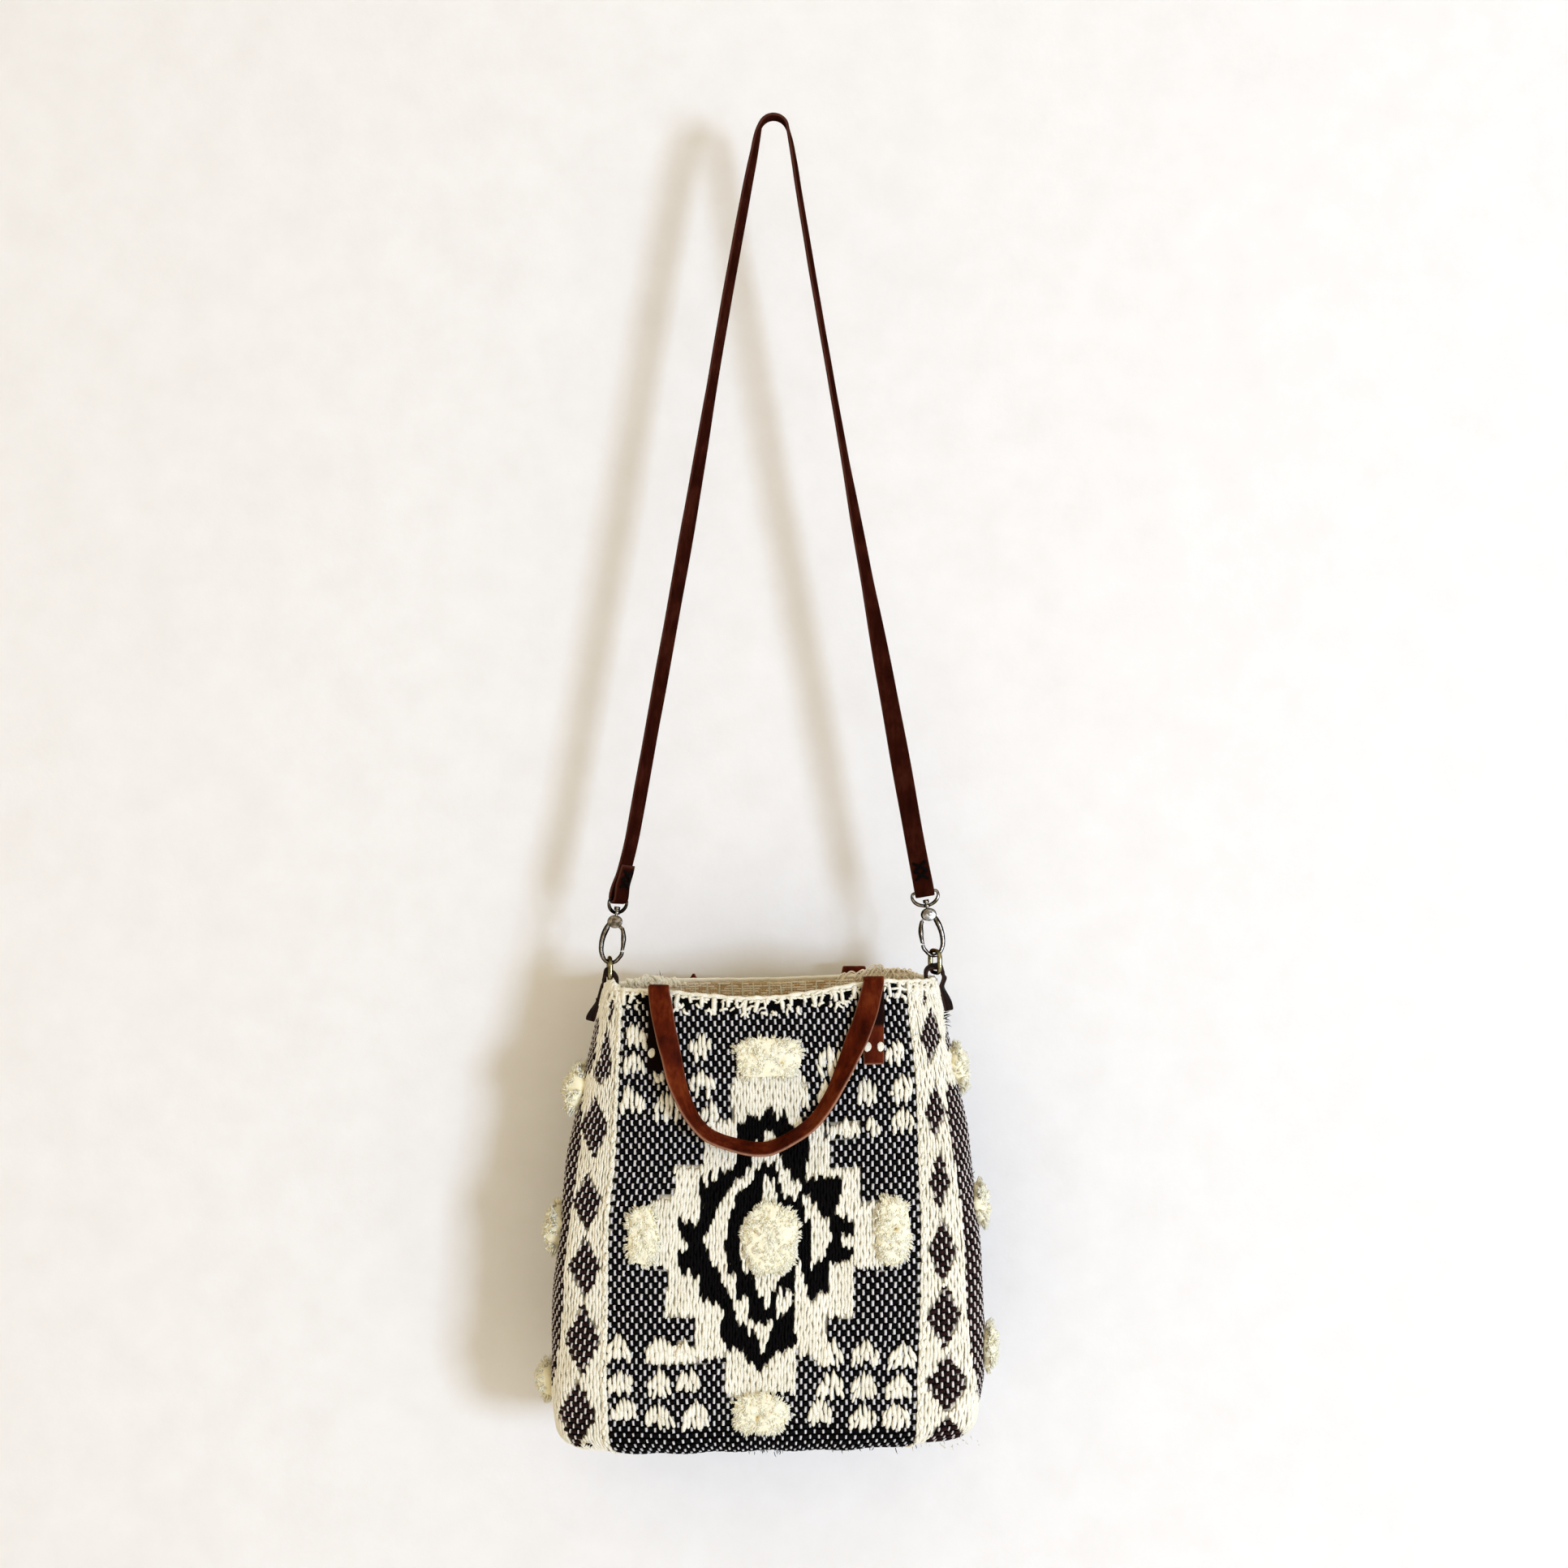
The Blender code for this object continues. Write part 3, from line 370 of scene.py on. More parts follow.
# black medallion, painted outside in
field(BLACK,
    (908, 1390), (914, 1383), (920, 1378), (926, 1372), (930, 1373), (934, 1381), (939, 1372), (944, 1370), (949, 1359),
    (954, 1372), (958, 1379), (962, 1376), (966, 1366), (970, 1379), (975, 1386), (979, 1392), (980, 1401), (994, 1391),
    (997, 1405), (995, 1425), (993, 1442), (994, 1456), (999, 1454), (1003, 1446), (1006, 1453), (1013, 1446), (1020, 1453),
    (1026, 1443), (1029, 1453), (1034, 1446), (1037, 1458), (1035, 1470), (1032, 1478), (1031, 1488), (1028, 1492),
    (1028, 1500), (1034, 1496), (1037, 1502), (1041, 1494), (1044, 1506), (1049, 1500), (1052, 1508), (1051, 1520),
    (1052, 1532), (1050, 1542), (1046, 1550), (1043, 1557), (1040, 1550), (1033, 1556), (1028, 1557), (1023, 1550),
    (1021, 1556), (1021, 1575), (1021, 1590), (1023, 1598), (1018, 1596), (1014, 1590), (1010, 1592), (1006, 1596),
    (1002, 1603), (996, 1596), (992, 1597), (988, 1592), (984, 1600), (979, 1598), (980, 1620), (980, 1640), (981, 1652),
    (975, 1660), (966, 1664), (962, 1670), (957, 1663), (952, 1670), (948, 1678), (940, 1680), (937, 1692), (933, 1684),
    (929, 1676), (925, 1681), (921, 1676), (916, 1670), (910, 1660), (905, 1658), (903, 1666), (897, 1662), (892, 1655),
    (888, 1645), (888, 1632), (891, 1620), (894, 1608), (888, 1614), (886, 1606), (884, 1600), (880, 1608), (873, 1598),
    (869, 1606), (864, 1600), (861, 1590), (861, 1566), (858, 1575), (852, 1568), (847, 1563), (845, 1570), (840, 1568),
    (836, 1560), (834, 1550), (837, 1543), (847, 1539), (845, 1528), (841, 1524), (837, 1518), (835, 1508), (838, 1502),
    (843, 1504), (846, 1508), (851, 1502), (858, 1508), (864, 1500), (864, 1485), (862, 1470), (861, 1458), (866, 1447),
    (868, 1462), (871, 1462), (873, 1445), (876, 1443), (878, 1454), (883, 1452), (888, 1438), (893, 1446), (898, 1444),
    (903, 1440), (907, 1430), (908, 1410))
field(CREAM,
    (927, 1424), (927, 1408), (936, 1406), (941, 1404), (944, 1392), (948, 1389), (953, 1397), (955, 1406), (961, 1410),
    (962, 1440), (967, 1444), (970, 1430), (973, 1440), (975, 1456), (979, 1457), (981, 1447), (984, 1450), (986, 1462),
    (990, 1468), (996, 1470), (998, 1478), (1001, 1482), (1003, 1472), (1006, 1480), (1007, 1490), (1010, 1498), (1013, 1493),
    (1016, 1500), (1020, 1502), (1023, 1512), (1025, 1522), (1022, 1532), (1020, 1540), (1016, 1546), (1013, 1553),
    (1008, 1550), (1003, 1558), (999, 1570), (990, 1555), (960, 1500), (930, 1500), (905, 1560), (906, 1575), (906, 1600),
    (911, 1600), (918, 1596), (924, 1602), (922, 1612), (921, 1622), (919, 1631), (911, 1627), (904, 1612), (902, 1600),
    (896, 1592), (890, 1580), (886, 1566), (880, 1560), (874, 1550), (872, 1540), (866, 1528), (865, 1521), (871, 1522),
    (874, 1515), (876, 1505), (880, 1498), (884, 1492), (887, 1482), (892, 1474), (897, 1467), (902, 1460), (905, 1452),
    (909, 1456), (915, 1447), (921, 1440), (928, 1434))
field(BLACK,
    (929, 1444), (934, 1440), (941, 1430), (947, 1435), (952, 1432), (957, 1439), (960, 1450), (961, 1462), (962, 1472),
    (966, 1476), (970, 1474), (972, 1468), (975, 1476), (980, 1478), (985, 1470), (988, 1472), (990, 1484), (992, 1498),
    (993, 1503), (999, 1503), (1000, 1515), (999, 1530), (998, 1545), (1000, 1556), (999, 1570), (993, 1596), (992, 1580),
    (990, 1567), (986, 1557), (981, 1555), (980, 1562), (979, 1585), (976, 1592), (974, 1590), (970, 1588), (966, 1596),
    (962, 1588), (960, 1584), (958, 1594), (957, 1606), (957, 1616), (953, 1632), (949, 1630), (946, 1626), (942, 1632),
    (938, 1624), (934, 1628), (930, 1632), (926, 1628), (922, 1620), (924, 1604), (921, 1595), (918, 1597), (913, 1601),
    (909, 1598), (906, 1590), (907, 1575), (904, 1567), (899, 1573), (896, 1562), (894, 1540), (895, 1520), (897, 1505),
    (901, 1492), (905, 1482), (909, 1472), (911, 1466), (914, 1461), (919, 1467), (922, 1460), (927, 1452))
field(CREAM,
    (938, 1460), (940, 1447), (943, 1448), (946, 1445), (949, 1455), (953, 1452), (956, 1460), (957, 1478), (959, 1490),
    (978, 1495), (983, 1520), (982, 1545), (976, 1560), (962, 1574), (958, 1578), (955, 1590), (951, 1592), (948, 1610),
    (943, 1612), (941, 1598), (938, 1600), (933, 1592), (929, 1578), (927, 1566), (923, 1560), (920, 1570), (915, 1572),
    (913, 1550), (912, 1520), (914, 1505), (920, 1500), (928, 1488), (938, 1480))
field(CREAM, (960, 1583), (964, 1588), (966, 1595), (970, 1587), (974, 1589), (978, 1600), (973, 1612), (966, 1616), (960, 1620), (956, 1630), (957, 1618), (957, 1604))
field(CREAM, (980, 1554), (986, 1556), (990, 1567), (993, 1580), (993, 1600), (988, 1592), (984, 1600), (979, 1602), (977, 1592), (980, 1582))
field(CREAM, (902, 1600), (906, 1604), (912, 1600), (920, 1596), (924, 1602), (922, 1614), (920, 1632), (912, 1630), (905, 1620))
field(CREAM, (922, 1620), (927, 1627), (929, 1634), (932, 1627), (935, 1625), (938, 1633), (941, 1633), (945, 1626), (948, 1624), (952, 1630), (950, 1642), (946, 1652), (942, 1662), (939, 1670), (934, 1670), (935, 1655), (934, 1645), (930, 1642), (926, 1638), (923, 1645), (921, 1632))
field(CREAM, (1036, 1521), (1040, 1518), (1041, 1530), (1044, 1526), (1046, 1516), (1051, 1520), (1052, 1530), (1047, 1537), (1040, 1538), (1037, 1530))


def colour_at(px, py):
    """The colour field at places of the front plane. Later fields lie over earlier ones."""
    px, py = np.asarray(px, float), np.asarray(py, float)
    out = np.zeros(px.shape, int)
    for colour, poly in FIELDS:
        lo, hi = poly.min(axis=0), poly.max(axis=0)
        near = np.nonzero((px >= lo[0]) & (px <= hi[0]) & (py >= lo[1]) & (py <= hi[1]))
        if not len(near[0]):
            continue
        x, y = px[near], py[near]
        inside = np.zeros(x.shape, bool)
        x0, y0 = poly[-1]
        for x1, y1 in poly:
            cross = (y0 > y) != (y1 > y)
            with np.errstate(divide="ignore", invalid="ignore"):
                at = (x1 - x0) * (y - y0) / (y1 - y0) + x0
            inside ^= cross & (x < at)
            x0, y0 = x1, y1
        values = out[near]
        values[inside] = colour
        out[near] = values
    return out


def colour_on_bag(k, m, dx=0.0, dy=0.0):
    px, py = to_plane(on_bag(k, m))
    return colour_at(px + dx, py + dy)


# ---------------------------------------------------------------- materials
def material(name):
    mat = bpy.data.materials.new(name)
    mat.use_nodes = True
    tree = mat.node_tree
    return mat, tree, tree.nodes["Principled BSDF"]


def node(tree, kind, **values):
    made = tree.nodes.new(kind)
    for key, value in values.items():
        if key.startswith("in_"):
            made.inputs[key[3:].replace("_", " ")].default_value = value
        else:
            setattr(made, key, value)
    return made


def ramp(tree, source, stops, mode="LINEAR"):
    made = tree.nodes.new("ShaderNodeValToRGB")
    made.color_ramp.interpolation = mode
    band = made.color_ramp
    while len(band.elements) < len(stops):
        band.elements.new(0.5)
    for element, (at, rgb) in zip(band.elements, stops):
        element.position = at
        element.color = (*rgb, 1.0)
    tree.links.new(source, made.inputs["Fac"])
    return made.outputs["Color"]


def combine(tree, a, b, kind="MULTIPLY", amount=1.0):
    made = tree.nodes.new("ShaderNodeMix")
    made.data_type = "RGBA"
    made.blend_type = kind
    made.inputs[0].default_value = amount
    tree.links.new(a, made.inputs[6])
    if isinstance(b, tuple):
        made.inputs[7].default_value = (*b, 1.0)
    else:
        tree.links.new(b, made.inputs[7])
    return made.outputs[2]


def maths(tree, kind, a, b=None, clamp=False):
    made = tree.nodes.new("ShaderNodeMath")
    made.operation = kind
    made.use_clamp = clamp
    for slot_, value in zip(made.inputs, (a, b)):
        if value is None:
            continue
        if isinstance(value, (int, float)):
            slot_.default_value = value
        else:
            tree.links.new(value, slot_)
    return made.outputs[0]


def coords(tree, scale=(1.0, 1.0, 1.0)):
    place = tree.nodes.new("ShaderNodeTexCoord")
    mapping = tree.nodes.new("ShaderNodeMapping")
    mapping.inputs["Scale"].default_value = scale
    tree.links.new(place.outputs["Object"], mapping.inputs["Vector"])
    return mapping.outputs["Vector"]


def noise(tree, vector, scale, detail=3.0, rough=0.55):
    made = node(tree, "ShaderNodeTexNoise", in_Scale=scale, in_Detail=detail, in_Roughness=rough)
    tree.links.new(vector, made.inputs["Vector"])
    return made.outputs["Fac"]


def bump(tree, shader, height, strength, distance):
    made = node(tree, "ShaderNodeBump", in_Strength=strength, in_Distance=distance)
    tree.links.new(height, made.inputs["Height"])
    tree.links.new(made.outputs["Normal"], shader.inputs["Normal"])


def attribute(tree, name):
    made = tree.nodes.new("ShaderNodeAttribute")
    made.attribute_name = name
    return made


def yarn_material(name, low, mid, high, rough=0.9, sheen=0.12, twist=34.0, strength=0.5, spec=0.12):
    """Spun yarn: painted shade where it dips into the cloth and in the grooves of its twist, twisted fibres along it,
    each float its own tone.
    """
    mat, tree, shader = material(name)
    yarn = attribute(tree, "yarn")  # (across, along in mm, tone)
    lift = attribute(tree, "lift")
    split = tree.nodes.new("ShaderNodeSeparateXYZ")
    tree.links.new(yarn.outputs["Vector"], split.inputs[0])
    across, along, tone = split.outputs
    ply = maths(tree, "SINE", maths(tree, "ADD", maths(tree, "MULTIPLY", across, 3.2), maths(tree, "MULTIPLY", along, twist / 10.0)))
    ply = maths(tree, "MULTIPLY_ADD", ply, 0.5)
    ply.node.inputs[2].default_value = 0.5
    fuzz = noise(tree, coords(tree), 1500.0, 4.0, 0.7)
    blotch = noise(tree, coords(tree), 60.0, 3.0, 0.6)
    # painted shade: low parts of each float (small lift) and the twist's grooves (ply) are darker
    level = maths(tree, "MULTIPLY", lift.outputs["Fac"], 0.62)
    level = maths(tree, "ADD", level, maths(tree, "MULTIPLY", ply, 0.12))
    level = maths(tree, "ADD", level, maths(tree, "MULTIPLY", fuzz, 0.16))
    level = maths(tree, "ADD", level, maths(tree, "MULTIPLY", tone, 0.16), clamp=True)
    colour = ramp(tree, level, ((0.08, low), (0.5, mid), (0.95, high)))
    shade = ramp(tree, blotch, ((0.35, (0.90, 0.90, 0.88)), (0.62, (1.0, 1.0, 1.0))))
    tree.links.new(combine(tree, colour, shade), shader.inputs["Base Color"])
    shader.inputs["Roughness"].default_value = rough
    shader.inputs["Sheen Weight"].default_value = sheen
    shader.inputs["Sheen Roughness"].default_value = 0.6
    shader.inputs["Specular IOR Level"].default_value = spec
    height = maths(tree, "ADD", maths(tree, "MULTIPLY", ply, 0.6), maths(tree, "MULTIPLY", fuzz, 0.6))
    bump(tree, shader, height, strength, 0.0004)
    return mat


CREAM_YARN = yarn_material("cream_yarn_look", (0.50, 0.43, 0.27), (0.86, 0.805, 0.635), (0.995, 0.965, 0.86))
GREY_YARN = yarn_material("pale_warp_look", (0.15, 0.14, 0.15), (0.45, 0.435, 0.45), (0.82, 0.805, 0.82), sheen=0.04)
BLACK_YARN = yarn_material("black_weft_look", (0.0005, 0.0004, 0.0004), (0.0016, 0.0013, 0.0014), (0.0045, 0.0038, 0.0040), sheen=0.0, spec=0.04)
MAROON_YARN = yarn_material("maroon_weft_look", (0.0022, 0.0009, 0.0009), (0.0085, 0.0026, 0.0026), (0.026, 0.009, 0.008), sheen=0.02, spec=0.04)
DUSKY_YARN = yarn_material("dusky_warp_look", (0.20, 0.16, 0.15), (0.56, 0.49, 0.46), (0.86, 0.80, 0.76), sheen=0.05)
BEIGE_YARN = yarn_material("beige_yarn_look", (0.62, 0.46, 0.28), (0.97, 0.83, 0.62), (0.99, 0.92, 0.78), sheen=0.10)
BROWN_YARN = yarn_material("brown_yarn_look", (0.02, 0.010, 0.006), (0.07, 0.035, 0.018), (0.16, 0.09, 0.05), sheen=0.05)
GOLD_YARN = yarn_material("gold_yarn_look", (0.24, 0.13, 0.05), (0.62, 0.40, 0.19), (0.82, 0.62, 0.36), sheen=0.08)


def cloth_material():
    mat, tree, shader = material("base_cloth_look")
    cream = attribute(tree, "cream")
    grain = noise(tree, coords(tree), 900.0, 4.0, 0.7)
    dark = ramp(tree, grain, ((0.3, (0.0007, 0.0006, 0.0006)), (0.7, (0.003, 0.0025, 0.0027))))
    pale = ramp(tree, grain, ((0.3, (0.60, 0.53, 0.38)), (0.7, (0.78, 0.73, 0.60))))
    made = tree.nodes.new("ShaderNodeMix")
    made.data_type = "RGBA"
    tree.links.new(cream.outputs["Fac"], made.inputs[0])
    tree.links.new(dark, made.inputs[6])
    tree.links.new(pale, made.inputs[7])
    tree.links.new(made.outputs[2], shader.inputs["Base Color"])
    shader.inputs["Roughness"].default_value = 0.95
    shader.inputs["Specular IOR Level"].default_value = 0.04
    wave = node(tree, "ShaderNodeTexWave", in_Scale=130.0, in_Distortion=1.2, in_Detail=2.0)
    wave.bands_direction = "Z"
    tree.links.new(coords(tree), wave.inputs["Vector"])
    bump(tree, shader, wave.outputs["Fac"], 0.4, 0.0004)
    return mat


BASE_CLOTH = cloth_material()


def cotton_material(name, low, high, pitch):
    """Plain woven cotton in two thread directions."""
    mat, tree, shader = material(name)
    flat = coords(tree)
    bands = []
    for direction in ("Z", "X"):
        wave = node(tree, "ShaderNodeTexWave", in_Scale=pitch, in_Distortion=0.6, in_Detail=1.5)
        wave.bands_direction = direction
        wave.wave_profile = "SIN"
        tree.links.new(flat, wave.inputs["Vector"])
        bands.append(wave.outputs["Fac"])
    # painted shade: the weave pattern darkens the colour between the crossing threads
    weave = maths(tree, "MULTIPLY", bands[0], bands[1])
    fuzz = noise(tree, flat, 700.0, 4.0, 0.65)
    level = maths(tree, "ADD", maths(tree, "MULTIPLY", weave, 0.55), maths(tree, "MULTIPLY", fuzz, 0.5), clamp=True)
    tree.links.new(ramp(tree, level, ((0.15, low), (0.75, high))), shader.inputs["Base Color"])
    shader.inputs["Roughness"].default_value = 0.95
    shader.inputs["Sheen Weight"].default_value = 0.15
    shader.inputs["Specular IOR Level"].default_value = 0.15
    bump(tree, shader, level, 0.6, 0.0005)
    return mat


LINING = cotton_material("lining_look", (0.30, 0.22, 0.13), (0.56, 0.46, 0.31), 190.0)
FACING = cotton_material("facing_look", (0.46, 0.32, 0.17), (0.96, 0.80, 0.57), 150.0)


def wool_material():
    mat, tree, shader = material("wool_pile_look")
    depth = attribute(tree, "lift")
    tone = attribute(tree, "yarn")
    split = tree.nodes.new("ShaderNodeSeparateXYZ")
    tree.links.new(tone.outputs["Vector"], split.inputs[0])
    cloud = noise(tree, coords(tree), 75.0, 3.0, 0.6)
    # painted shade: the pile is darker where lift is low, at fibre roots, low on the cushions and in the partings
    level = maths(tree, "ADD", maths(tree, "MULTIPLY", depth.outputs["Fac"], 0.5), maths(tree, "MULTIPLY", split.outputs[2], 0.22))
    level = maths(tree, "ADD", level, maths(tree, "MULTIPLY", cloud, 0.34), clamp=True)
    colour = ramp(tree, level, ((0.05, (0.52, 0.37, 0.16)), (0.20, (0.95, 0.80, 0.47)), (0.38, (0.99, 0.92, 0.63)), (0.78, (0.998, 0.96, 0.78))))
    tree.links.new(colour, shader.inputs["Base Color"])
    shader.inputs["Roughness"].default_value = 0.95
    shader.inputs["Sheen Weight"].default_value = 0.85
    shader.inputs["Sheen Roughness"].default_value = 0.5
    shader.inputs["Specular IOR Level"].default_value = 0.05
    bump(tree, shader, noise(tree, coords(tree), 1100.0, 4.0, 0.7), 0.5, 0.0006)
    return mat


WOOL = wool_material()


def leather_material(name, dark, mid, light, edge, rough=0.55, worn=0.35, coat=0.0, spec=0.04):
    """Leather strip: fine grain, slow colour clouds, rubbed paler along the raw cut edge."""
    mat, tree, shader = material(name)
    at = coords(tree)
    grain = node(tree, "ShaderNodeTexVoronoi", in_Scale=1150.0)
    grain.feature = "DISTANCE_TO_EDGE"
    tree.links.new(at, grain.inputs["Vector"])
    pores = noise(tree, at, 2100.0, 3.0, 0.6)
    cloud = noise(tree, at, 42.0, 5.0, 0.62)
    streak = noise(tree, coords(tree, (1.0, 1.0, 0.18)), 330.0, 4.0, 0.6)
    level = maths(tree, "ADD", maths(tree, "MULTIPLY", cloud, 0.75), maths(tree, "MULTIPLY", streak, 0.3), clamp=True)
    colour = ramp(tree, level, ((0.36, dark), (0.52, mid), (0.70, light)))
    cut = attribute(tree, "edge")
    rub = maths(tree, "MULTIPLY", cut.outputs["Fac"], maths(tree, "ADD", maths(tree, "MULTIPLY", streak, 0.7), 0.5), clamp=True)
    made = tree.nodes.new("ShaderNodeMix")
    made.data_type = "RGBA"
    tree.links.new(rub, made.inputs[0])
    tree.links.new(colour, made.inputs[6])
    made.inputs[7].default_value = (*edge, 1.0)
    # painted shade: this mix darkens the handles' sewn ends nearly to black, as painted shade over darker leather
    stain = attribute(tree, "stain")
    darker_leather_and_painted_shade = tree.nodes.new("ShaderNodeMix")
    darker_leather_and_painted_shade.data_type = "RGBA"
    tree.links.new(stain.outputs["Fac"], darker_leather_and_painted_shade.inputs[0])
    tree.links.new(made.outputs[2], darker_leather_and_painted_shade.inputs[6])
    darker_leather_and_painted_shade.inputs[7].default_value = (0.0022, 0.0014, 0.0012, 1.0)
    tree.links.new(darker_leather_and_painted_shade.outputs[2], shader.inputs["Base Color"])
    gloss = maths(tree, "ADD", maths(tree, "MULTIPLY", cloud, 0.25), rough - 0.12)
    gloss = maths(tree, "ADD", gloss, maths(tree, "MULTIPLY", cut.outputs["Fac"], 0.3), clamp=True)
    tree.links.new(gloss, shader.inputs["Roughness"])
    shader.inputs["Specular IOR Level"].default_value = spec
    shader.inputs["Coat Weight"].default_value = coat
    shader.inputs["Coat Roughness"].default_value = 0.35
    relief = maths(tree, "ADD", maths(tree, "MULTIPLY", grain.outputs["Distance"], 0.9), maths(tree, "MULTIPLY", pores, 0.35))
    bump(tree, shader, relief, worn, 0.0003)
    return mat


STRAP_LEATHER = leather_material("strap_leather_look", (0.012, 0.0022, 0.0012), (0.024, 0.0044, 0.0023), (0.046, 0.0105, 0.0055), (0.085, 0.030, 0.020), rough=0.56, spec=0.0)
HANDLE_LEATHER = leather_material("handle_leather_look", (0.026, 0.0034, 0.0013), (0.076, 0.0092, 0.0024), (0.165, 0.031, 0.0072), (0.36, 0.18, 0.11), rough=0.52, spec=0.015)
TAB_LEATHER = leather_material("tab_leather_look", (0.0045, 0.0022, 0.0018), (0.009, 0.0042, 0.0034), (0.020, 0.010, 0.008), (0.045, 0.025, 0.019), rough=0.55, spec=0.01)
THONG = leather_material("thong_look", (0.0012, 0.0008, 0.0007), (0.0022, 0.0014, 0.0012), (0.005, 0.0032, 0.003), (0.014, 0.009, 0.007), rough=0.7, coat=0.0, spec=0.03)


# painted dark reflections: colour scaled by how squarely each face looks along Y, darker on the sides of the wires
STEEL_PAINTED_SIDE_SHADE = ((0.62, (0.035, 0.029, 0.024)), (0.885, (0.12, 0.105, 0.09)), (0.972, (0.58, 0.57, 0.56)), (1.0, (1.0, 1.0, 1.0)))
BRASS_PAINTED_SIDE_SHADE = ((0.25, (0.20, 0.19, 0.17)), (0.72, (0.50, 0.49, 0.46)), (1.0, (0.95, 0.95, 0.90)))


def metal_material(name, bright, dull, rough, stain, rim=(0.30, 0.27, 0.24), shade=STEEL_PAINTED_SIDE_SHADE):
    mat, tree, shader = material(name)
    at = coords(tree)
    wear = noise(tree, at, 260.0, 5.0, 0.7)
    fine = noise(tree, at, 1400.0, 3.0, 0.6)
    colour = ramp(tree, wear, ((0.36, stain), (0.48, dull), (0.62, bright)))
    # painted dark reflections: faces turned sideways from the front and back are darkened, front faces keep their
    # colour
    facing = tree.nodes.new("ShaderNodeTexCoord")
    sides = tree.nodes.new("ShaderNodeSeparateXYZ")
    tree.links.new(facing.outputs["Normal"], sides.inputs[0])
    flat = maths(tree, "ABSOLUTE", sides.outputs[1])
    painted_side_shade = ramp(tree, flat, shade)
    tree.links.new(combine(tree, colour, painted_side_shade), shader.inputs["Base Color"])
    shader.inputs["Metallic"].default_value = 1.0
    shader.inputs["Specular Tint"].default_value = (*rim, 1.0)
    tree.links.new(maths(tree, "ADD", maths(tree, "MULTIPLY", fine, 0.18), rough, clamp=True), shader.inputs["Roughness"])
    bump(tree, shader, fine, 0.12, 0.00015)
    return mat


STEEL = metal_material("nickel_look", (0.66, 0.63, 0.58), (0.32, 0.285, 0.24), 0.12, (0.10, 0.08, 0.06))
DARK_STEEL = metal_material("worn_gate_look", (0.44, 0.385, 0.32), (0.22, 0.18, 0.14), 0.18, (0.075, 0.06, 0.045))
BRASS = metal_material("aged_brass_look", (0.60, 0.54, 0.33), (0.28, 0.25, 0.145), 0.15, (0.13, 0.10, 0.035), rim=(0.34, 0.26, 0.10), shade=BRASS_PAINTED_SIDE_SHADE)


# ---------------------------------------------------------------- mesh building
def raw_mesh(name, points_mm, loops, starts, mats, attributes=None, smooth_shade=True):
    """One mesh object from flat arrays: loops are vertex numbers, starts the first loop of each face."""
    mesh = bpy.data.meshes.new(name)
    co = np.asarray(points_mm, np.float32).reshape(-1, 3) * MM
    mesh.vertices.add(len(co))
    mesh.vertices.foreach_set("co", co.ravel())
    loops = np.asarray(loops, np.int32)
    starts = np.asarray(starts, np.int32)
    mesh.loops.add(len(loops))
    mesh.loops.foreach_set("vertex_index", loops)
    mesh.polygons.add(len(starts))
    mesh.polygons.foreach_set("loop_start", starts)
    mesh.update(calc_edges=True)
    mesh.validate()
    for key, (kind, values) in (attributes or {}).items():
        layer = mesh.attributes.new(key, kind, "POINT")
        layer.data.foreach_set("vector" if kind == "FLOAT_VECTOR" else "value", np.asarray(values, np.float32).ravel())
    if smooth_shade:
        mesh.shade_smooth()
    for mat in mats if isinstance(mats, (list, tuple)) else [mats]:
        mesh.materials.append(mat)
    obj = bpy.data.objects.new(name, mesh)
    bpy.context.scene.collection.objects.link(obj)
    return obj


def grid_faces(rows, cols, closed_rows=False, closed_cols=False):
    """Quads of a rows x cols grid of points, as an (n, 4) array."""
    r = np.arange(rows if closed_rows else rows - 1)
    c = np.arange(cols if closed_cols else cols - 1)
    rr, cc = np.meshgrid(r, c, indexing="ij")
    r1, c1 = (rr + 1) % rows, (cc + 1) % cols
    return np.stack([rr * cols + cc, rr * cols + c1, r1 * cols + c1, r1 * cols + cc], axis=-1).reshape(-1, 4)


def quads_object(name, points, quads, mats, attributes=None, extra=None, flip=False):
    quads = np.asarray(quads)
    if flip:
        quads = quads[:, ::-1]
    loops, starts = [quads.ravel()], [np.arange(len(quads)) * 4]
    at = len(quads) * 4
    for polygon in extra or []:
        polygon = polygon[::-1] if flip else polygon
        starts.append(np.array([at]))
        loops.append(np.array(polygon))
        at += len(polygon)
    return raw_mesh(name, points, np.concatenate(loops), np.concatenate(starts), mats, attributes)


SECTION = ((-1.0, -0.10), (-0.48, 0.97), (0.48, 0.97), (1.0, -0.10))


def float_template(stations):
    """A closed spindle: rings of points and a point at each end. Returns along, across, up and the faces."""
    along, across, up = [], [], []
    for a, s in stations:
        for b, h in SECTION:
            along.append(a)
            across.append(b * s)
            up.append(h * (0.25 + 0.75 * s) if h > 0 else h)
    along += [-1.0, 1.0]
    across += [0.0, 0.0]
    up += [0.02, 0.02]
    count, g = len(stations), len(SECTION)
    loops, starts = [], []
    for i in range(count - 1):
        for j in range(g):
            starts.append(len(loops))
            q = (j + 1) % g
            loops += [i * g + j, i * g + q, (i + 1) * g + q, (i + 1) * g + j]
    for j in range(g):
        q = (j + 1) % g
        starts.append(len(loops))
        loops += [count * g, q, j]
        starts.append(len(loops))
        loops += [count * g + 1, (count - 1) * g + j, (count - 1) * g + q]
    return np.array(along), np.array(across), np.array(up), np.array(loops), np.array(starts)


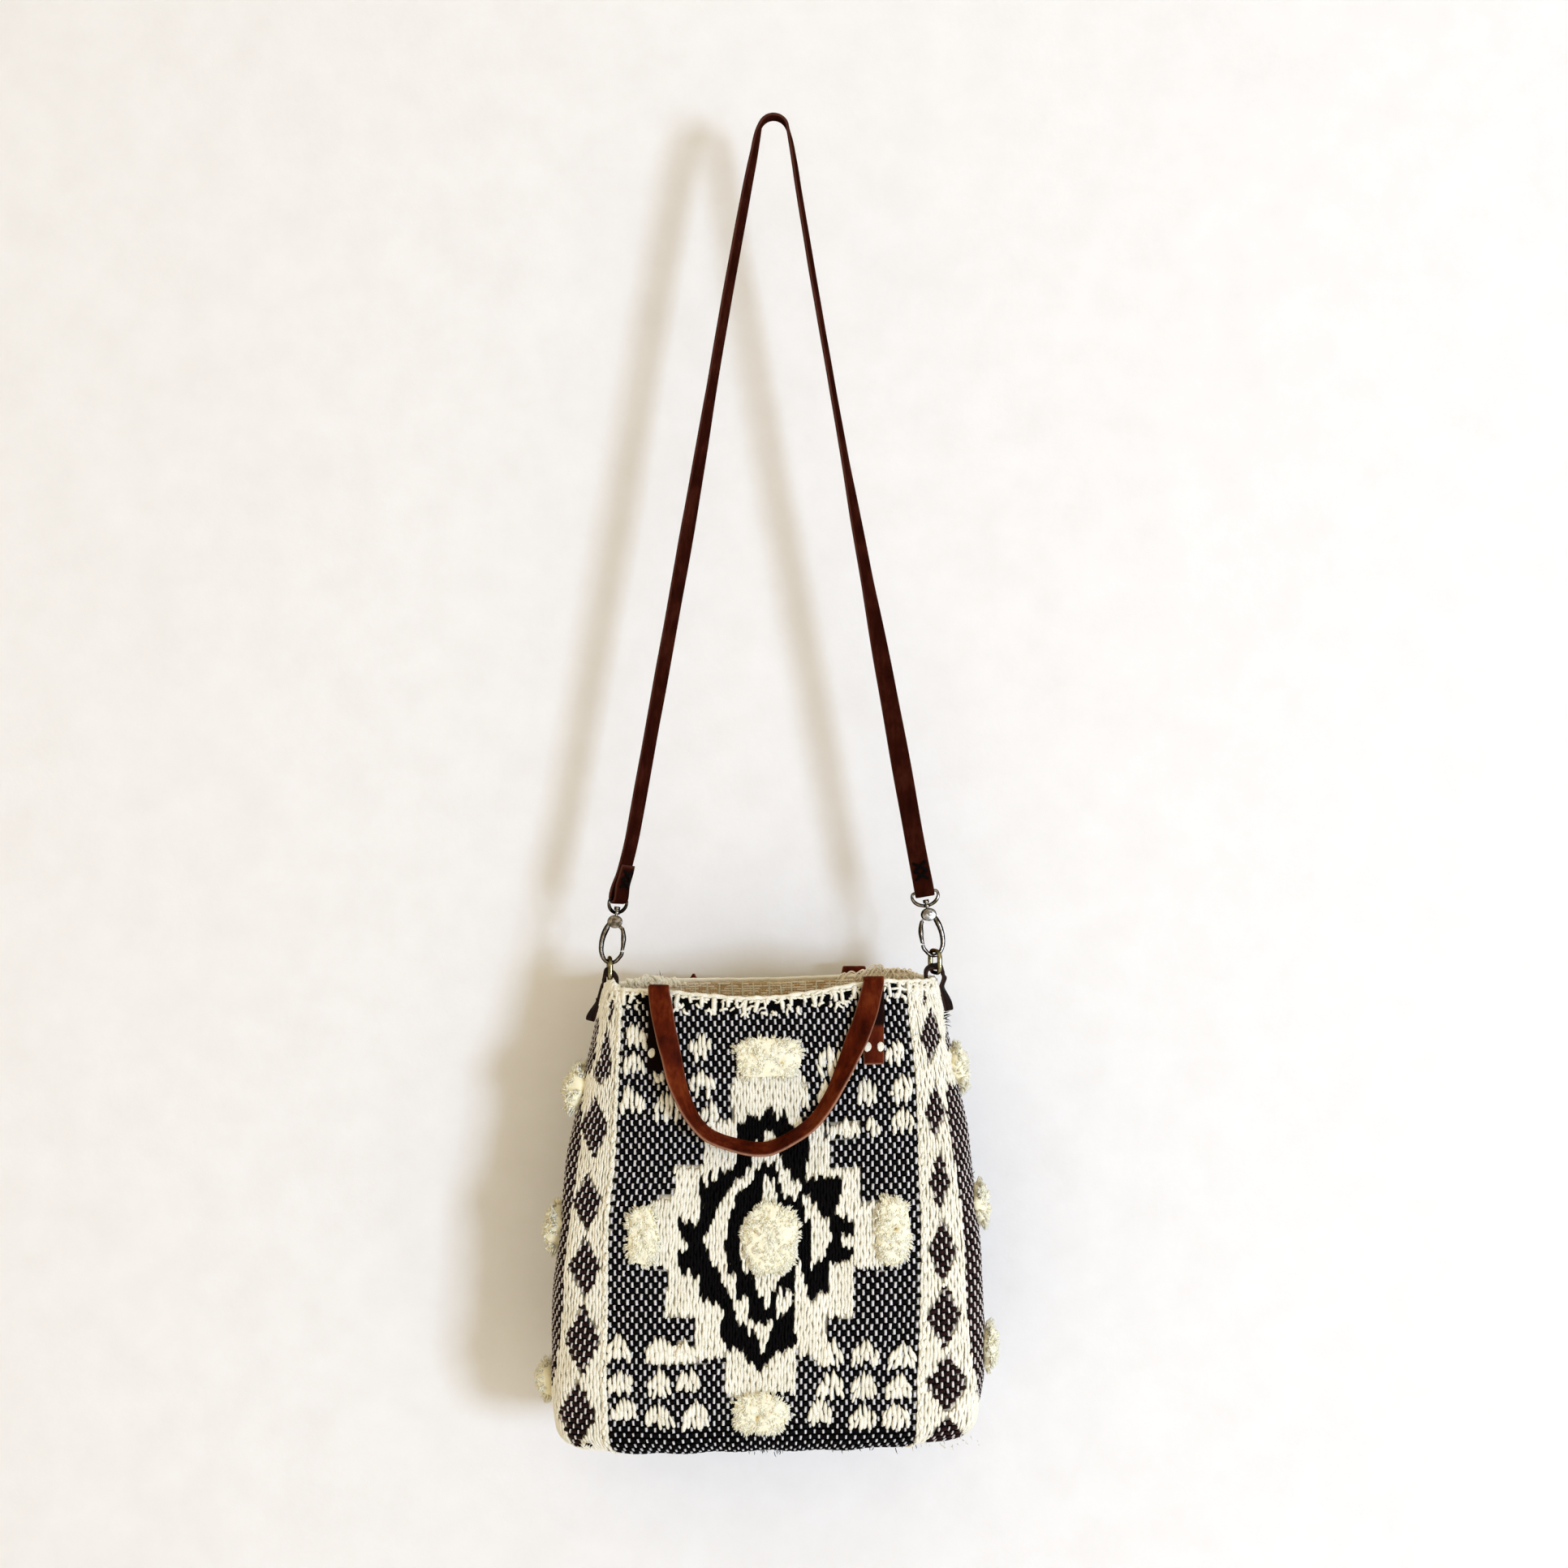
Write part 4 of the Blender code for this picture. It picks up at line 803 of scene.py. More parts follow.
FLOAT_LONG = float_template(((-0.72, 0.66), (-0.25, 1.0), (0.25, 1.0), (0.72, 0.66)))
FLOAT_MID = float_template(((-0.62, 0.76), (0.0, 1.0), (0.62, 0.76)))
FLOAT_PAD = float_template(((-0.90, 0.90), (0.0, 1.0), (0.90, 0.90)))
FLOAT_LEAF = float_template(((-0.70, 0.44), (-0.26, 0.90), (0.26, 1.0), (0.78, 0.76)))
FLOAT_DROP = float_template(((-0.86, 0.95), (-0.30, 1.0), (0.30, 0.86), (0.76, 0.55)))
FLOAT_LOW = float_template(((-0.84, 0.93), (0.84, 0.93)))
FLOAT_BLUNT = float_template(((-0.88, 0.92), (0.0, 1.0), (0.86, 0.88)))


def floats(name, template, k, m, length, width, height, base, tilt, mat, bend=0.0, drift=0.0, inside=False, tone=None):
    """Yarn floats on the bag's surface. k, m are their middles, sizes in mm, tilt in radians off the warp."""
    along, across, up, loops, starts = template
    k, m = np.asarray(k, float), np.asarray(m, float)
    n = len(k)
    if n == 0:
        return None

    def col(v):
        return np.broadcast_to(np.asarray(v, float), (n,))[:, None]

    a = along[None, :] * col(length) / 2
    b = across[None, :] * col(width) / 2 + col(bend) * (1 - along[None, :] ** 2) + col(drift) * along[None, :] ** 3
    c, s = np.cos(col(tilt)), np.sin(col(tilt))
    pitch_k, pitch_m = read(PITCH_K, k, m)[:, None], read(PITCH_M, k, m)[:, None]
    kk = k[:, None] + (b * c - a * s) / pitch_k
    mm = m[:, None] + (a * c + b * s) / pitch_m
    h = col(base) + up[None, :] * col(height)
    if inside:
        h = -h
    points = on_bag(kk, mm, h)
    tone = RNG.random(n) if tone is None else np.broadcast_to(tone, (n,))
    yarn = np.stack([np.broadcast_to(across[None, :], a.shape), a, np.broadcast_to(tone[:, None], a.shape)], axis=-1)
    # lift: height across the float, which the looks turn into painted shade where it dips
    lift = np.broadcast_to(np.clip(up, 0, 1)[None, :], a.shape)
    size = len(along)
    all_loops = (loops[None, :] + (np.arange(n) * size)[:, None]).ravel()
    all_starts = (starts[None, :] + (np.arange(n) * len(loops))[:, None]).ravel()
    if not inside:
        pass
    obj = raw_mesh(name, points, all_loops, all_starts, mat, {"yarn": ("FLOAT_VECTOR", yarn), "lift": ("FLOAT", lift)})
    fix_winding(obj)
    return obj


def fix_winding(obj):
    """Turns the faces outward where the whole mesh came out inside out (signed volume below zero)."""
    mesh = obj.data
    mesh.calc_loop_triangles()
    tris = np.empty(len(mesh.loop_triangles) * 3, np.int32)
    mesh.loop_triangles.foreach_get("vertices", tris)
    co = np.empty(len(mesh.vertices) * 3, np.float32)
    mesh.vertices.foreach_get("co", co)
    co = co.reshape(-1, 3).astype(float)
    t = co[tris.reshape(-1, 3)]
    # closed pieces: volume about each one's own place is what counts, and the total has the same sign
    if np.einsum("ij,ij->i", t[:, 0], np.cross(t[:, 1], t[:, 2])).sum() < 0:
        mesh.flip_normals()
    return obj


# ---------------------------------------------------------------- base cloth, lining, facing
def cloth_layer(name, outer, inner, top, end_m, mat, cols, rows, replaces, bottom=True, cream=False):
    """A closed cloth shell between two depths below the woven surface, open at the mouth."""
    k = np.arange(cols) * K_ALL / cols
    start = rim_m(k) + top
    share = np.linspace(0, 1, rows)
    m = start[:, None] + (end_m - start)[:, None] * share[None, :]
    sheets = []
    for depth in (outer, inner):
        p = on_bag(np.repeat(k[:, None], rows, axis=1), m, np.full(m.shape, -depth))
        sheets.append(np.swapaxes(p, 0, 1))  # rows x cols
    points, quads, cream_values = [], [], []
    offset = 0
    for index, p in enumerate(sheets):
        ring = [p]
        if bottom:
            last = p[-1]
            centre = last.mean(axis=0)
            for shrink in (0.8, 0.55, 0.3, 0.1):
                ring.append((centre + (last - centre) * shrink)[None])
        p = np.concatenate(ring, axis=0)
        q = grid_faces(p.shape[0], cols, closed_cols=True) + offset
        quads.append(q if index == 1 else q[:, ::-1])
        points.append(p.reshape(-1, 3))
        if cream:
            mm = np.swapaxes(m, 0, 1)
            kk = np.repeat(k[None, :], rows, axis=0)
            hem = mm - rim_m(k)[None, :]
            if index == 0:
                value = ((colour_on_bag(kk, mm) == CREAM) | ((hem < 2.4) & (kk > K_FRONT + 34) & (kk < K_ALL - 34))).astype(float)
            else:
                value = (hem < 4.5).astype(float)
            extra = np.zeros((p.shape[0] - rows, cols))
            cream_values.append(np.concatenate([value, extra], axis=0).ravel())
        offset += p.shape[0] * cols
    total_rows = len(points[0]) // cols
    half = total_rows * cols
    c = np.arange(cols)
    c1 = (c + 1) % cols
    quads.append(np.stack([c, c1, half + c1, half + c], axis=-1))
    if not bottom:
        e = (total_rows - 1) * cols
        quads.append(np.stack([e + c1, e + c, half + e + c, half + e + c1], axis=-1))
    extra = []
    if bottom:
        e = (total_rows - 1) * cols
        extra = [list(e + c), list((half + e + c)[::-1])]
    attributes = {"cream": ("FLOAT", np.concatenate(cream_values))} if cream else None
    obj = quads_object(name, np.concatenate(points), np.concatenate(quads), mat, attributes, extra)
    fix_winding(obj)
    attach(obj, "bag")
    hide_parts(*replaces)
    return obj


cloth_layer("bag_cloth", 0.15, 2.3, 0.0, M_END, BASE_CLOTH, K_ALL, 64, ["bag_shell"], cream=True)
cloth_layer("bag_lining", 3.1, 3.9, 41.0, M_END - 3.0, LINING, 92, 34, ["lining"])
cloth_layer("facing_band", 2.7, 3.6, 0.6, 46.5, FACING, K_ALL, 9, ["mouth_facing"], bottom=False)

# ---------------------------------------------------------------- ground check
ROW = 4.1  # mm per weft row
COUNT_ROWS = int(M_END / ROW)


def ground_check():
    i, j = np.meshgrid(np.arange(K_ALL), np.arange(COUNT_ROWS + 1), indexing="ij")
    k, m = i.ravel() + 0.5, (j.ravel() + 0.5) * ROW
    hem = 7.2 + 2.4 * np.sin(k * 0.9) * np.sin(k * 0.37 + 1.0)
    keep = (m > rim_m(k) + hem) & (m < M_END - 0.5)
    k, m, i, j = k[keep], m[keep], i.ravel()[keep], j.ravel()[keep]
    kind = colour_on_bag(k, m)
    ground = kind == CHECK
    k, m, i, j = k[ground], m[ground], i[ground], j[ground]
    pale = (i + j) % 2 == 0
    turn = np.clip((m - WALL + 11) / 9.0, 0, 1)
    jitter = RNG.normal(0, 1, (len(k), 4))
    # slow drift of the rows, as a hand loom leaves them
    m = m + 0.35 * np.sin(k * 0.13 + m * 0.02)
    zones = {"front": k < K_FRONT, "right": (k >= K_FRONT) & (k < K_FRONT + K_SIDE), "back": (k >= K_FRONT + K_SIDE) & (k < 2 * K_FRONT + K_SIDE), "left": k >= 2 * K_FRONT + K_SIDE}
    pitch = read(PITCH_K, k, m)
    for zone, where in zones.items():
        lean = {"front": -0.05, "right": -0.13, "back": 0.05, "left": 0.13}[zone]
        slim, long_ = (0.70, 1.04) if zone in ("left", "right") else (1.0, 1.0)
        p = where & pale
        obj = floats(
            f"check_warp_{zone}", FLOAT_PAD, k[p] + jitter[p, 0] * 0.035, m[p] + jitter[p, 1] * 0.14,
            (4.15 - 1.4 * turn[p]) * long_ * (1 + 0.06 * jitter[p, 2]), pitch[p] * slim * (0.765 - 0.09 * turn[p]) * (1 + 0.07 * jitter[p, 3]), 0.95, 0.15,
            lean + jitter[p, 2] * 0.08, GREY_YARN if zone in ("front", "back") else DUSKY_YARN,
        )
        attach(obj, "bag")
        p = where & ~pale
        obj = floats(
            f"check_weft_{zone}", FLOAT_LOW, k[p] + jitter[p, 0] * 0.03, m[p] + jitter[p, 1] * 0.12,
            pitch[p] * (1.30 + 0.06 * jitter[p, 3]), 3.5 + 0.3 * turn[p] + 0.12 * jitter[p, 2], 1.2, 0.05, math.pi / 2 + jitter[p, 2] * 0.06, BLACK_YARN if zone in ("front", "back") else MAROON_YARN,
        )
        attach(obj, "bag")


ground_check()


def bottom_check():
    """The flat bottom: the same check, carried across from front to back."""
    base = read(TABLE, np.arange(0, K_ALL), np.full(K_ALL, M_END - 0.01))
    z0 = base[:, 2].mean() - SHEAR * base[:, 0].mean()
    outline = base[:, :2]
    xs = np.arange(outline[:, 0].min(), outline[:, 0].max(), 3.3)
    ys = np.arange(outline[:, 1].min(), outline[:, 1].max(), ROW)
    pts, kinds = [], []
    a = (outline[:, 0].max() - outline[:, 0].min()) / 2
    b = (outline[:, 1].max() - outline[:, 1].min()) / 2
    cx = (outline[:, 0].max() + outline[:, 0].min()) / 2
    for i, x in enumerate(xs):
        for j, y in enumerate(ys):
            if (abs((x - cx) / a) ** 3.5 + abs(y / b) ** 3.5) < 0.93:
                pts.append((x, y))
                kinds.append((i + j) % 2)
    pts, kinds = np.array(pts), np.array(kinds)
    for label, kind, template, size, mat in (("warp", 0, FLOAT_PAD, (2.7, 4.6, 0.9), GREY_YARN), ("weft", 1, FLOAT_LOW, (4.2, 3.6, 0.7), BLACK_YARN)):
        along, across, up, loops, starts = template
        chosen = pts[kinds == kind]
        n = len(chosen)
        jit = RNG.normal(0, 0.05, n)[:, None]
        if kind == 0:
            x = chosen[:, :1] + across[None, :] * size[0] / 2 + along[None, :] * jit
            y = chosen[:, 1:] + along[None, :] * size[1] / 2
        else:
            x = chosen[:, :1] + along[None, :] * size[0] / 2
            y = chosen[:, 1:] + across[None, :] * size[1] / 2
        z = z0 + SHEAR * x + 0.1 - up[None, :] * size[2]
        tone = RNG.random(n)[:, None]
        yarn = np.stack([np.broadcast_to(across[None, :], x.shape), np.broadcast_to(along[None, :] * 2, x.shape), np.broadcast_to(tone, x.shape)], axis=-1)
        # lift: height across the float, which the looks turn into painted shade where it dips
        lift = np.broadcast_to(np.clip(up, 0, 1)[None, :], x.shape)
        size_v = len(along)
        obj = raw_mesh(
            f"bottom_{label}", np.stack([x, y, z], axis=-1),
            (loops[None, :] + (np.arange(n) * size_v)[:, None]).ravel(), (starts[None, :] + (np.arange(n) * len(loops))[:, None]).ravel(),
            mat, {"yarn": ("FLOAT_VECTOR", yarn), "lift": ("FLOAT", lift)},
        )
        fix_winding(obj)
        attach(obj, "bag")


bottom_check()

# ---------------------------------------------------------------- brocade
BROCADE_K, BROCADE_M = 2 / 3, 6.2  # spacing across (columns) and along (mm)


def brocade():
    count = int(round(K_ALL / BROCADE_K))
    step = K_ALL / count
    rows = int(M_END / BROCADE_M) + 1
    i, j = np.meshgrid(np.arange(count), np.arange(rows), indexing="ij")
    i, j = i.ravel(), j.ravel()
    k = (i + 0.5) * step
    phase = np.mod(i * 0.5 + 0.17 * np.sin(i * 2.7), 1.0)
    m = (j + phase) * BROCADE_M + RNG.normal(0, 0.35, len(i))
    keep = (m > rim_m(k) + 2.0) & (m < M_END - 0.6)
    i, j, k, m = i[keep], j[keep], k[keep], m[keep]
    chance = np.array([math.sin(q * 12.9898) * 43758.5453 % 1.0 for q in range(count)])[i] - 0.5
    ragged = np.where(i % 3 == 2, 2.6, -1.8) + chance * 3.0
    kind = colour_on_bag(k, m, dy=ragged)
    # how far each float may run either way before its colour ends
    reach = np.zeros((2, len(k)))
    for way, sign in enumerate((-1, 1)):
        open_ = np.ones(len(k), bool)
        for d in np.arange(0.6, 5.41, 0.6):
            open_ &= colour_on_bag(k, m + sign * d, dy=ragged) == kind
            reach[way] = np.where(open_, d, reach[way])
    full = 5.2 + RNG.normal(0, 0.5, len(k))
    up_, down_ = np.minimum(reach[0] + 0.9, full), np.minimum(reach[1] + 0.9, full)
    length, middle = up_ + down_, m + (down_ - up_) / 2
    jitter = RNG.normal(0, 1, (len(k), 5))
    slant = np.where((i + j) % 2 == 0, 0.09, -0.09)
    for colour, label, mat, height in ((CREAM, "cream", CREAM_YARN, 0.95), (BLACK, "black", BLACK_YARN, 0.95)):
        for zone, lo, hi in (("front", 0, K_FRONT), ("right", K_FRONT, K_FRONT + K_SIDE), ("back", K_FRONT + K_SIDE, 2 * K_FRONT + K_SIDE), ("left", 2 * K_FRONT + K_SIDE, K_ALL)):
            p = (kind == colour) & (k >= lo) & (k < hi) & (length > 2.2)
            if not p.any():
                continue
            pitch = read(PITCH_K, k[p], m[p])
            obj = floats(
                f"{label}_brocade_{zone}", FLOAT_LONG if zone == "front" and colour == CREAM else FLOAT_MID, k[p] + jitter[p, 0] * 0.04, middle[p],
                length[p], pitch * BROCADE_K * (1.30 + 0.08 * jitter[p, 2]), height + 0.10 * jitter[p, 3], 0.45,
                (slant[p] + jitter[p, 4] * 0.05) * np.clip(length[p] / 9.0, 0.2, 1), mat, bend=jitter[p, 0] * 0.13, drift=jitter[p, 2] * 0.12,
            )
            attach(obj, "bag")


brocade()

# small clusters of cream floats: centre x, y, width and height on the front plane, and how many yarns
CLUSTERS = (
    (785, 1275, 30, 30, 6), (863, 1287, 32, 36, 6), (782, 1309, 34, 28, 7), (866, 1333, 34, 34, 7), (782, 1354, 36, 34, 7),
    (812, 1326, 16, 14, 3), (822, 1361, 34, 40, 7), (871, 1371, 30, 30, 6),
    (1022, 1306, 32, 38, 6), (1102, 1296, 30, 32, 6), (1068, 1343, 28, 38, 6), (1110, 1342, 34, 36, 7), (1112, 1378, 30, 36, 6),
    (1046, 1388, 30, 26, 6), (1014, 1345, 14, 26, 3), (1076, 1386, 20, 24, 4),
    (764, 1658, 30, 36, 7), (812, 1662, 34, 36, 7), (845, 1664, 26, 30, 5), (1026, 1665, 26, 34, 6), (1066, 1665, 36, 36, 7), (1112, 1668, 36, 34, 7),
    (764, 1700, 32, 36, 7), (812, 1702, 30, 38, 7), (848, 1698, 34, 32, 7), (1022, 1705, 36, 36, 7), (1065, 1705, 34, 36, 7), (1107, 1706, 34, 34, 7),
    (768, 1735, 34, 28, 7), (812, 1742, 40, 30, 8), (857, 1742, 34, 38, 7), (1010, 1736, 32, 34, 7), (1063, 1744, 36, 32, 7), (1104, 1741, 36, 34, 7),
)


def place_of(px, py, front=True):
    """(k, m) on the front or back face of a point of the front plane."""
    y = -52.0
    for _ in range(5):
        f = 0.6 * (1500.0 + y) / 1500.0
        x, z = 7.8 + (px - 966.0) * f, -492.0 - (py - 966.0) * f
        level = min(max(z - SHEAR * x, LAST_LEVEL), TOP_LEVEL)
        y = panel_y(x, level)
    k, m = column_at(x, z, front)
    return float(k[0]), float(m[0])


def clusters():
    """Each is a row of upright leaf-shaped floats under a peaked outline, ending below in separate fingers."""
    for face, front in (("front", True), ("back", False)):
        k, m, length, width, tilt, bend, base = [], [], [], [], [], [], []
        sign = 1 if front else -1
        for index, (px, py, w, h, _) in enumerate(CLUSTERS):
            k0, m0 = place_of(px, py, front)
            wide, tall = w * 0.58, h * 0.58
            heap = py > 1600
            columns = max(3, int(round(w / (5.7 if heap else 6.3))))
            peak = RNG.uniform(-0.3, 0.3) if heap else RNG.uniform(-0.7, 0.7)
            fan = RNG.uniform(0.14, 0.30) if heap else RNG.uniform(0.06, 0.26)
            for q in range(columns):
                share = (q + 0.5) / columns * 2 - 1
                off = abs(share - peak * 0.6)
                top = m0 - tall / 2 + off * tall * (0.44 if heap else 0.36) + RNG.normal(0, 0.9 if heap else 1.4)
                cut = RNG.uniform(0.02, 0.16) if heap else RNG.uniform(0.14, 0.34)
                low = m0 + tall / 2 + 0.8 - (0.0 if (q + index) % 2 == 0 else tall * cut) + RNG.normal(0, 0.8)
                span = low - top
                parts_ = 2 if span > 11 else 1
                for part in range(parts_):
                    size = span if parts_ == 1 else span * (0.62 if part else 0.58)
                    centre = (top + low) / 2 if parts_ == 1 else (low - size / 2 if part else top + size / 2)
                    k.append(k0 + sign * (share * wide * 0.46 + RNG.normal(0, 0.32)) / 3.3)
                    m.append(centre)
                    length.append(size + 1.2)
                    width.append(3.65 + RNG.normal(0, 0.5))
                    tilt.append(sign * (-share * fan * (1.0 if heap else (-1.0 if part else 0.6)) + RNG.normal(0, 0.12)))
                    bend.append(RNG.normal(0, 0.35))
                    base.append(0.6 + 0.4 * (part == 0) + RNG.uniform(0, 0.45))
        obj = floats(f"cream_clusters_{face}", FLOAT_LEAF, k, m, np.array(length), np.array(width), 1.25, np.array(base), np.array(tilt), CREAM_YARN, bend=np.array(bend))
        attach(obj, "bag")


clusters()


# ---------------------------------------------------------------- leather
ACROSS_U = np.array((-1.0, -0.955, -0.86, -0.5, 0.0, 0.5, 0.86, 0.955, 1.0))
ACROSS_T = np.array((0.42, 0.80, 1.0, 1.02, 1.03, 1.02, 1.0, 0.80, 0.42))


def dense(rows, step):
    """Rows (centre and anything that travels with it) read evenly every step mm along a smooth curve."""
    p = np.asarray(rows, float)
    h = np.linalg.norm(np.diff(p[:, :3], axis=0), axis=1)
    keep = np.concatenate([[True], h > 1e-6])
    p = p[keep]
    h = np.linalg.norm(np.diff(p[:, :3], axis=0), axis=1)
    s = np.concatenate([[0], np.cumsum(h)])
    d = np.diff(p, axis=0) / h[:, None]
    tangent = np.vstack([d[:1], (d[1:] * h[:-1, None] + d[:-1] * h[1:, None]) / (h[1:] + h[:-1])[:, None], d[-1:]])
    at = np.linspace(0, s[-1], max(4, int(s[-1] / step)))
    i = np.clip(np.searchsorted(s, at, side="right") - 1, 0, len(h) - 1)
    t = ((at - s[i]) / h[i])[:, None]
    hh = h[i][:, None]
    return (2 * t**3 - 3 * t**2 + 1) * p[i] + (t**3 - 2 * t**2 + t) * hh * tangent[i] + (-2 * t**3 + 3 * t**2) * p[i + 1] + (t**3 - t**2) * hh * tangent[i + 1]


def leather(name, grid, thickness, mat, across_t, end_taper=True, ripple=0.0):
    """A closed flat solid about a grid of middle points (rows along it, columns across it), thinner at its cut edges."""
    grid = np.asarray(grid, float)
    rows, cols = grid.shape[:2]
    along = np.gradient(grid, axis=0)
    side = np.gradient(grid, axis=1)
    n = np.cross(side, along)
    n /= np.linalg.norm(n, axis=-1, keepdims=True) + 1e-9
    factor = np.tile(across_t[None, :], (rows, 1))
    if end_taper:
        factor[0] *= 0.5
        factor[1] *= 0.86
        factor[-1] *= 0.5
        factor[-2] *= 0.86
    wave = 0.0
    if ripple:
        r = np.arange(rows)[:, None]
        c = np.linspace(-1, 1, cols)[None, :]
        wave = ripple * (np.sin(r * 0.31 + 1.3) * 0.5 + np.sin(r * 0.083 + c * 1.4) + 0.6 * np.sin(r * 0.17 - c * 2.1 + 2.0))
    off = n * (thickness / 2 * factor)[..., None]
    lift = n * np.broadcast_to(np.asarray(wave), (rows, cols))[..., None]
    top, low = grid + off + lift, grid - off + lift
    points = np.concatenate([top.reshape(-1, 3), low.reshape(-1, 3)])
    half = rows * cols
    q = grid_faces(rows, cols)
    quads = [q, q[:, ::-1] + half]
    r = np.arange(rows - 1)
    for c, flip in ((0, False), (cols - 1, True)):
        a, b = r * cols + c, (r + 1) * cols + c
        e = np.stack([a, b, half + b, half + a], axis=-1)
        quads.append(e[:, ::-1] if flip else e)
    c = np.arange(cols - 1)
    for row, flip in ((0, True), (rows - 1, False)):
        a, b = row * cols + c, row * cols + c + 1
        e = np.stack([a, b, half + b, half + a], axis=-1)
        quads.append(e[:, ::-1] if flip else e)
    edge = np.zeros((rows, cols))
    edge[:, 0] = edge[:, -1] = 1.0
    edge[:, 1] = edge[:, -2] = 0.25
    edge[0] = edge[-1] = 1.0
    obj = quads_object(name, points, np.concatenate(quads), mat, {"edge": ("FLOAT", np.concatenate([edge.ravel(), edge.ravel()]))})
    return outward_faces(obj)


def outward_faces(obj):
    work = bmesh.new()
    work.from_mesh(obj.data)
    bmesh.ops.recalc_face_normals(work, faces=work.faces)
    work.to_mesh(obj.data)
    work.free()
    return obj


def ribbon_grid(rows, half):
    """Rows of (centre, width direction) to a grid of points across."""
    rows = np.asarray(rows, float)
    width = rows[:, 3:6] / np.linalg.norm(rows[:, 3:6], axis=1, keepdims=True)
    half = np.broadcast_to(np.asarray(half, float), (len(rows),))
    return rows[:, None, :3] + width[:, None, :] * ACROSS_U[None, :, None] * half[:, None, None]


STRAP_W, STRAP_T, STRAP_TOP_R, STRAP_FLAP = 14.3, 2.4, 10.8, 25.0
EYE_WIRE, HOOK_WIRE, RING_WIRE, GAP = 2.1, 2.9, 3.0, 0.15
BOW_Z = -47.5
RING_H, RING_W = 16.2, 18.0
EYE_L, EYE_R = (-114.6, -577.0), (111.6, -571.8)
TILT_L, TILT_R, TWIST_L, TWIST_R = -7.7, 9.5, 52.0, 0.0
HOOK_TURN_L, HOOK_TURN_R, RING_TURN_L, RING_TURN_R = 0.0, 12.0, 8.0, 17.0
TAB_W, TAB_T = 13.0, 2.4
LEFT_RUN = ((-20.4, -56.4), (-37.8, -152.4), (-62.1, -296.4), (-87.9, -440.4), (-105.4, -536.4))
RIGHT_RUN = ((19.2, -56.4), (35.4, -152.4), (60.9, -296.4), (87.6, -440.4), (104.9, -536.4))
LEFT_TURNS = ((0.0, 90.0), (26.0, 75.0), (60.0, 69.0), (200.0, 65.0), (300.0, 52.0), (580.0, 52.0))
RIGHT_TURNS = ((0.0, 90.0), (26.0, 79.0), (60.0, 75.0), (200.0, 74.0), (255.0, 68.0), (300.0, 57.0), (345.0, 49.0), (400.0, 27.0), (490.0, 7.0), (580.0, 0.0))
D = EYE_WIRE / 2 + GAP + 0.1 + STRAP_T / 2


def turn_at(z, table):
    return math.radians(float(np.interp(-z, [a for a, _ in table], [b for _, b in table])))


def clasp_axes(tilt, twist):
    lean = math.radians(tilt)
    down = np.array((math.sin(lean), 0.0, -math.cos(lean)))
    level = np.array((math.cos(lean), 0.0, math.sin(lean)))
    turn = math.radians(twist)
    return level * math.cos(turn) + np.array((0.0, math.sin(turn), 0.0)), down


def strand(run, eye, tilt, twist, table, flap_sign):
    side = math.copysign(1.0, eye[0])
    centre_z = STRAP_T / 2 - STRAP_TOP_R
    lean = math.radians(10.6)
    start = (side * STRAP_TOP_R * math.cos(lean), centre_z + STRAP_TOP_R * math.sin(lean))
    line = through([start, (side * 14.6, -27.0), *run, (eye[0], eye[1])], 28)
    bar, down = clasp_axes(tilt, twist)
    centres, widths, faces = [], [], []
    for i, (x, z) in enumerate(line):
        a = turn_at(z, table)
        before, after = line[max(i - 1, 0)], line[min(i + 1, len(line) - 1)]
        t = unit((after[0] - before[0], 0.0, after[1] - before[1]))
        w = np.array((math.cos(a), math.sin(a), 0.0))
        w = unit(w - t * np.dot(w, t))
        share = smooth(1.0 - (z - eye[1]) / 34.0)
        w = unit(lerp(w, bar, share))
        t = unit(lerp(t, down, share))
        seen = unit(np.cross(w, t))
        if np.dot(seen, (math.sin(a), -math.cos(a), 0.0)) < 0:
            seen = -seen
        centres.append(np.array((x, 0.0, z)) - flap_sign * seen * D * smooth(1.0 - (z - eye[1]) / 38.0))
        widths.append(w)
        faces.append(seen * flap_sign)
    pivot = np.array((eye[0], 0.0, eye[1]))
    n = unit(np.cross(bar, down))
    n = n if np.dot(n, faces[-1]) > 0 else -n
    count = len(centres)
    for k in range(1, 8):
        phi = math.pi * k / 8
        centres.append(pivot + D * (-n * math.cos(phi) + down * math.sin(phi)))
        widths.append(bar)
    heights = np.array([c[2] for c in centres[:count]])[::-1]

    def read_at(values, z):
        values = np.array(values[:count])[::-1]
        return np.array([np.interp(z, heights, values[:, q]) for q in range(3)])

    for k in range(6):
        z = centres[count - 1][2] + STRAP_FLAP * k / 5
        gap = lerp(2 * D, STRAP_T + GAP + 0.2, smooth(STRAP_FLAP * k / 5 / 11.0))
        centres.append(read_at(centres, z) + unit(read_at(faces, z)) * gap)
        widths.append(unit(read_at(widths, z)))
    return centres, widths, lambda z: (read_at(centres, z), unit(read_at(widths, z)), unit(read_at(faces, z)))


left_c, left_w, left_at = strand(LEFT_RUN, EYE_L, TILT_L, TWIST_L, LEFT_TURNS, 1.0)
right_c, right_w, right_at = strand(RIGHT_RUN, EYE_R, TILT_R, TWIST_R, RIGHT_TURNS, -1.0)


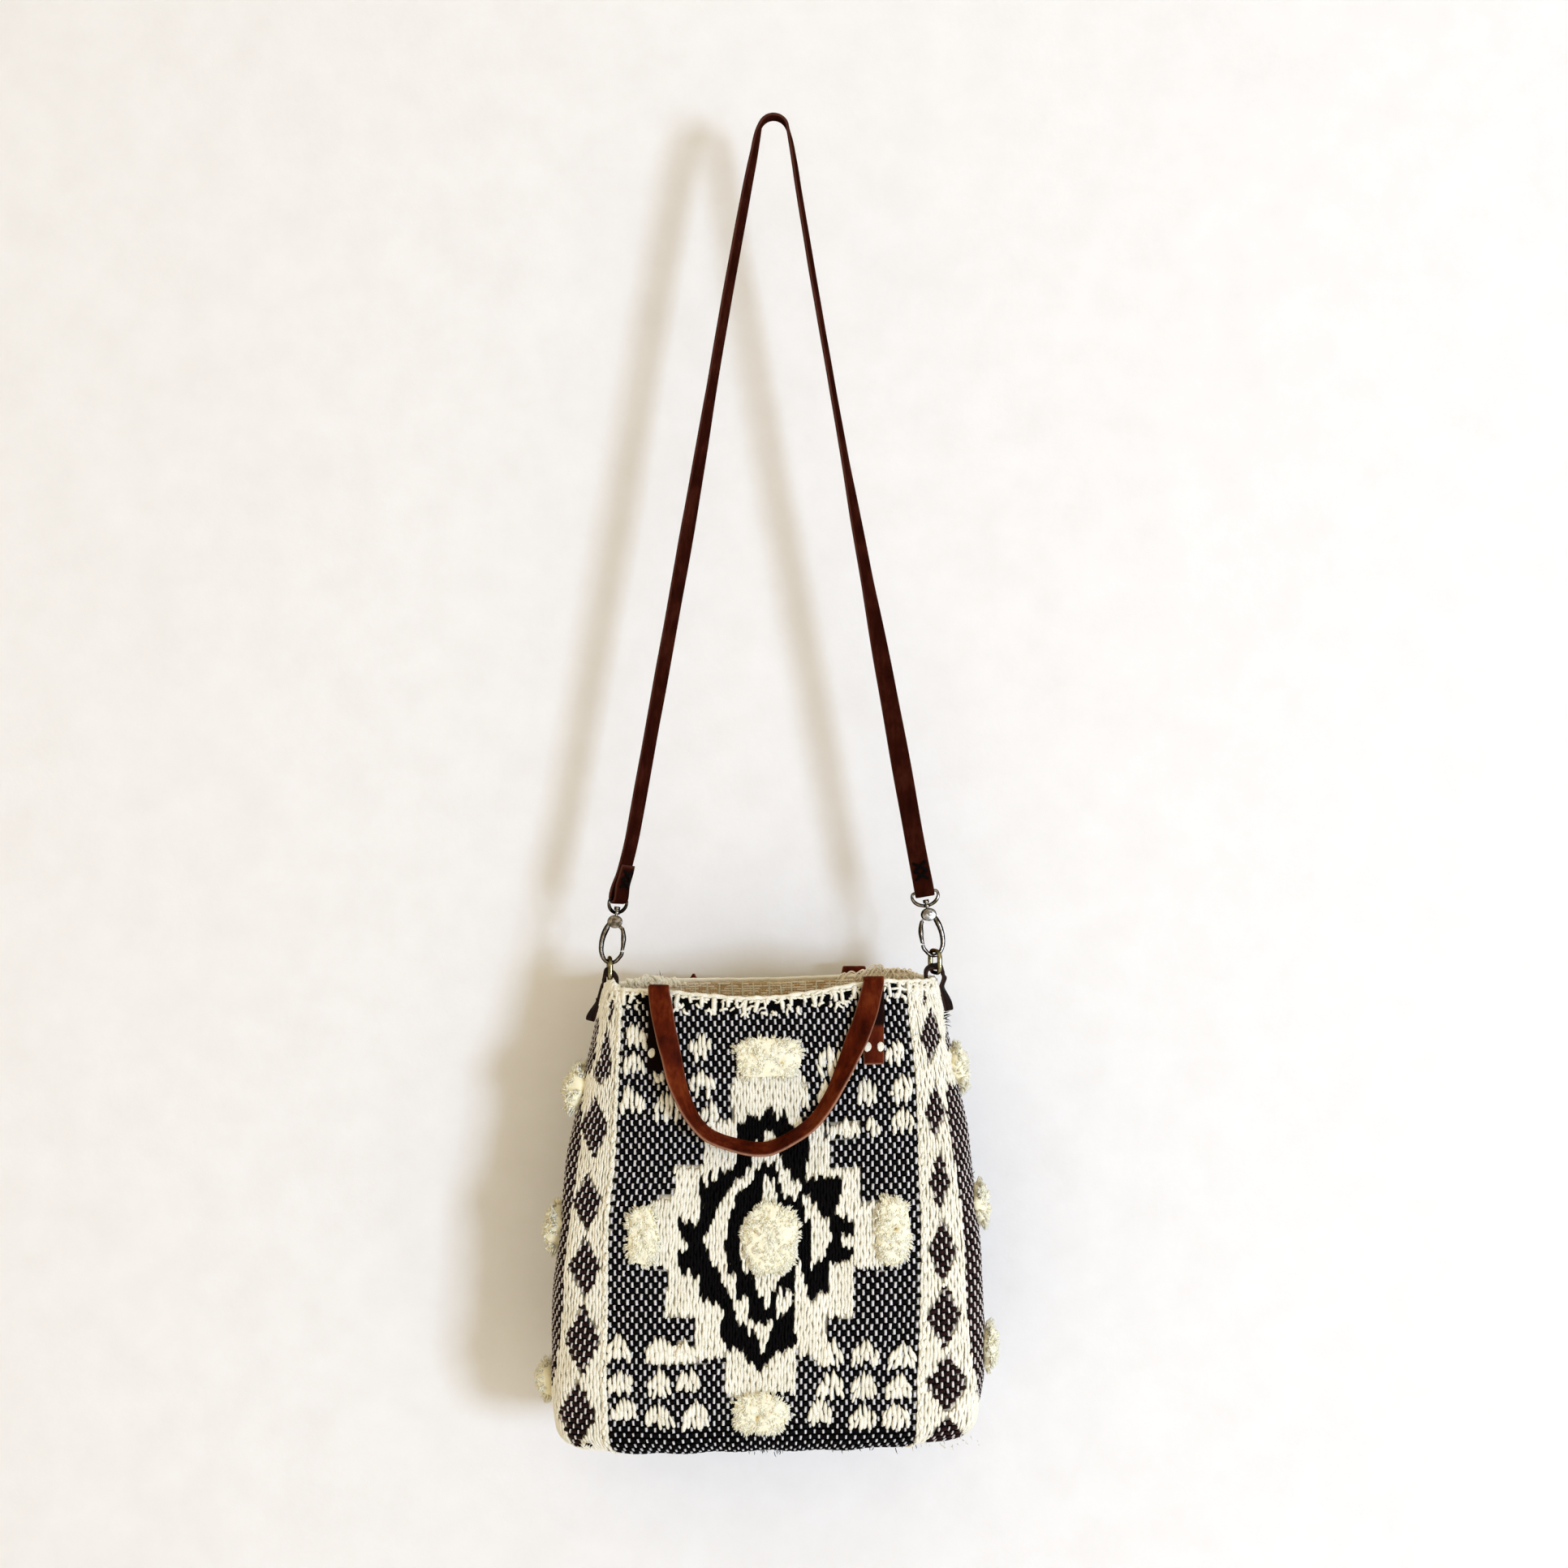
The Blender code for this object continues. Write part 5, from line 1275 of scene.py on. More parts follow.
def strap():
    arc_c, arc_w = [], []
    for degrees in np.linspace(180 - 10.6 - 14, 10.6 + 14, 11):
        a = math.radians(degrees)
        arc_c.append(np.array((STRAP_TOP_R * math.cos(a), 0.0, STRAP_T / 2 - STRAP_TOP_R + STRAP_TOP_R * math.sin(a))))
        arc_w.append(np.array((0.0, 1.0, 0.0)))
    rows = np.hstack([np.array(left_c[::-1] + arc_c + right_c), np.array(left_w[::-1] + arc_w + right_w)])
    rows = dense(rows, 2.3)
    count = len(rows)
    s = np.arange(count) * 1.44
    half = STRAP_W / 2 + 0.12 * np.sin(s * 0.11) + 0.10 * np.sin(s * 0.037 + 1.0)
    obj = leather("strap_leather_strip", ribbon_grid(rows, half), STRAP_T, STRAP_LEATHER, ACROSS_T, ripple=0.05)
    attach(obj, "strap")
    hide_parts("shoulder_strap")


strap()


def thong(name, frame, length, width, thick, arch, dive, body, slot_name, mat, replaces=None):
    """A short flat thong along the frame's X: arched in the middle, its two ends going down into their holes."""
    u = np.linspace(-1, 1, 21)
    rows = []
    for t in u:
        z = arch * (1 - t * t) - dive * max(0.0, (abs(t) - 0.78) / 0.22) ** 2
        w = width / 2 * (1.0 + 0.10 * math.sin(t * 9.0)) * (1.0 - 0.25 * max(0.0, (abs(t) - 0.8) / 0.2))
        rows.append([frame @ Vector((t * length / 2 * MM, v * w * MM, z * MM)) for v in ACROSS_U])
    grid = np.array([[list(p) for p in row] for row in rows]) / MM
    return leather(name, grid, thick, mat, ACROSS_T)


def join(objects, name):
    """One mesh out of several, keeping their attributes."""
    bpy.ops.object.select_all(action="DESELECT")
    for obj in objects:
        obj.select_set(True)
    bpy.context.view_layer.objects.active = objects[0]
    bpy.ops.object.join()
    objects[0].name = name
    return objects[0]


def lacing(side, eye, at, flap_sign, lift):
    z0 = eye[1] + STRAP_FLAP * 0.62
    main, w, face = at(z0)
    along = unit(at(z0 + 6.0)[0] - at(z0 - 6.0)[0])
    along = unit(along - w * np.dot(along, w))
    seen = unit(np.cross(w, along))
    if np.dot(seen, face) * flap_sign < 0:
        seen = -seen
    if flap_sign > 0:
        lift += STRAP_T + GAP + 0.2
    centre = main + seen * (lift + STRAP_T / 2 + GAP + 0.15)
    frame = Matrix((
        (w[0], along[0], seen[0], centre[0] * MM),
        (w[1], along[1], seen[1], centre[1] * MM),
        (w[2], along[2], seen[2], centre[2] * MM),
        (0, 0, 0, 1),
    ))
    bars = []
    for row, foot in enumerate((0.0, -6.4)):
        for flip in (1, -1):
            turn = Matrix.Rotation(math.atan2(6.4, 9.4) * flip, 4, "Z")
            bar = frame @ Matrix.Translation(Vector((0, (foot + 3.2) * MM, 0))) @ turn
            bars.append(thong(f"thong_{row}_{flip}", bar, 12.4, 2.1, 0.95, 0.35 if flip > 0 else 1.05, 1.1, None, None, THONG))
    obj = join(bars, f"{side}_thong_crosses")
    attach(obj, "strap")
    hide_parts(f"{side}_strap_lacing")


lacing("left", EYE_L, left_at, 1.0, 0.45)
lacing("right", EYE_R, right_at, -1.0, 0.45)


# ---------------------------------------------------------------- metal
def link(obj):
    bpy.context.scene.collection.objects.link(obj)
    return obj


def shift(x, y, z):
    return Matrix.Translation(Vector((x, y, z)) * MM)


def into(matrix, x, y, z):
    return np.array(matrix @ (Vector((x, y, z)) * MM)) / MM


def wire(name, points, radius, cyclic=False, sides=16, radii=None):
    """A round wire through the points (mm), as a closed mesh."""
    p = np.asarray(points, float)
    n = len(p)
    if cyclic:
        t = np.roll(p, -1, axis=0) - np.roll(p, 1, axis=0)
    else:
        t = np.gradient(p, axis=0)
    t /= np.linalg.norm(t, axis=1, keepdims=True) + 1e-12
    up = np.array((0.0, 1.0, 0.0)) if abs(t[0][1]) < 0.8 else np.array((1.0, 0.0, 0.0))
    frames = []
    a = unit(up - t[0] * np.dot(up, t[0]))
    for i in range(n):
        a = a - t[i] * np.dot(a, t[i])
        a = a / np.linalg.norm(a)
        frames.append(a.copy())
    a = np.array(frames)
    b = np.cross(t, a)
    if cyclic:  # spread the leftover twist along the loop
        end = a[-1] - t[0] * np.dot(a[-1], t[0])
        end /= np.linalg.norm(end)
        miss = math.atan2(np.dot(np.cross(end, a[0]), t[0]), np.dot(end, a[0]))
        turn = np.linspace(0, miss, n)[:, None]
        a, b = a * np.cos(turn) + b * np.sin(turn), b * np.cos(turn) - a * np.sin(turn)
    radii = np.full(n, radius, float) if radii is None else np.asarray(radii, float)
    angle = np.arange(sides) * 2 * math.pi / sides
    ring_points = p[:, None, :] + radii[:, None, None] * (a[:, None, :] * np.cos(angle)[None, :, None] + b[:, None, :] * np.sin(angle)[None, :, None])
    quads = grid_faces(n, sides, closed_rows=cyclic, closed_cols=True)
    extra = [] if cyclic else [list(range(sides))[::-1], [(n - 1) * sides + j for j in range(sides)]]
    s = np.concatenate([[0], np.cumsum(np.linalg.norm(np.diff(p, axis=0), axis=1))])
    yarn = np.stack([np.broadcast_to(np.sin(angle)[None, :], (n, sides)), np.broadcast_to(s[:, None], (n, sides)), np.full((n, sides), 0.5)], axis=-1)
    obj = quads_object(name, ring_points.reshape(-1, 3), quads, STEEL, {"yarn": ("FLOAT_VECTOR", yarn), "lift": ("FLOAT", np.full(n * sides, 0.85))}, extra)
    return outward_faces(obj)


def cylinder(name, radius, depth, matrix, segments=40, soft=0.22):
    mesh = bpy.data.meshes.new(name)
    work = bmesh.new()
    bmesh.ops.create_cone(work, cap_ends=True, segments=segments, radius1=radius * MM, radius2=radius * MM, depth=depth * MM)
    if soft:
        rims = [e for e in work.edges if abs(e.verts[0].co.z - e.verts[1].co.z) < 1e-9]
        bmesh.ops.bevel(work, geom=rims, offset=soft * MM, segments=2, affect="EDGES", profile=0.5)
    bmesh.ops.transform(work, matrix=matrix, verts=work.verts)
    work.to_mesh(mesh)
    work.free()
    return link(bpy.data.objects.new(name, mesh))


def block(name, size, matrix, soft=0.0):
    mesh = bpy.data.meshes.new(name)
    work = bmesh.new()
    bmesh.ops.create_cube(work, size=1.0)
    bmesh.ops.scale(work, vec=Vector(size) * MM, verts=work.verts)
    if soft:
        bmesh.ops.bevel(work, geom=work.edges[:], offset=soft * MM, segments=2, affect="EDGES", profile=0.5)
    bmesh.ops.transform(work, matrix=matrix, verts=work.verts)
    work.to_mesh(mesh)
    work.free()
    return link(bpy.data.objects.new(name, mesh))


def carve(obj, steps, mat):
    """Applies boolean steps (operation, other) in order, leaving one plain closed mesh."""
    for operation, other in steps:
        modifier = obj.modifiers.new(operation.lower(), "BOOLEAN")
        modifier.operation = operation
        modifier.object = other
        modifier.solver = "EXACT"
    bpy.context.view_layer.update()
    mesh = bpy.data.meshes.new_from_object(obj.evaluated_get(bpy.context.evaluated_depsgraph_get()))
    name = obj.name
    for _, other in steps:
        bpy.data.objects.remove(other, do_unlink=True)
    bpy.data.objects.remove(obj, do_unlink=True)
    mesh.materials.clear()
    mesh.materials.append(mat)
    mesh.polygons.foreach_set("material_index", [0] * len(mesh.polygons))
    mesh.shade_smooth()
    mesh.set_sharp_from_angle(angle=math.radians(38))
    new = link(bpy.data.objects.new(name, mesh))
    return new


HOOK_PATH = ((3.9, -18.6), (5.7, -22.6), (7.3, -28.0), (7.95, -34.0), (7.2, -40.6), (4.2, -45.8), (0.0, BOW_Z), (-4.0, -46.0), (-6.75, -42.4), (-7.75, -40.3), (-7.86, -38.35))
GATE_PATH = ((-5.6, -20.9), (-6.9, -24.4), (-7.75, -29.0), (-7.98, -33.5), (-7.84, -38.3))
PIN = (0.8, -16.2)
GATE_REACH = 22.95


def clasp_frame(eye, tilt, turn):
    return shift(eye[0], 0, eye[1]) @ Matrix.Rotation(math.radians(-tilt), 4, "Y") @ Matrix.Rotation(math.radians(turn), 4, "Z")


def across(frame_, x, z):
    return frame_ @ shift(x, 0, z) @ Matrix.Rotation(math.pi / 2, 4, "X")


def clasp(side, eye, tilt, twist, hook_turn, m):
    eye_frame = clasp_frame(eye, tilt, twist)
    loop = []
    for k in range(29):
        a = math.pi * k / 28
        loop.append((9.75 * math.cos(a), -2.6 - 7.6 * math.sin(a)))
    loop += [(-9.55, -1.5), (-9.1, -0.7), (-8.5, -0.2), (-7.6, 0.0), (-4.0, 0.0), (0.0, 0.0), (4.0, 0.0), (7.6, 0.0), (8.5, -0.2), (9.1, -0.7), (9.55, -1.5)]
    thick = [EYE_WIRE / 2 * (1.0 + 0.30 * abs(math.sin(2 * math.pi * min(i, 28) / 28))) for i in range(len(loop))]
    eye_wire = wire(f"{side}_clasp_eye", [into(eye_frame, x, 0, z) for x, z in loop], EYE_WIRE / 2, cyclic=True, radii=thick)
    eye_piece = carve(eye_wire, [
        ("UNION", cylinder("hub", 2.5, 2.5, eye_frame @ shift(0, 0, -10.15))),
        ("DIFFERENCE", cylinder("bore", 1.5, 5.0, eye_frame @ shift(0, 0, -10.15), soft=0)),
    ], STEEL)
    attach(eye_piece, "strap")
    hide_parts(f"{side}_swivel_eye")

    f = clasp_frame(eye, tilt, hook_turn)
    path = through([(m * x, z) for x, z in HOOK_PATH], 70)
    u = np.linspace(0, 1, 70)
    taper = HOOK_WIRE / 2 * (1.0 + 0.46 * np.exp(-(((u - 0.13) / 0.15) ** 2)) + 0.26 * np.exp(-(((u - 0.38) / 0.17) ** 2)))
    body = wire(f"{side}_clasp_hook", [into(f, x, 0, z) for x, z in path], HOOK_WIRE / 2, radii=taper)
    head = f @ shift(m * 0.3, 0, -16.9) @ Matrix.Diagonal((1.16, 1.0, 1.0, 1.0)) @ Matrix.Rotation(math.pi / 2, 4, "X")
    hook_piece = carve(body, [
        ("UNION", cylinder("head", 4.75, 4.8, head, segments=56, soft=0.5)),
        ("UNION", cylinder("post", 1.12, 6.4, f @ shift(0, 0, -9.9), segments=28, soft=0)),
        ("UNION", cylinder("post_head", 2.25, 2.6, f @ shift(0, 0, -7.05), segments=32, soft=0.4)),
        ("DIFFERENCE", block("slot", (12.5, 2.0, 9.0), f @ shift(-m * 2.75, 0, -18.0))),
        ("DIFFERENCE", cylinder("pin_bore", 1.3, 12.0, across(f, m * PIN[0], PIN[1]), segments=24, soft=0)),
    ], STEEL)
    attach(hook_piece, f"{side}_hook")
    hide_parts(f"{side}_hook_body")

    path = through([(m * x, z) for x, z in GATE_PATH], 30)
    bar = wire(f"{side}_clasp_gate", [into(f, x, 0, z) for x, z in path], HOOK_WIRE / 2 - 0.1, radii=(HOOK_WIRE / 2 - 0.1) * (1.0 + 0.40 * np.exp(-(((np.linspace(0, 1, 30) - 0.44) / 0.26) ** 2))))
    hinge = across(f, m * PIN[0], PIN[1])
    ax, az, bx, bz = m * PIN[0], PIN[1], -m * 6.0, -21.9
    arm = f @ shift((ax + bx) / 2, 0, (az + bz) / 2) @ Matrix.Rotation(-math.atan2(bz - az, bx - ax), 4, "Y")
    gate_piece = carve(bar, [
        ("INTERSECT", cylinder("reach", GATE_REACH, 8.0, hinge, segments=200, soft=0)),
        ("UNION", cylinder("gate_eye", 2.35, 1.3, hinge, segments=32, soft=0.12)),
        ("UNION", block("arm", (math.hypot(bx - ax, bz - az), 1.34, 2.6), arm)),
        ("DIFFERENCE", cylinder("gate_bore", 1.25, 4.0, hinge, segments=24, soft=0)),
    ], DARK_STEEL)
    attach(gate_piece, f"{side}_gate")
    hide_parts(f"{side}_gate")

    pin_frame = across(f, m * PIN[0], PIN[1])
    pin = cylinder(f"{side}_clasp_pin", 0.92, 6.0, pin_frame, segments=28, soft=0.25)
    pin_piece = carve(pin, [
        ("UNION", cylinder("cap_front", 1.75, 0.6, pin_frame @ shift(0, 0, 2.78), segments=32, soft=0.25)),
        ("UNION", cylinder("cap_back", 1.75, 0.6, pin_frame @ shift(0, 0, -2.78), segments=32, soft=0.25)),
    ], DARK_STEEL if side == "left" else STEEL)
    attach(pin_piece, f"{side}_hook")
    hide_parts(f"{side}_gate_pin")

    points = []
    for k in range(121):
        a = 2 * math.pi * k / 40
        points.append(into(f, m * 1.75 + 0.58 * math.cos(a), 0.58 * math.sin(a), -19.35 - 2.0 * k / 120))
    spring = wire(f"{side}_clasp_spring", points, 0.15, sides=8)
    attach(spring, f"{side}_hook")
    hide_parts(f"{side}_gate_spring")


def ring(side, x, top, turn):
    a = np.arange(400) * 2 * math.pi / 400
    y = RING_W / 2 * np.sign(np.cos(a)) * np.abs(np.cos(a)) ** 0.5
    z = RING_H / 2 * np.sign(np.sin(a)) * np.abs(np.sin(a)) ** 0.5
    t = math.radians(turn)
    loop = np.stack([x - y * math.sin(t), y * math.cos(t), top - RING_H / 2 + z], axis=1)
    closed = np.vstack([loop, loop[:1]])
    points = even(closed, 73)[:-1]
    reach = points[:, 1] / math.cos(t)
    share = np.clip((np.abs(reach) - 6.2) / 2.4, 0, 1) * np.clip((7.0 - np.abs(points[:, 2] - top + RING_H / 2)) / 2.6, 0, 1)
    points = points + (np.sign(reach) * 0.45 * share)[:, None] * np.array((-math.sin(t), math.cos(t), 0.0))
    obj = wire(f"{side}_brass_ring", points, RING_WIRE / 2, cyclic=True, sides=18, radii=RING_WIRE / 2 * (1.0 + 0.27 * share))
    obj.data.materials.clear()
    obj.data.materials.append(BRASS)
    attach(obj, f"{side}_ring")
    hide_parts(f"{side}_ring")


TAB_LEGS = {"left": (-7.3, 1.9), "right": (-5.8, 6.7)}
TAB_END = {"left": -667.0, "right": -659.5}


def tab(side, flip, bar_z):
    inner, outer = TAB_LEGS[side]

    def wall_x(z, y):
        level = z - SHEAR * (flip * 121.0)
        a, b, n = section(level)
        return float(middle_x(level) + flip * a * (1 - (abs(y) / b) ** n) ** (1 / n))

    base = bar_z - 1.4
    drop = base - TAB_END[side]
    stations = [("leg", inner, base - 30.0 + 1.5 * k, 0.0) for k in range(21)]
    stations += [("fold", math.pi * (1 - k / 30), None, 0.0) for k in range(1, 30)]
    for k in range(31):
        t = k / 30
        stations.append(("leg", lerp(outer, 2.1, smooth(t * drop / 11.0)), base - drop * t, 0.26 * smooth(t / 0.10) + 0.74 * smooth((t - 0.45) / 0.5) if side == "left" else 0.45 * smooth(t / 0.12) + 0.55 * smooth((t - 0.30) / 0.55)))
    grid = []
    for kind, u, z, flare in stations:
        row = []
        for share in ACROSS_U:
            v = TAB_W / 2 * share
            if kind == "fold":
                c, s = math.cos(u), math.sin(u)
                mid, half = (inner + outer) / 2, (outer - inner) / 2
                rise = (7.6 if side == "left" else 4.2) * (0.5 + 0.5 * c) ** 1.5
                high = 5.2 + rise * smooth((v + TAB_W / 2) / TAB_W)
                off = mid + half * math.copysign(abs(c) ** (2 / 3.0), c)
                height = base + high * abs(s) ** (2 / 3.0)
                x = wall_x(base, 0.0) + flip * off
            else:
                height = z
                off = u + flare * (0.3 + 6.5 * (v / TAB_W + 0.5))
                x = wall_x(z, v if z < base - 1 else 0.0) + flip * off
            row.append((x, v, height))
        grid.append(row)
    obj = leather(f"{side}_tab_strip", grid, TAB_T, TAB_LEATHER, ACROSS_T, ripple=0.07)
    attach(obj, "bag")
    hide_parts(f"{side}_tab")
    z = base - 13.0
    x = wall_x(z, 0.0) + flip * (2.1 + TAB_T / 2 + 0.65)
    at = Matrix(((0, 0, flip, x * MM), (1, 0, 0, 0), (0, flip, 0, z * MM), (0, 0, 0, 1)))
    stitch = thong(f"{side}_tab_thong", at, 8.6, 1.7, 0.95, 0.5, 0.9, None, None, THONG)
    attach(stitch, "bag")
    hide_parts(f"{side}_tab_stitch")


for side, eye, tilt, twist, hook_turn, flip, ring_turn in (
    ("left", EYE_L, TILT_L, TWIST_L, HOOK_TURN_L, -1.0, RING_TURN_L),
    ("right", EYE_R, TILT_R, TWIST_R, HOOK_TURN_R, 1.0, RING_TURN_R),
):
    clasp(side, eye, tilt, twist, hook_turn, flip)
    bow = into(clasp_frame(eye, tilt, hook_turn), 0, 0, BOW_Z)
    top = bow[2] + HOOK_WIRE / 2 + RING_WIRE / 2 + GAP + 0.35
    ring(side, bow[0], top, ring_turn)
    tab(side, flip, top - RING_H)

# ---------------------------------------------------------------- handles
FRONT_RUN = (
    (-81.8, -46.8, -640.2), (-78.0, -51.5, -662.5), (-72.6, -56.0, -685.3), (-67.0, -59.0, -707.9), (-56.0, -61.0, -730.5),
    (-41.7, -62.0, -743.0), (-12.9, -62.5, -750.7), (4.3, -62.3, -747.6), (27.2, -61.4, -733.2), (41.6, -59.8, -713.5),
    (54.9, -56.2, -685.1), (66.2, -51.4, -656.8), (71.8, -46.8, -634.2),
)
FRONT_TOP = ((-81.8, -638.6), (71.8, -632.4))
BACK_TOP = ((-66.0, -637.5), (61.0, -634.5))
HANDLE_W, HANDLE_T, ANCHOR_W, ANCHOR_T = 15.6, 2.5, 15.0, 2.2


def handle(face, front):
    run = np.array(FRONT_RUN)
    if not front:
        (x0, z0), (x1, z1) = FRONT_TOP
        (p0, q0), (p1, q1) = BACK_TOP
        t = (run[:, 0] - x0) / (x1 - x0)
        low = -2.6 * np.clip(1 - t / 0.12, 0, 1)
        run = np.stack([p0 + t * (p1 - p0), -run[:, 1] * 0.9 + 6.4, run[:, 2] - (z0 + t * (z1 - z0)) + q0 + t * (q1 - q0) + low], axis=1)
    line = through(run, 34)
    widths = []
    total = len(line) - 1
    for i, p in enumerate(line):
        t = unit(line[min(i + 1, total)] - line[max(i - 1, 0)])
        side = unit(np.cross(t, (0.0, 1.0, 0.0)))
        back = unit(np.cross(side, t))
        if back[1] < 0:
            back = -back
        share = i / total
        turn = math.radians(64.0) * smooth(min(share, 1 - share) / 0.36)
        if not front:
            back = -back
        widths.append(side * math.cos(turn) + back * math.sin(turn))
    ends = []
    for which, (x, z) in zip(("left", "right"), FRONT_TOP if front else BACK_TOP):
        bottom = z - (59.0 if which == "left" else 60.5)
        rows = []
        for k in range(9):
            zz = lerp(bottom, z - (1.8 if front or which == "right" else 4.4), k / 8)
            level = zz - SHEAR * x
            normal = outward(x, level, front)
            slope = np.array((2.0, panel_y(x + 1, level, front) - panel_y(x - 1, level, front), 0.0))
            w = unit(slope - normal * np.dot(slope, normal))
            p = np.array((x, panel_y(x, level, front), zz)) + normal * (0.5 + ANCHOR_T / 2)
            rows.append((*p, *w, ANCHOR_W / 2 + (0.0 if front or which == "left" else 2.3 * smooth((k - 4) / 4))))
        ends.append(rows)
    rows = list(ends[0])
    for index, start in ((0, line[0]), (1, line[-1])):
        last = np.array(ends[index][-1][:3])
        centre = (last + start) / 2
        arc = []
        for k in range(1, 10):
            phi = math.pi * k / 10
            p = centre + (last - centre) * math.cos(phi) + np.array((0.0, 0.0, 1.0)) * (3.0 if front else (0.3, 4.6)[index]) * math.sin(phi)
            share = k / 10
            w = unit(lerp(np.array(ends[index][-1][3:6]), np.array((1.0, 0.0, 0.0)), share))
            arc.append((*p, *w, lerp(ANCHOR_W, HANDLE_W, share) / 2 + (0.0 if front or index == 0 else 2.3 * (1 - share) ** 1.2)))
        if index == 0:
            rows += arc
            rows += [(*p, *w, HANDLE_W / 2) for p, w in zip(line, widths)]
        else:
            for entry in arc[::-1] + ends[1][::-1]:
                rows.append((*entry[:3], *(-np.array(entry[3:6])), entry[6]))
    rows = dense(np.array(rows), 1.25)
    s = np.arange(len(rows)) * 1.4
    half = rows[:, 6] + 0.16 * np.sin(s * 0.09 + (0 if front else 2)) + 0.10 * np.sin(s * 0.23)
    obj = leather(f"{face}_handle_strip", ribbon_grid(rows, half), HANDLE_T, HANDLE_LEATHER, ACROSS_T, ripple=0.08)
    # painted shade, with darker leather, under the left anchor's fold, and a painted shadow high on the right one
    travel = np.concatenate([[0], np.cumsum(np.linalg.norm(np.diff(rows[:, :3], axis=0), axis=1))])
    back = travel[-1] - travel
    # painted shade: the amount of near black mixed into the leather colour along each sewn end
    stain = np.clip((57.0 - travel) / 3.0, 0, 1) * 0.97 + np.clip((55.0 - back) / 3.0, 0, 1) * np.clip((back - 26.5) / 2.0, 0, 1) * 0.92
    if not front:
        stain = stain * 0.35
    layer = obj.data.attributes.new("stain", "FLOAT", "POINT")
    layer.data.foreach_set("value", np.tile(np.repeat(stain, len(ACROSS_U)), 2).astype(np.float32))
    # the bend lies between the sewn ends and the hanging loop, which run down side by side
    if front:
        start, end = (0.0, -44.932, -640.0), (-0.008, -46.675, -639.870)
    else:
        start, end = (0.0, 46.888, -640.0), (-0.001, 48.043, -639.923)
    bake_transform(obj)
    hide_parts(f"{face}_handle", f"{face}_left_anchor", f"{face}_right_anchor")
    # the thick cream stitches that hold the anchors
    pads = []
    for which, (x, z) in zip(("left", "right"), FRONT_TOP if front else BACK_TOP):
        bottom = z - (59.0 if which == "left" else 60.5)
        for shift_x, lean in ((-4.6, 0.12), (4.6, -0.10)):
            level = bottom + 12.5 - SHEAR * (x + shift_x)
            normal = outward(x + shift_x, level, front)
            up = unit(np.array((0.0, 0.0, 1.0)) - normal * normal[2])
            wide = np.cross(up, normal)
            c, s_ = math.cos(lean), math.sin(lean)
            up, wide = up * c + wide * s_, wide * c - up * s_
            spot = np.array((x + shift_x, panel_y(x + shift_x, level, front), bottom + 12.5)) + normal * (0.5 + ANCHOR_T + 0.1)
            for ply in range(4):
                off = (ply - 1.5) * 1.05
                t = np.linspace(-1, 1, 15)
                path = [spot + up * (a * (3.6 - 0.4 * abs(ply - 1.5)) + off * 0.12) + wide * (off * 1.12 * (1 - 0.62 * a * a)) + normal * (1.25 * (1 - a * a) - 0.4) for a in t]
                yarn = wire(f"ply_{ply}", path, 0.86, sides=8, radii=0.88 * np.sqrt(np.clip(1.02 - t**2 * 0.72, 0.05, 1)))
                yarn.data.materials.clear()
                yarn.data.materials.append(CREAM_YARN)
                pads.append(yarn)
    obj = join(pads, f"{face}_anchor_stitches")
    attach(obj, "bag")
    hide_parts(*[f"{face}_{a}_stitch_{b}" for a in ("left", "right") for b in ("a", "b")])


handle("front", True)
handle("back", False)


# ---------------------------------------------------------------- wool tufts
def strands(name, root, first, last, length, radius, tone, mat):
    """Fine closed fibres from root, leaving along first and bending towards last."""
    n = len(root)
    t = np.array((0.0, 0.62, 1.0))
    thick = np.array((1.0, 0.95, 0.0))
    centre = root[:, None, :] + length[:, None, None] * (first[:, None, :] * t[None, :, None] + (last - first)[:, None, :] * (t**2 / 2)[None, :, None])
    ref = np.where(np.abs(first[:, 2:3]) < 0.8, np.array([[0.0, 0.0, 1.0]]), np.array([[1.0, 0.0, 0.0]]))
    a = np.cross(first, ref)
    a /= np.linalg.norm(a, axis=1, keepdims=True)
    b = np.cross(first, a)
    spin = RNG.random(n) * math.pi
    points = []
    for ring_index in range(2):
        for side_index in range(3):
            angle = spin + side_index * 2 * math.pi / 3
            r = radius * thick[ring_index]
            points.append(centre[:, ring_index] + a * (np.cos(angle) * r)[:, None] + b * (np.sin(angle) * r)[:, None])
    points.append(centre[:, 2])
    points = np.stack(points, axis=1)
    loops, starts = [], []

    def face(*corners):
        starts.append(len(loops))
        loops.extend(corners)

    for j in range(3):
        face(j, (j + 1) % 3, 3 + (j + 1) % 3, 3 + j)
        face(3 + j, 3 + (j + 1) % 3, 6)
    face(2, 1, 0)
    loops, starts = np.array(loops), np.array(starts)
    # lift: the looks paint shade towards each fibre's root
    lift = np.tile(np.array([0.0] * 3 + [0.7] * 3 + [1.0])[None, :], (n, 1))
    yarn = np.stack([np.zeros_like(lift), lift * length[:, None], np.broadcast_to(tone[:, None], lift.shape)], axis=-1)
    obj = raw_mesh(
        name, points, (loops[None, :] + (np.arange(n) * 7)[:, None]).ravel(), (starts[None, :] + (np.arange(n) * len(loops))[:, None]).ravel(),
        mat, {"lift": ("FLOAT", lift), "yarn": ("FLOAT_VECTOR", yarn)},
    )
    return fix_winding(obj)


TUFTS = (
    ("top", -3.2, -688.0, 24.5, 14.6, 3.6),
    ("left", -92.6, -814.5, 11.6, 22.0, 2.6),
    ("middle", -1.4, -815.0, 20.5, 26.0, 2.3),
    ("right", 85.7, -810.5, 12.4, 25.5, 2.6),
    ("bottom", -8.9, -939.0, 21.2, 15.0, 2.3),
)

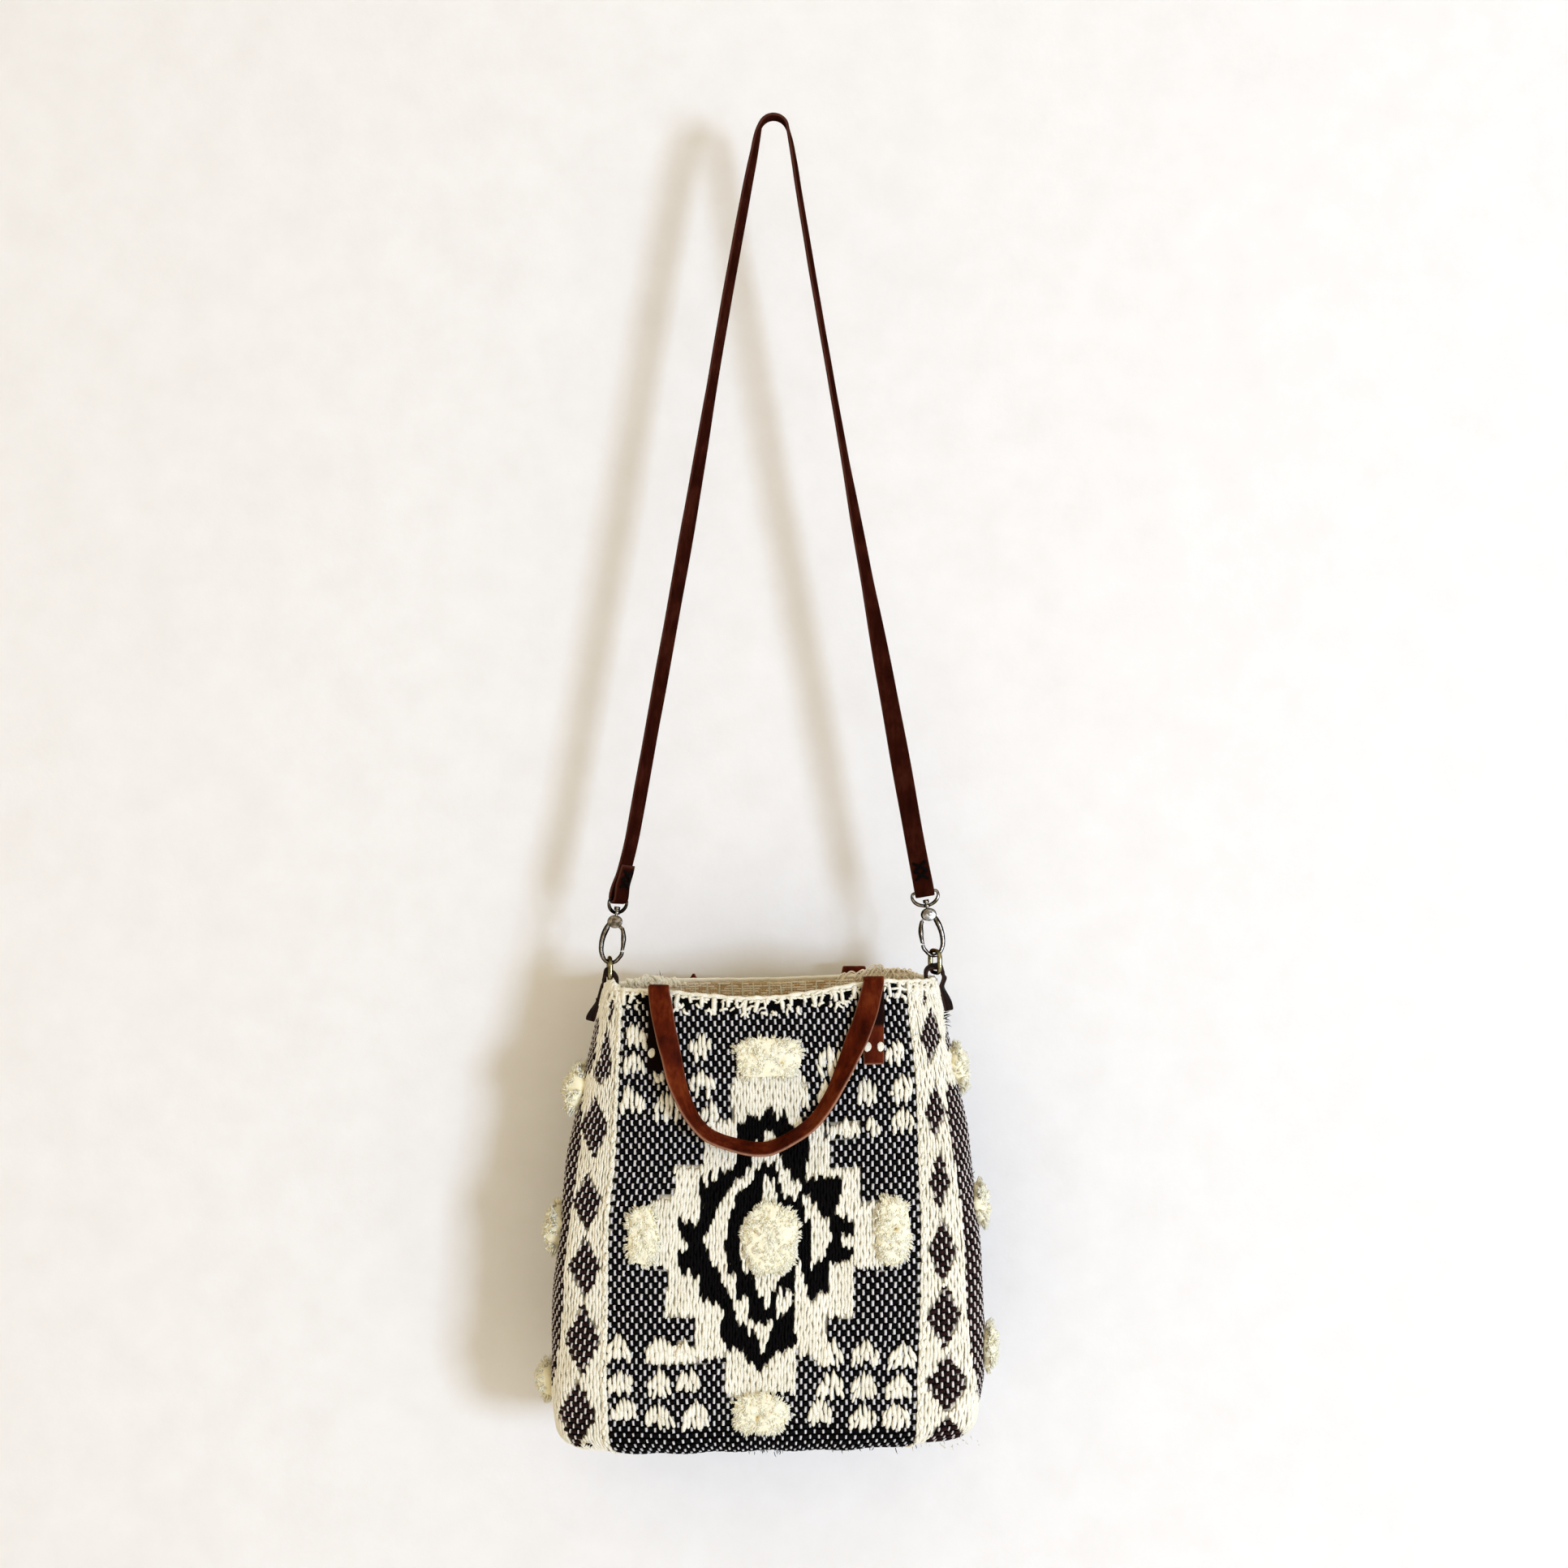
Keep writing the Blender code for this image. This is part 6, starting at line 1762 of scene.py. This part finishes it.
# places in the front tufts where the pile has parted: across, down, radius, depth
PARTED = {
    "right": ((1.3, -1.6, 1.7, 3.4), (-3.0, 9.0, 1.1, 1.6)),
    "bottom": ((-2.4, 2.3, 2.0, 2.6),),
    "middle": ((-8.0, -12.0, 1.2, 2.4), (-3.0, -15.0, 1.0, 2.2), (-11.5, -5.0, 1.1, 2.0), (4.5, 9.0, 1.0, 1.4)),
    "left": ((2.0, -9.0, 1.0, 1.6),),
    "top": ((9.0, 3.0, 1.1, 1.6), (-12.0, -3.0, 1.0, 1.4)),
}


def tuft_places():
    """(face, name, k, m, half width, half height, squareness) of each tuft."""
    out = []
    for name, x, z, wide, tall, square in TUFTS:
        for face, front in (("front", True), ("back", False)):
            xx = x if front else -5.0 - x
            zz = z if front else z - SHEAR * (2 * x + 5.0)
            k, m = column_at(xx, zz, front)
            out.append((face, name, float(k[0]), float(m[0]), wide, tall, square))
    for q, (z_left, z_right, size_l, size_r) in enumerate(((-717.0, -700.0, (14.0, 17.0), (13.5, 16.0)), (-818.0, -801.0, (14.5, 17.5), (13.5, 16.5)), (-929.0, -905.0, (13.5, 12.5), (13.5, 16.0)))):
        m = TOP_LEVEL - (z_right - SHEAR * 150.0)
        out.append(("right", str(q + 1), K_FRONT + K_SIDE / 2 - 2.0, m, *size_r, 2.3))
        m = TOP_LEVEL - (z_left + SHEAR * 150.0)
        out.append(("left", str(q + 1), 2 * K_FRONT + 1.5 * K_SIDE + 2.0, m, *size_l, 2.3))
    return out


def tufts():
    groups = {}
    for face, name, k0, m0, wide, tall, square in tuft_places():
        groups.setdefault(face, []).append((name, k0, m0, wide, tall, square))
    for face, members in groups.items():
        cores, roots, firsts, lasts, lengths, radii, tones = [], [], [], [], [], [], []
        side = face in ("left", "right")
        high = {"left": 12.4, "right": 9.6}.get(face, 4.8)
        for name, k0, m0, wide, tall, square in members:
            pitch_k = float(read(PITCH_K, np.array([k0]), np.array([m0]))[0])
            seeds = RNG.uniform(-1, 1, (60, 2)) * (wide, tall)
            lumps = RNG.normal(0, 1, 60)
            holes = PARTED.get(name, ()) if face == "front" else ()

            def dome(x, y):
                """Height of the pile's body: a soft cushion made of many small lumps."""
                c = np.abs(x / wide) ** square + np.abs(y / tall) ** square
                body = high * np.clip(1 - c, 0, 1) ** 0.42
                d2 = (x[..., None] - seeds[:, 0]) ** 2 + (y[..., None] - seeds[:, 1]) ** 2
                weight = np.exp(-d2 / 5.5)
                bump_ = (weight * lumps).sum(-1) / (weight.sum(-1) + 0.25)
                body = body * (1 + 0.17 * np.clip(bump_, -1.4, 1.4))
                for u, v, r_, deep in holes:
                    body = body - deep * np.exp(-((x - u) ** 2 + (y - v) ** 2) / r_**2)
                return np.maximum(body, 0.25)

            rings, around = (18, 72) if face == "front" else (12, 48)
            r = np.linspace(0.03, 0.985, rings)[:, None]
            a = np.arange(around)[None, :] * 2 * math.pi / around
            blob = 1.0 + (0.045 * np.sin(5 * a + k0) + 0.04 * np.sin(3 * a + m0)) * r
            c, s = np.cos(a), np.sin(a)
            x = r * blob * wide * 0.94 * np.sign(c) * np.abs(c) ** (2 / square)
            y = r * blob * tall * 0.94 * np.sign(s) * np.abs(s) ** (2 / square)
            h = dome(x, y) * (1 + RNG.normal(0, 0.05, x.shape)) + 0.3
            top = on_bag(k0 + x / pitch_k, m0 + y, h)
            low = on_bag(k0 + x / pitch_k, m0 + y, np.full(x.shape, 0.1))
            points = np.concatenate([top.reshape(-1, 3), low.reshape(-1, 3)])
            q = grid_faces(rings, around, closed_cols=True)
            half = rings * around
            j = np.arange(around)
            j1 = (j + 1) % around
            e = (rings - 1) * around
            quads = np.concatenate([q, q[:, ::-1] + half, np.stack([e + j, e + j1, half + e + j1, half + e + j], axis=-1)])
            # painted shade: darker low on the cushion and in the partings, passed to the looks as lift
            shade = np.clip(0.30 + 0.35 * h / high + RNG.normal(0, 0.12, h.shape), 0, 1)
            for u, v, r_, deep in holes:
                shade = shade - 0.9 * np.exp(-((x - u) ** 2 + (y - v) ** 2) / (r_ * 1.1) ** 2)
            depth = np.concatenate([shade.ravel(), np.zeros(half)])
            core = quads_object(
                f"core_{face}_{name}", points, quads, WOOL,
                {"lift": ("FLOAT", depth), "yarn": ("FLOAT_VECTOR", np.tile((0.0, 0.0, 0.5), (len(points), 1)))},
                [list(range(around))[::-1], list(half + np.arange(around))],
            )
            cores.append(outward_faces(core))
            # the clipped pile: bunches of short fibres, longer round the outline
            area = math.pi * wide * tall
            clumps = int(area * {"front": 0.23, "back": 0.11}.get(face, 0.19))
            each = 6
            rim_share = RNG.random(clumps) < 0.30
            angle = RNG.random(clumps) * 2 * math.pi
            rad = np.where(rim_share, RNG.uniform(0.86, 0.99, clumps), np.sqrt(RNG.random(clumps)) * 0.92)
            c, s = np.cos(angle), np.sin(angle)
            edge_noise = 1 + 0.05 * np.sin(angle * 5 + k0) + 0.05 * np.sin(angle * 9 + m0)
            x = rad * edge_noise * 0.95 * wide * np.sign(c) * np.abs(c) ** (2 / square)
            y = rad * edge_noise * 0.95 * tall * np.sign(s) * np.abs(s) ** (2 / square)
            n = clumps * each
            idx = np.repeat(np.arange(clumps), each)
            spread = RNG.normal(0, 0.50, (n, 2))
            xx, yy = x[idx] + spread[:, 0], y[idx] + spread[:, 1]
            for u, v, r_, deep in holes:  # fibres beside a parting lean away from it
                d = np.hypot(xx - u, yy - v) + 1e-6
                away = np.clip(1.35 * r_ - d, 0, None) / d
                xx, yy = xx + (xx - u) * away, yy + (yy - v) * away
            kk, mm = k0 + xx / pitch_k, m0 + yy
            base = np.maximum(dome(xx, yy) - 0.5, 0.1)
            root = on_bag(kk, mm, base)
            nn = read(NORMAL, kk, mm)
            e_k = on_bag(kk + 0.3, mm, base) - root
            e_k /= np.linalg.norm(e_k, axis=1, keepdims=True)
            e_m = np.cross(e_k, nn)
            e_m /= np.linalg.norm(e_m, axis=1, keepdims=True)
            down = on_bag(kk, mm + 0.5, base) - root
            e_m *= np.sign(np.sum(e_m * down, axis=1))[:, None]
            push = 0.35 + 1.5 * rad[idx] ** 4
            lean_x = (x / wide)[idx] * push + RNG.normal(0, 0.42, clumps)[idx] + RNG.normal(0, 0.22, n)
            lean_y = (y / tall)[idx] * push + 0.10 + RNG.normal(0, 0.42, clumps)[idx] + RNG.normal(0, 0.22, n)
            first = nn * 0.72 + e_k * lean_x[:, None] * 0.85 + e_m * lean_y[:, None] * 0.85
            first /= np.linalg.norm(first, axis=1, keepdims=True)
            last = nn * 0.35 + e_k * lean_x[:, None] * 1.7 + e_m * lean_y[:, None] * 1.7
            last /= np.linalg.norm(last, axis=1, keepdims=True)
            length = np.where(rim_share[idx], 5.6 if side else 3.6, 3.4 if side else 2.4) + RNG.normal(0, 0.45, n) + RNG.normal(0, 0.35, clumps)[idx]
            roots.append(root)
            firsts.append(first)
            lasts.append(last)
            lengths.append(np.clip(length, 1.2, 7.5))
            radii.append(RNG.uniform(0.42, 0.66, n) * {"front": 1.0, "back": 1.4}.get(face, 1.15))
            tones.append(np.clip(0.5 + RNG.normal(0, 0.28, clumps)[idx] + RNG.normal(0, 0.1, n), 0, 1))
        core = join(cores, f"tuft_cores_{face}")
        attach(core, "bag")
        names = [f"{face}_tuft_{member[0]}" for member in members]
        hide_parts(*names)
        pile = strands(f"tuft_pile_{face}", *[np.concatenate(v) for v in (roots, firsts, lasts, lengths, radii, tones)], WOOL)
        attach(pile, "bag")


tufts()


# ---------------------------------------------------------------- the mouth's edge
def recolour(obj, mat):
    obj.data.materials.clear()
    obj.data.materials.append(mat)
    return obj


def mouth_edge():
    count = 660
    k = np.arange(count) * K_ALL / count
    base = on_bag(k, rim_m(k), np.full(count, -1.2))
    front = base[:, 1] < 0
    s = k * 3.3
    wave = 0.55 * np.sin(s * 0.42 + 0.8) + 0.45 * np.sin(s * 0.19) + 0.30 * np.sin(s * 0.93 + 2.0)
    wave = np.where(front, wave, wave * 0.35)
    out = read(NORMAL, k, np.zeros(count) + 2.0)
    path = base + np.array((0, 0, 1.0)) * (1.15 + 0.5 * wave)[:, None] + out * (0.35 * np.sin(s * 0.61))[:, None]
    radii = 1.80 + 0.35 * np.sin(s * 0.77 + 1.0) + 0.22 * np.sin(s * 1.9) + RNG.normal(0, 0.06, count)
    radii = np.where(front, radii, radii * 0.86)
    # soften the change between faces
    radii = np.convolve(np.concatenate([radii[-3:], radii, radii[:3]]), np.ones(7) / 7, "valid")
    cord = recolour(wire("mouth_cord", path, 1.6, cyclic=True, sides=9, radii=radii), CREAM_YARN)
    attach(cord, "bag")
    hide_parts("rim_cord")

    # irregular blanket strokes over the black edge
    kk, mm, length, width, tilt, bend = [], [], [], [], [], []
    at = 0.6
    while at < K_ALL - 1.0:
        front_here = at < K_FRONT + 2 or at > K_ALL - 2
        big = RNG.random() < 0.78
        size = RNG.uniform(8.5, 14.5) if big else RNG.uniform(4.5, 7.5)
        kk.append(at)
        mm.append(size / 2 - 1.2)
        length.append(size)
        width.append(RNG.uniform(3.1, 4.5) if big else RNG.uniform(2.6, 3.6))
        tilt.append(RNG.normal(0, 0.30))
        bend.append(RNG.normal(0, 0.8))
        for _ in range(int(RNG.integers(1, 4)) + (1 if big else 0)):
            kk.append(at + RNG.uniform(0.4, 2.4))
            mm.append(RNG.uniform(2.5, 11.5))
            length.append(RNG.uniform(3.4, 7.0))
            width.append(RNG.uniform(1.9, 3.0))
            tilt.append(RNG.choice((math.pi / 2, 0.9, -0.9, 0.0)) + RNG.normal(0, 0.3))
            bend.append(RNG.normal(0, 0.9))
        at += RNG.uniform(1.9, 3.3) if front_here else RNG.uniform(2.2, 4.0)
    kk = np.array(kk)
    mm = np.array(mm) + rim_m(kk)
    obj = floats("mouth_blanket_strokes", FLOAT_BLUNT, kk, mm, np.array(length), np.array(width), 1.5, 0.6, np.array(tilt), CREAM_YARN, bend=np.array(bend))
    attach(obj, "bag")

    # short loops laid along the edge under the cord
    at = np.arange(0.0, K_ALL, 1.25)
    at = at[RNG.random(len(at)) < 0.72]
    at = at + RNG.normal(0, 0.25, len(at))
    obj = floats("mouth_edge_loops", FLOAT_MID, at, rim_m(at) + 1.0 + RNG.normal(0, 0.7, len(at)), RNG.uniform(4.0, 7.5, len(at)), RNG.uniform(1.7, 2.6, len(at)), 1.2, 0.3, math.pi / 2 + RNG.normal(0, 0.26, len(at)), CREAM_YARN, bend=RNG.normal(0, 0.5, len(at)))
    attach(obj, "bag")

    # inside the mouth: weft bars on the facing, upright ladder stitches over them
    kk, mm, tone = [], [], []
    for row in range(15):
        at = RNG.uniform(0, 1.5)
        while at < K_ALL:
            kk.append(at)
            mm.append(1.6 + row * 1.85 + RNG.normal(0, 0.14))
            at += RNG.uniform(1.35, 1.75)
    kk, mm = np.array(kk), np.array(mm)
    mm = mm + rim_m(kk)
    pale = (RNG.random(len(kk)) < 0.62)
    for label, where, mat in (("pale", pale, BEIGE_YARN), ("dark", ~pale, GOLD_YARN)):
        obj = floats(
            f"facing_bars_{label}", FLOAT_LOW, kk[where], mm[where], RNG.uniform(4.4, 6.0, where.sum()), 1.75 if label == "pale" else 1.35, 0.55 if label == "pale" else 0.42, 3.55,
            math.pi / 2 + RNG.normal(0, 0.05, where.sum()), mat, inside=True,
        )
        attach(obj, "bag")
    kk = np.arange(0.8, K_ALL, 3.05) + RNG.normal(0, 0.25, len(np.arange(0.8, K_ALL, 3.05)))
    obj = floats("facing_ladder", FLOAT_LONG, kk, rim_m(kk) + 7.0, 14.0 + RNG.normal(0, 1.0, len(kk)), 1.7, 0.95, 3.85, RNG.normal(0, 0.06, len(kk)), CREAM_YARN, inside=True)
    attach(obj, "bag")
    # cream hem piled up inside the two ends
    n = 560
    zone = RNG.integers(0, 2, n)
    kk = np.where(zone == 0, RNG.uniform(K_FRONT - 4, K_FRONT + K_SIDE + 6, n), RNG.uniform(2 * K_FRONT + K_SIDE - 9, K_ALL + 4, n))
    mm = rim_m(kk) + RNG.uniform(0.2, 13.0, n)
    obj = floats("hem_ends", FLOAT_MID, kk, mm, RNG.uniform(4.0, 7.5, n), RNG.uniform(1.8, 3.0, n), 1.3, 3.9, RNG.normal(0.5, 0.6, n), CREAM_YARN, inside=True, bend=RNG.normal(0, 0.4, n))
    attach(obj, "bag")


mouth_edge()


def hem_curls():
    """Slack yarn standing on the back rim near its two ends, and a few threads sticking up from it."""
    for label, lo, hi, count, rise, reach, thick, mat in (
        ("cream", 162.0, 182.0, 50, (1.8, 5.4), (2.5, 7.0), (0.95, 1.5), CREAM_YARN),
        ("heap", 199.0, 214.0, 54, (2.5, 7.5), (2.5, 7.0), (0.95, 1.45), CREAM_YARN),
        ("beige", 102.0, 122.0, 84, (3.2, 9.0), (8.0, 17.0), (0.40, 0.75), BEIGE_YARN),
    ):
        made = []
        for index in range(count):
            k0 = RNG.uniform(lo, hi)
            start = on_bag(k0, rim_m(np.array([k0]))[0] + RNG.uniform(0.5, 4.0), RNG.uniform(0.4, 1.4))
            span = RNG.uniform(*reach) * RNG.choice((-1.0, 1.0))
            k1 = k0 + span / 3.3
            end = on_bag(k1, rim_m(np.array([k1]))[0] + RNG.uniform(0.5, 5.0), -RNG.uniform(2.5, 10.0 if label == "heap" else 5.0))
            high = RNG.uniform(*rise) * math.sin(math.pi * np.clip((k0 - lo) / (hi - lo), 0.12, 0.88))
            crest = max(start[2], end[2]) + high
            wave = RNG.normal(0, 0.8, 3)
            path = []
            for t in np.linspace(0, 1, 12):
                p = lerp(start, end, t)
                p = p + np.array((wave[0] * math.sin(t * 9.0), wave[1] * math.sin(t * 7.0), 0.0)) * 0.5
                p[2] = lerp(start[2], end[2], t) + (crest - max(start[2], end[2]) + abs(start[2] - end[2]) * 0.5 + 1.5) * math.sin(math.pi * t) ** 0.8 + wave[2] * 0.3 * math.sin(t * 12.0)
                path.append(p)
            size = RNG.uniform(*thick)
            made.append(recolour(wire(f"curl_{index}", path, size, sides=5, radii=size * np.sqrt(np.clip(1.02 - np.linspace(-1, 1, 12) ** 6 * 0.8, 0.05, 1))), mat))
        obj = join(made, f"hem_curls_{label}")
        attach(obj, "bag")
    k0 = np.array([167.6, 167.8, 168.0, 171.0])
    root = on_bag(k0, rim_m(k0), -1.2)
    first = np.array([(-0.05, 0.0, 1.0), (0.12, 0.0, 0.95), (0.0, -0.1, 1.0), (0.35, 0.0, 0.9)])
    first /= np.linalg.norm(first, axis=1, keepdims=True)
    last = first + np.array([(-0.2, 0, 0.1), (0.3, 0, -0.1), (-0.6, 0.1, 0.0), (0.4, 0, -0.5)])
    obj = strands("rim_threads", root, first, last, np.array([9.5, 8.0, 7.0, 5.0]), np.array([0.34, 0.30, 0.36, 0.26]), np.array([0.3, 0.6, 0.4, 0.5]), BROWN_YARN)
    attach(obj, "bag")


hem_curls()


def seam_cords():
    """The chained cream yarn over the two seams of each face."""
    k, m, tilt = [], [], []
    for line in (-0.7, K_FRONT + 0.7, K_FRONT + K_SIDE - 0.7, 2 * K_FRONT + K_SIDE + 0.7):
        at, turn = 5.0, 0
        while at < M_END - 5.0:
            k.append(line + RNG.normal(0, 0.08) + (0.16 if turn % 2 else -0.16))
            m.append(at)
            tilt.append((0.20 if turn % 2 else -0.20) + RNG.normal(0, 0.06))
            at += 4.3 + RNG.normal(0, 0.3)
            turn += 1
    k, m = np.array(k) % K_ALL, np.array(m)
    m = m + rim_m(k)
    keep = m < M_END - 3.0
    k, m, tilt = k[keep], m[keep], np.array(tilt)[keep]
    obj = floats("seam_cords", FLOAT_LEAF, k, m, 6.4 + RNG.normal(0, 0.5, len(k)), 2.9 + RNG.normal(0, 0.25, len(k)), 1.35, 0.95, tilt, CREAM_YARN, bend=RNG.normal(0, 0.2, len(k)))
    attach(obj, "bag")


seam_cords()


# ---------------------------------------------------------------- loose ends
def loose_ends():
    """Frayed yarn ends: bunches of fine bent fibres standing off the cloth."""
    bunches = (
        # px, py of the front plane, count, length, spread, colour, which way in the plane
        (726, 1779, 20, 3.2, 1.2, "dark", (-0.5, -0.2)),
        (947, 1787, 44, 4.0, 9.0, "dark", (0.0, -1.0)),
        (1040, 1786, 26, 4.0, 30.0, "dark", (0.1, -1.0)),
        (1150, 1780, 22, 4.0, 18.0, "pale", (0.4, -0.8)),
        (1167, 1262, 15, 8.5, 2.5, "dark", (1.0, 0.3)),
        (1196, 1452, 26, 5.0, 5.0, "dark", (1.0, 0.1)),
        (1204, 1505, 16, 4.5, 4.0, "dark", (1.0, -0.2)),
        (692, 1478, 12, 4.5, 3.0, "pale", (-1.0, 0.5)),
        (690, 1590, 26, 4.0, 16.0, "dark", (-1.0, 0.0)),
        (1209, 1690, 26, 4.0, 16.0, "dark", (1.0, 0.0)),
    )
    for label, mat in (("dark", BLACK_YARN), ("pale", CREAM_YARN)):
        roots, firsts, lasts, lengths, radii, tones = [], [], [], [], [], []
        for px, py, count, length, spread, colour, way in bunches:
            if colour != label:
                continue
            x, z = 7.8 + (px - 966.0) * 0.582, -492.0 - (py - 966.0) * 0.582
            for _ in range(count):
                jx = RNG.normal(0, spread * (0.35 if abs(way[0]) > 0.6 else 1.0))
                jz = RNG.normal(0, spread * (1.0 if abs(way[0]) > 0.6 else 0.25))
                xx, zz = x + jx, z + jz
                level = min(max(zz - SHEAR * xx, LAST_LEVEL), TOP_LEVEL)
                a, b, n = section(level)
                share = min(0.985, abs((xx - middle_x(level)) / a))
                spot = np.array((middle_x(level) + math.copysign(share * a, xx), -b * (1 - share**n) ** (1 / n), max(zz, FLOOR_Z + 1.0 + SHEAR * xx)))
                if abs(way[0]) > 0.6:
                    spot[1] *= RNG.uniform(0.3, 1.0)
                elif way[1] < -0.5:
                    spot[1] = -RNG.uniform(25, 50)
                    spot[2] = FLOOR_Z + SHEAR * spot[0] + 0.6
                first = unit(np.array((way[0], -0.35, way[1])) + RNG.normal(0, 0.35, 3))
                last = unit(np.array((way[0] * 0.5, -0.1, way[1] * 0.6 - 0.5)) + RNG.normal(0, 0.8, 3))
                roots.append(spot)
                firsts.append(first)
                lasts.append(last)
                lengths.append(max(1.5, length * RNG.uniform(0.5, 1.3)))
                radii.append(RNG.uniform(0.22, 0.42) * (1.6 if count < 20 else 1.0))
                tones.append(RNG.random())
        obj = strands(f"loose_ends_{label}", *[np.array(v) for v in (roots, firsts, lasts, lengths, radii, tones)], mat)
        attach(obj, "bag")


loose_ends()


# ---------------------------------------------------------------- stage, camera, light
def stage():
    wall_mat, tree, shader = material("stage_wall_look")
    grain = noise(tree, coords(tree), 26.0, 5.0, 0.6)
    tree.links.new(ramp(tree, grain, ((0.3, (0.86, 0.835, 0.81)), (0.7, (0.90, 0.88, 0.86)))), shader.inputs["Base Color"])
    shader.inputs["Roughness"].default_value = 0.9
    bump(tree, shader, noise(tree, coords(tree), 90.0, 4.0, 0.6), 0.12, 0.002)
    out = tree.nodes["Material Output"]
    clear = tree.nodes.new("ShaderNodeBsdfTransparent")
    facing = tree.nodes.new("ShaderNodeNewGeometry")
    mix = tree.nodes.new("ShaderNodeMixShader")
    tree.links.new(facing.outputs["Backfacing"], mix.inputs[0])
    tree.links.new(shader.outputs[0], mix.inputs[1])
    tree.links.new(clear.outputs[0], mix.inputs[2])
    tree.links.new(mix.outputs[0], out.inputs["Surface"])
    wall = quads_object("backdrop", [(-6000, 72, -1600), (6000, 72, -1600), (6000, 72, 4000), (-6000, 72, 4000)], [(0, 1, 2, 3)], wall_mat)
    if wall.data.polygons[0].normal.y > 0:
        wall.data.flip_normals()
    floor_mat, tree, shader = material("stage_floor_look")
    grain = noise(tree, coords(tree), 30.0, 4.0, 0.6)
    tree.links.new(ramp(tree, grain, ((0.3, (0.84, 0.82, 0.80)), (0.7, (0.88, 0.865, 0.85)))), shader.inputs["Base Color"])
    shader.inputs["Roughness"].default_value = 0.85
    floor = quads_object("floor", [(-6000, -6000, -1600), (6000, -6000, -1600), (6000, 6000, -1600), (-6000, 6000, -1600)], [(0, 1, 2, 3)], floor_mat)


stage()


def light(name, place, target, size, power, colour=(1.0, 1.0, 1.0), shape="SQUARE", size_y=None):
    data = bpy.data.lights.new(name, "AREA")
    data.shape = shape
    data.size = size
    if size_y is not None:
        data.shape = "RECTANGLE"
        data.size_y = size_y
    data.energy = power
    data.color = colour
    obj = bpy.data.objects.new(name, data)
    bpy.context.scene.collection.objects.link(obj)
    obj.location = place
    obj.rotation_mode = "QUATERNION"
    obj.rotation_quaternion = (Vector(target) - Vector(place)).to_track_quat("-Z", "Y")
    return obj


light("key_window", (3.45, -4.35, -0.96), (0.0, 0.0, -0.70), 1.25, 214.0, (0.61, 0.755, 1.0))
light("fill_back", (-0.6, 2.6, 0.3), (0.0, 0.0, -0.6), 2.2, 34.0, (1.0, 0.99, 0.98))

world = bpy.context.scene.world or bpy.data.worlds.new("studio")
bpy.context.scene.world = world
world.use_nodes = True
tree = world.node_tree
place_in_sky = tree.nodes.new("ShaderNodeTexCoord")
parts = tree.nodes.new("ShaderNodeSeparateXYZ")
tree.links.new(place_in_sky.outputs["Generated"], parts.inputs[0])
sky = ramp(tree, maths(tree, "MULTIPLY_ADD", parts.outputs[2], 0.5), ((0.0, (0.60, 0.49, 0.32)), (0.42, (0.67, 0.55, 0.375)), (0.50, (0.73, 0.61, 0.42)), (0.62, (1.0, 0.856, 0.61)), (1.0, (1.0, 0.875, 0.645))))
sky.node.inputs["Fac"].links[0].from_node.inputs[2].default_value = 0.5
tree.links.new(sky, tree.nodes["Background"].inputs["Color"])
tree.nodes["Background"].inputs["Strength"].default_value = 0.81

camera_data = bpy.data.cameras.new("front_camera")
camera_data.sensor_width = 36.0
camera_data.lens = 36.0 * 1.5 / (1932 * 0.0006)
camera_data.clip_start, camera_data.clip_end = 0.05, 50.0
camera = bpy.data.objects.new("front_camera", camera_data)
bpy.context.scene.collection.objects.link(camera)
camera.location = (0.0078, -1.5, -0.492)
camera.rotation_euler = (math.pi / 2, 0.0, 0.0)
bpy.context.scene.camera = camera
bpy.context.scene.view_settings.view_transform = "Standard"
bpy.context.scene.view_settings.look = "None"
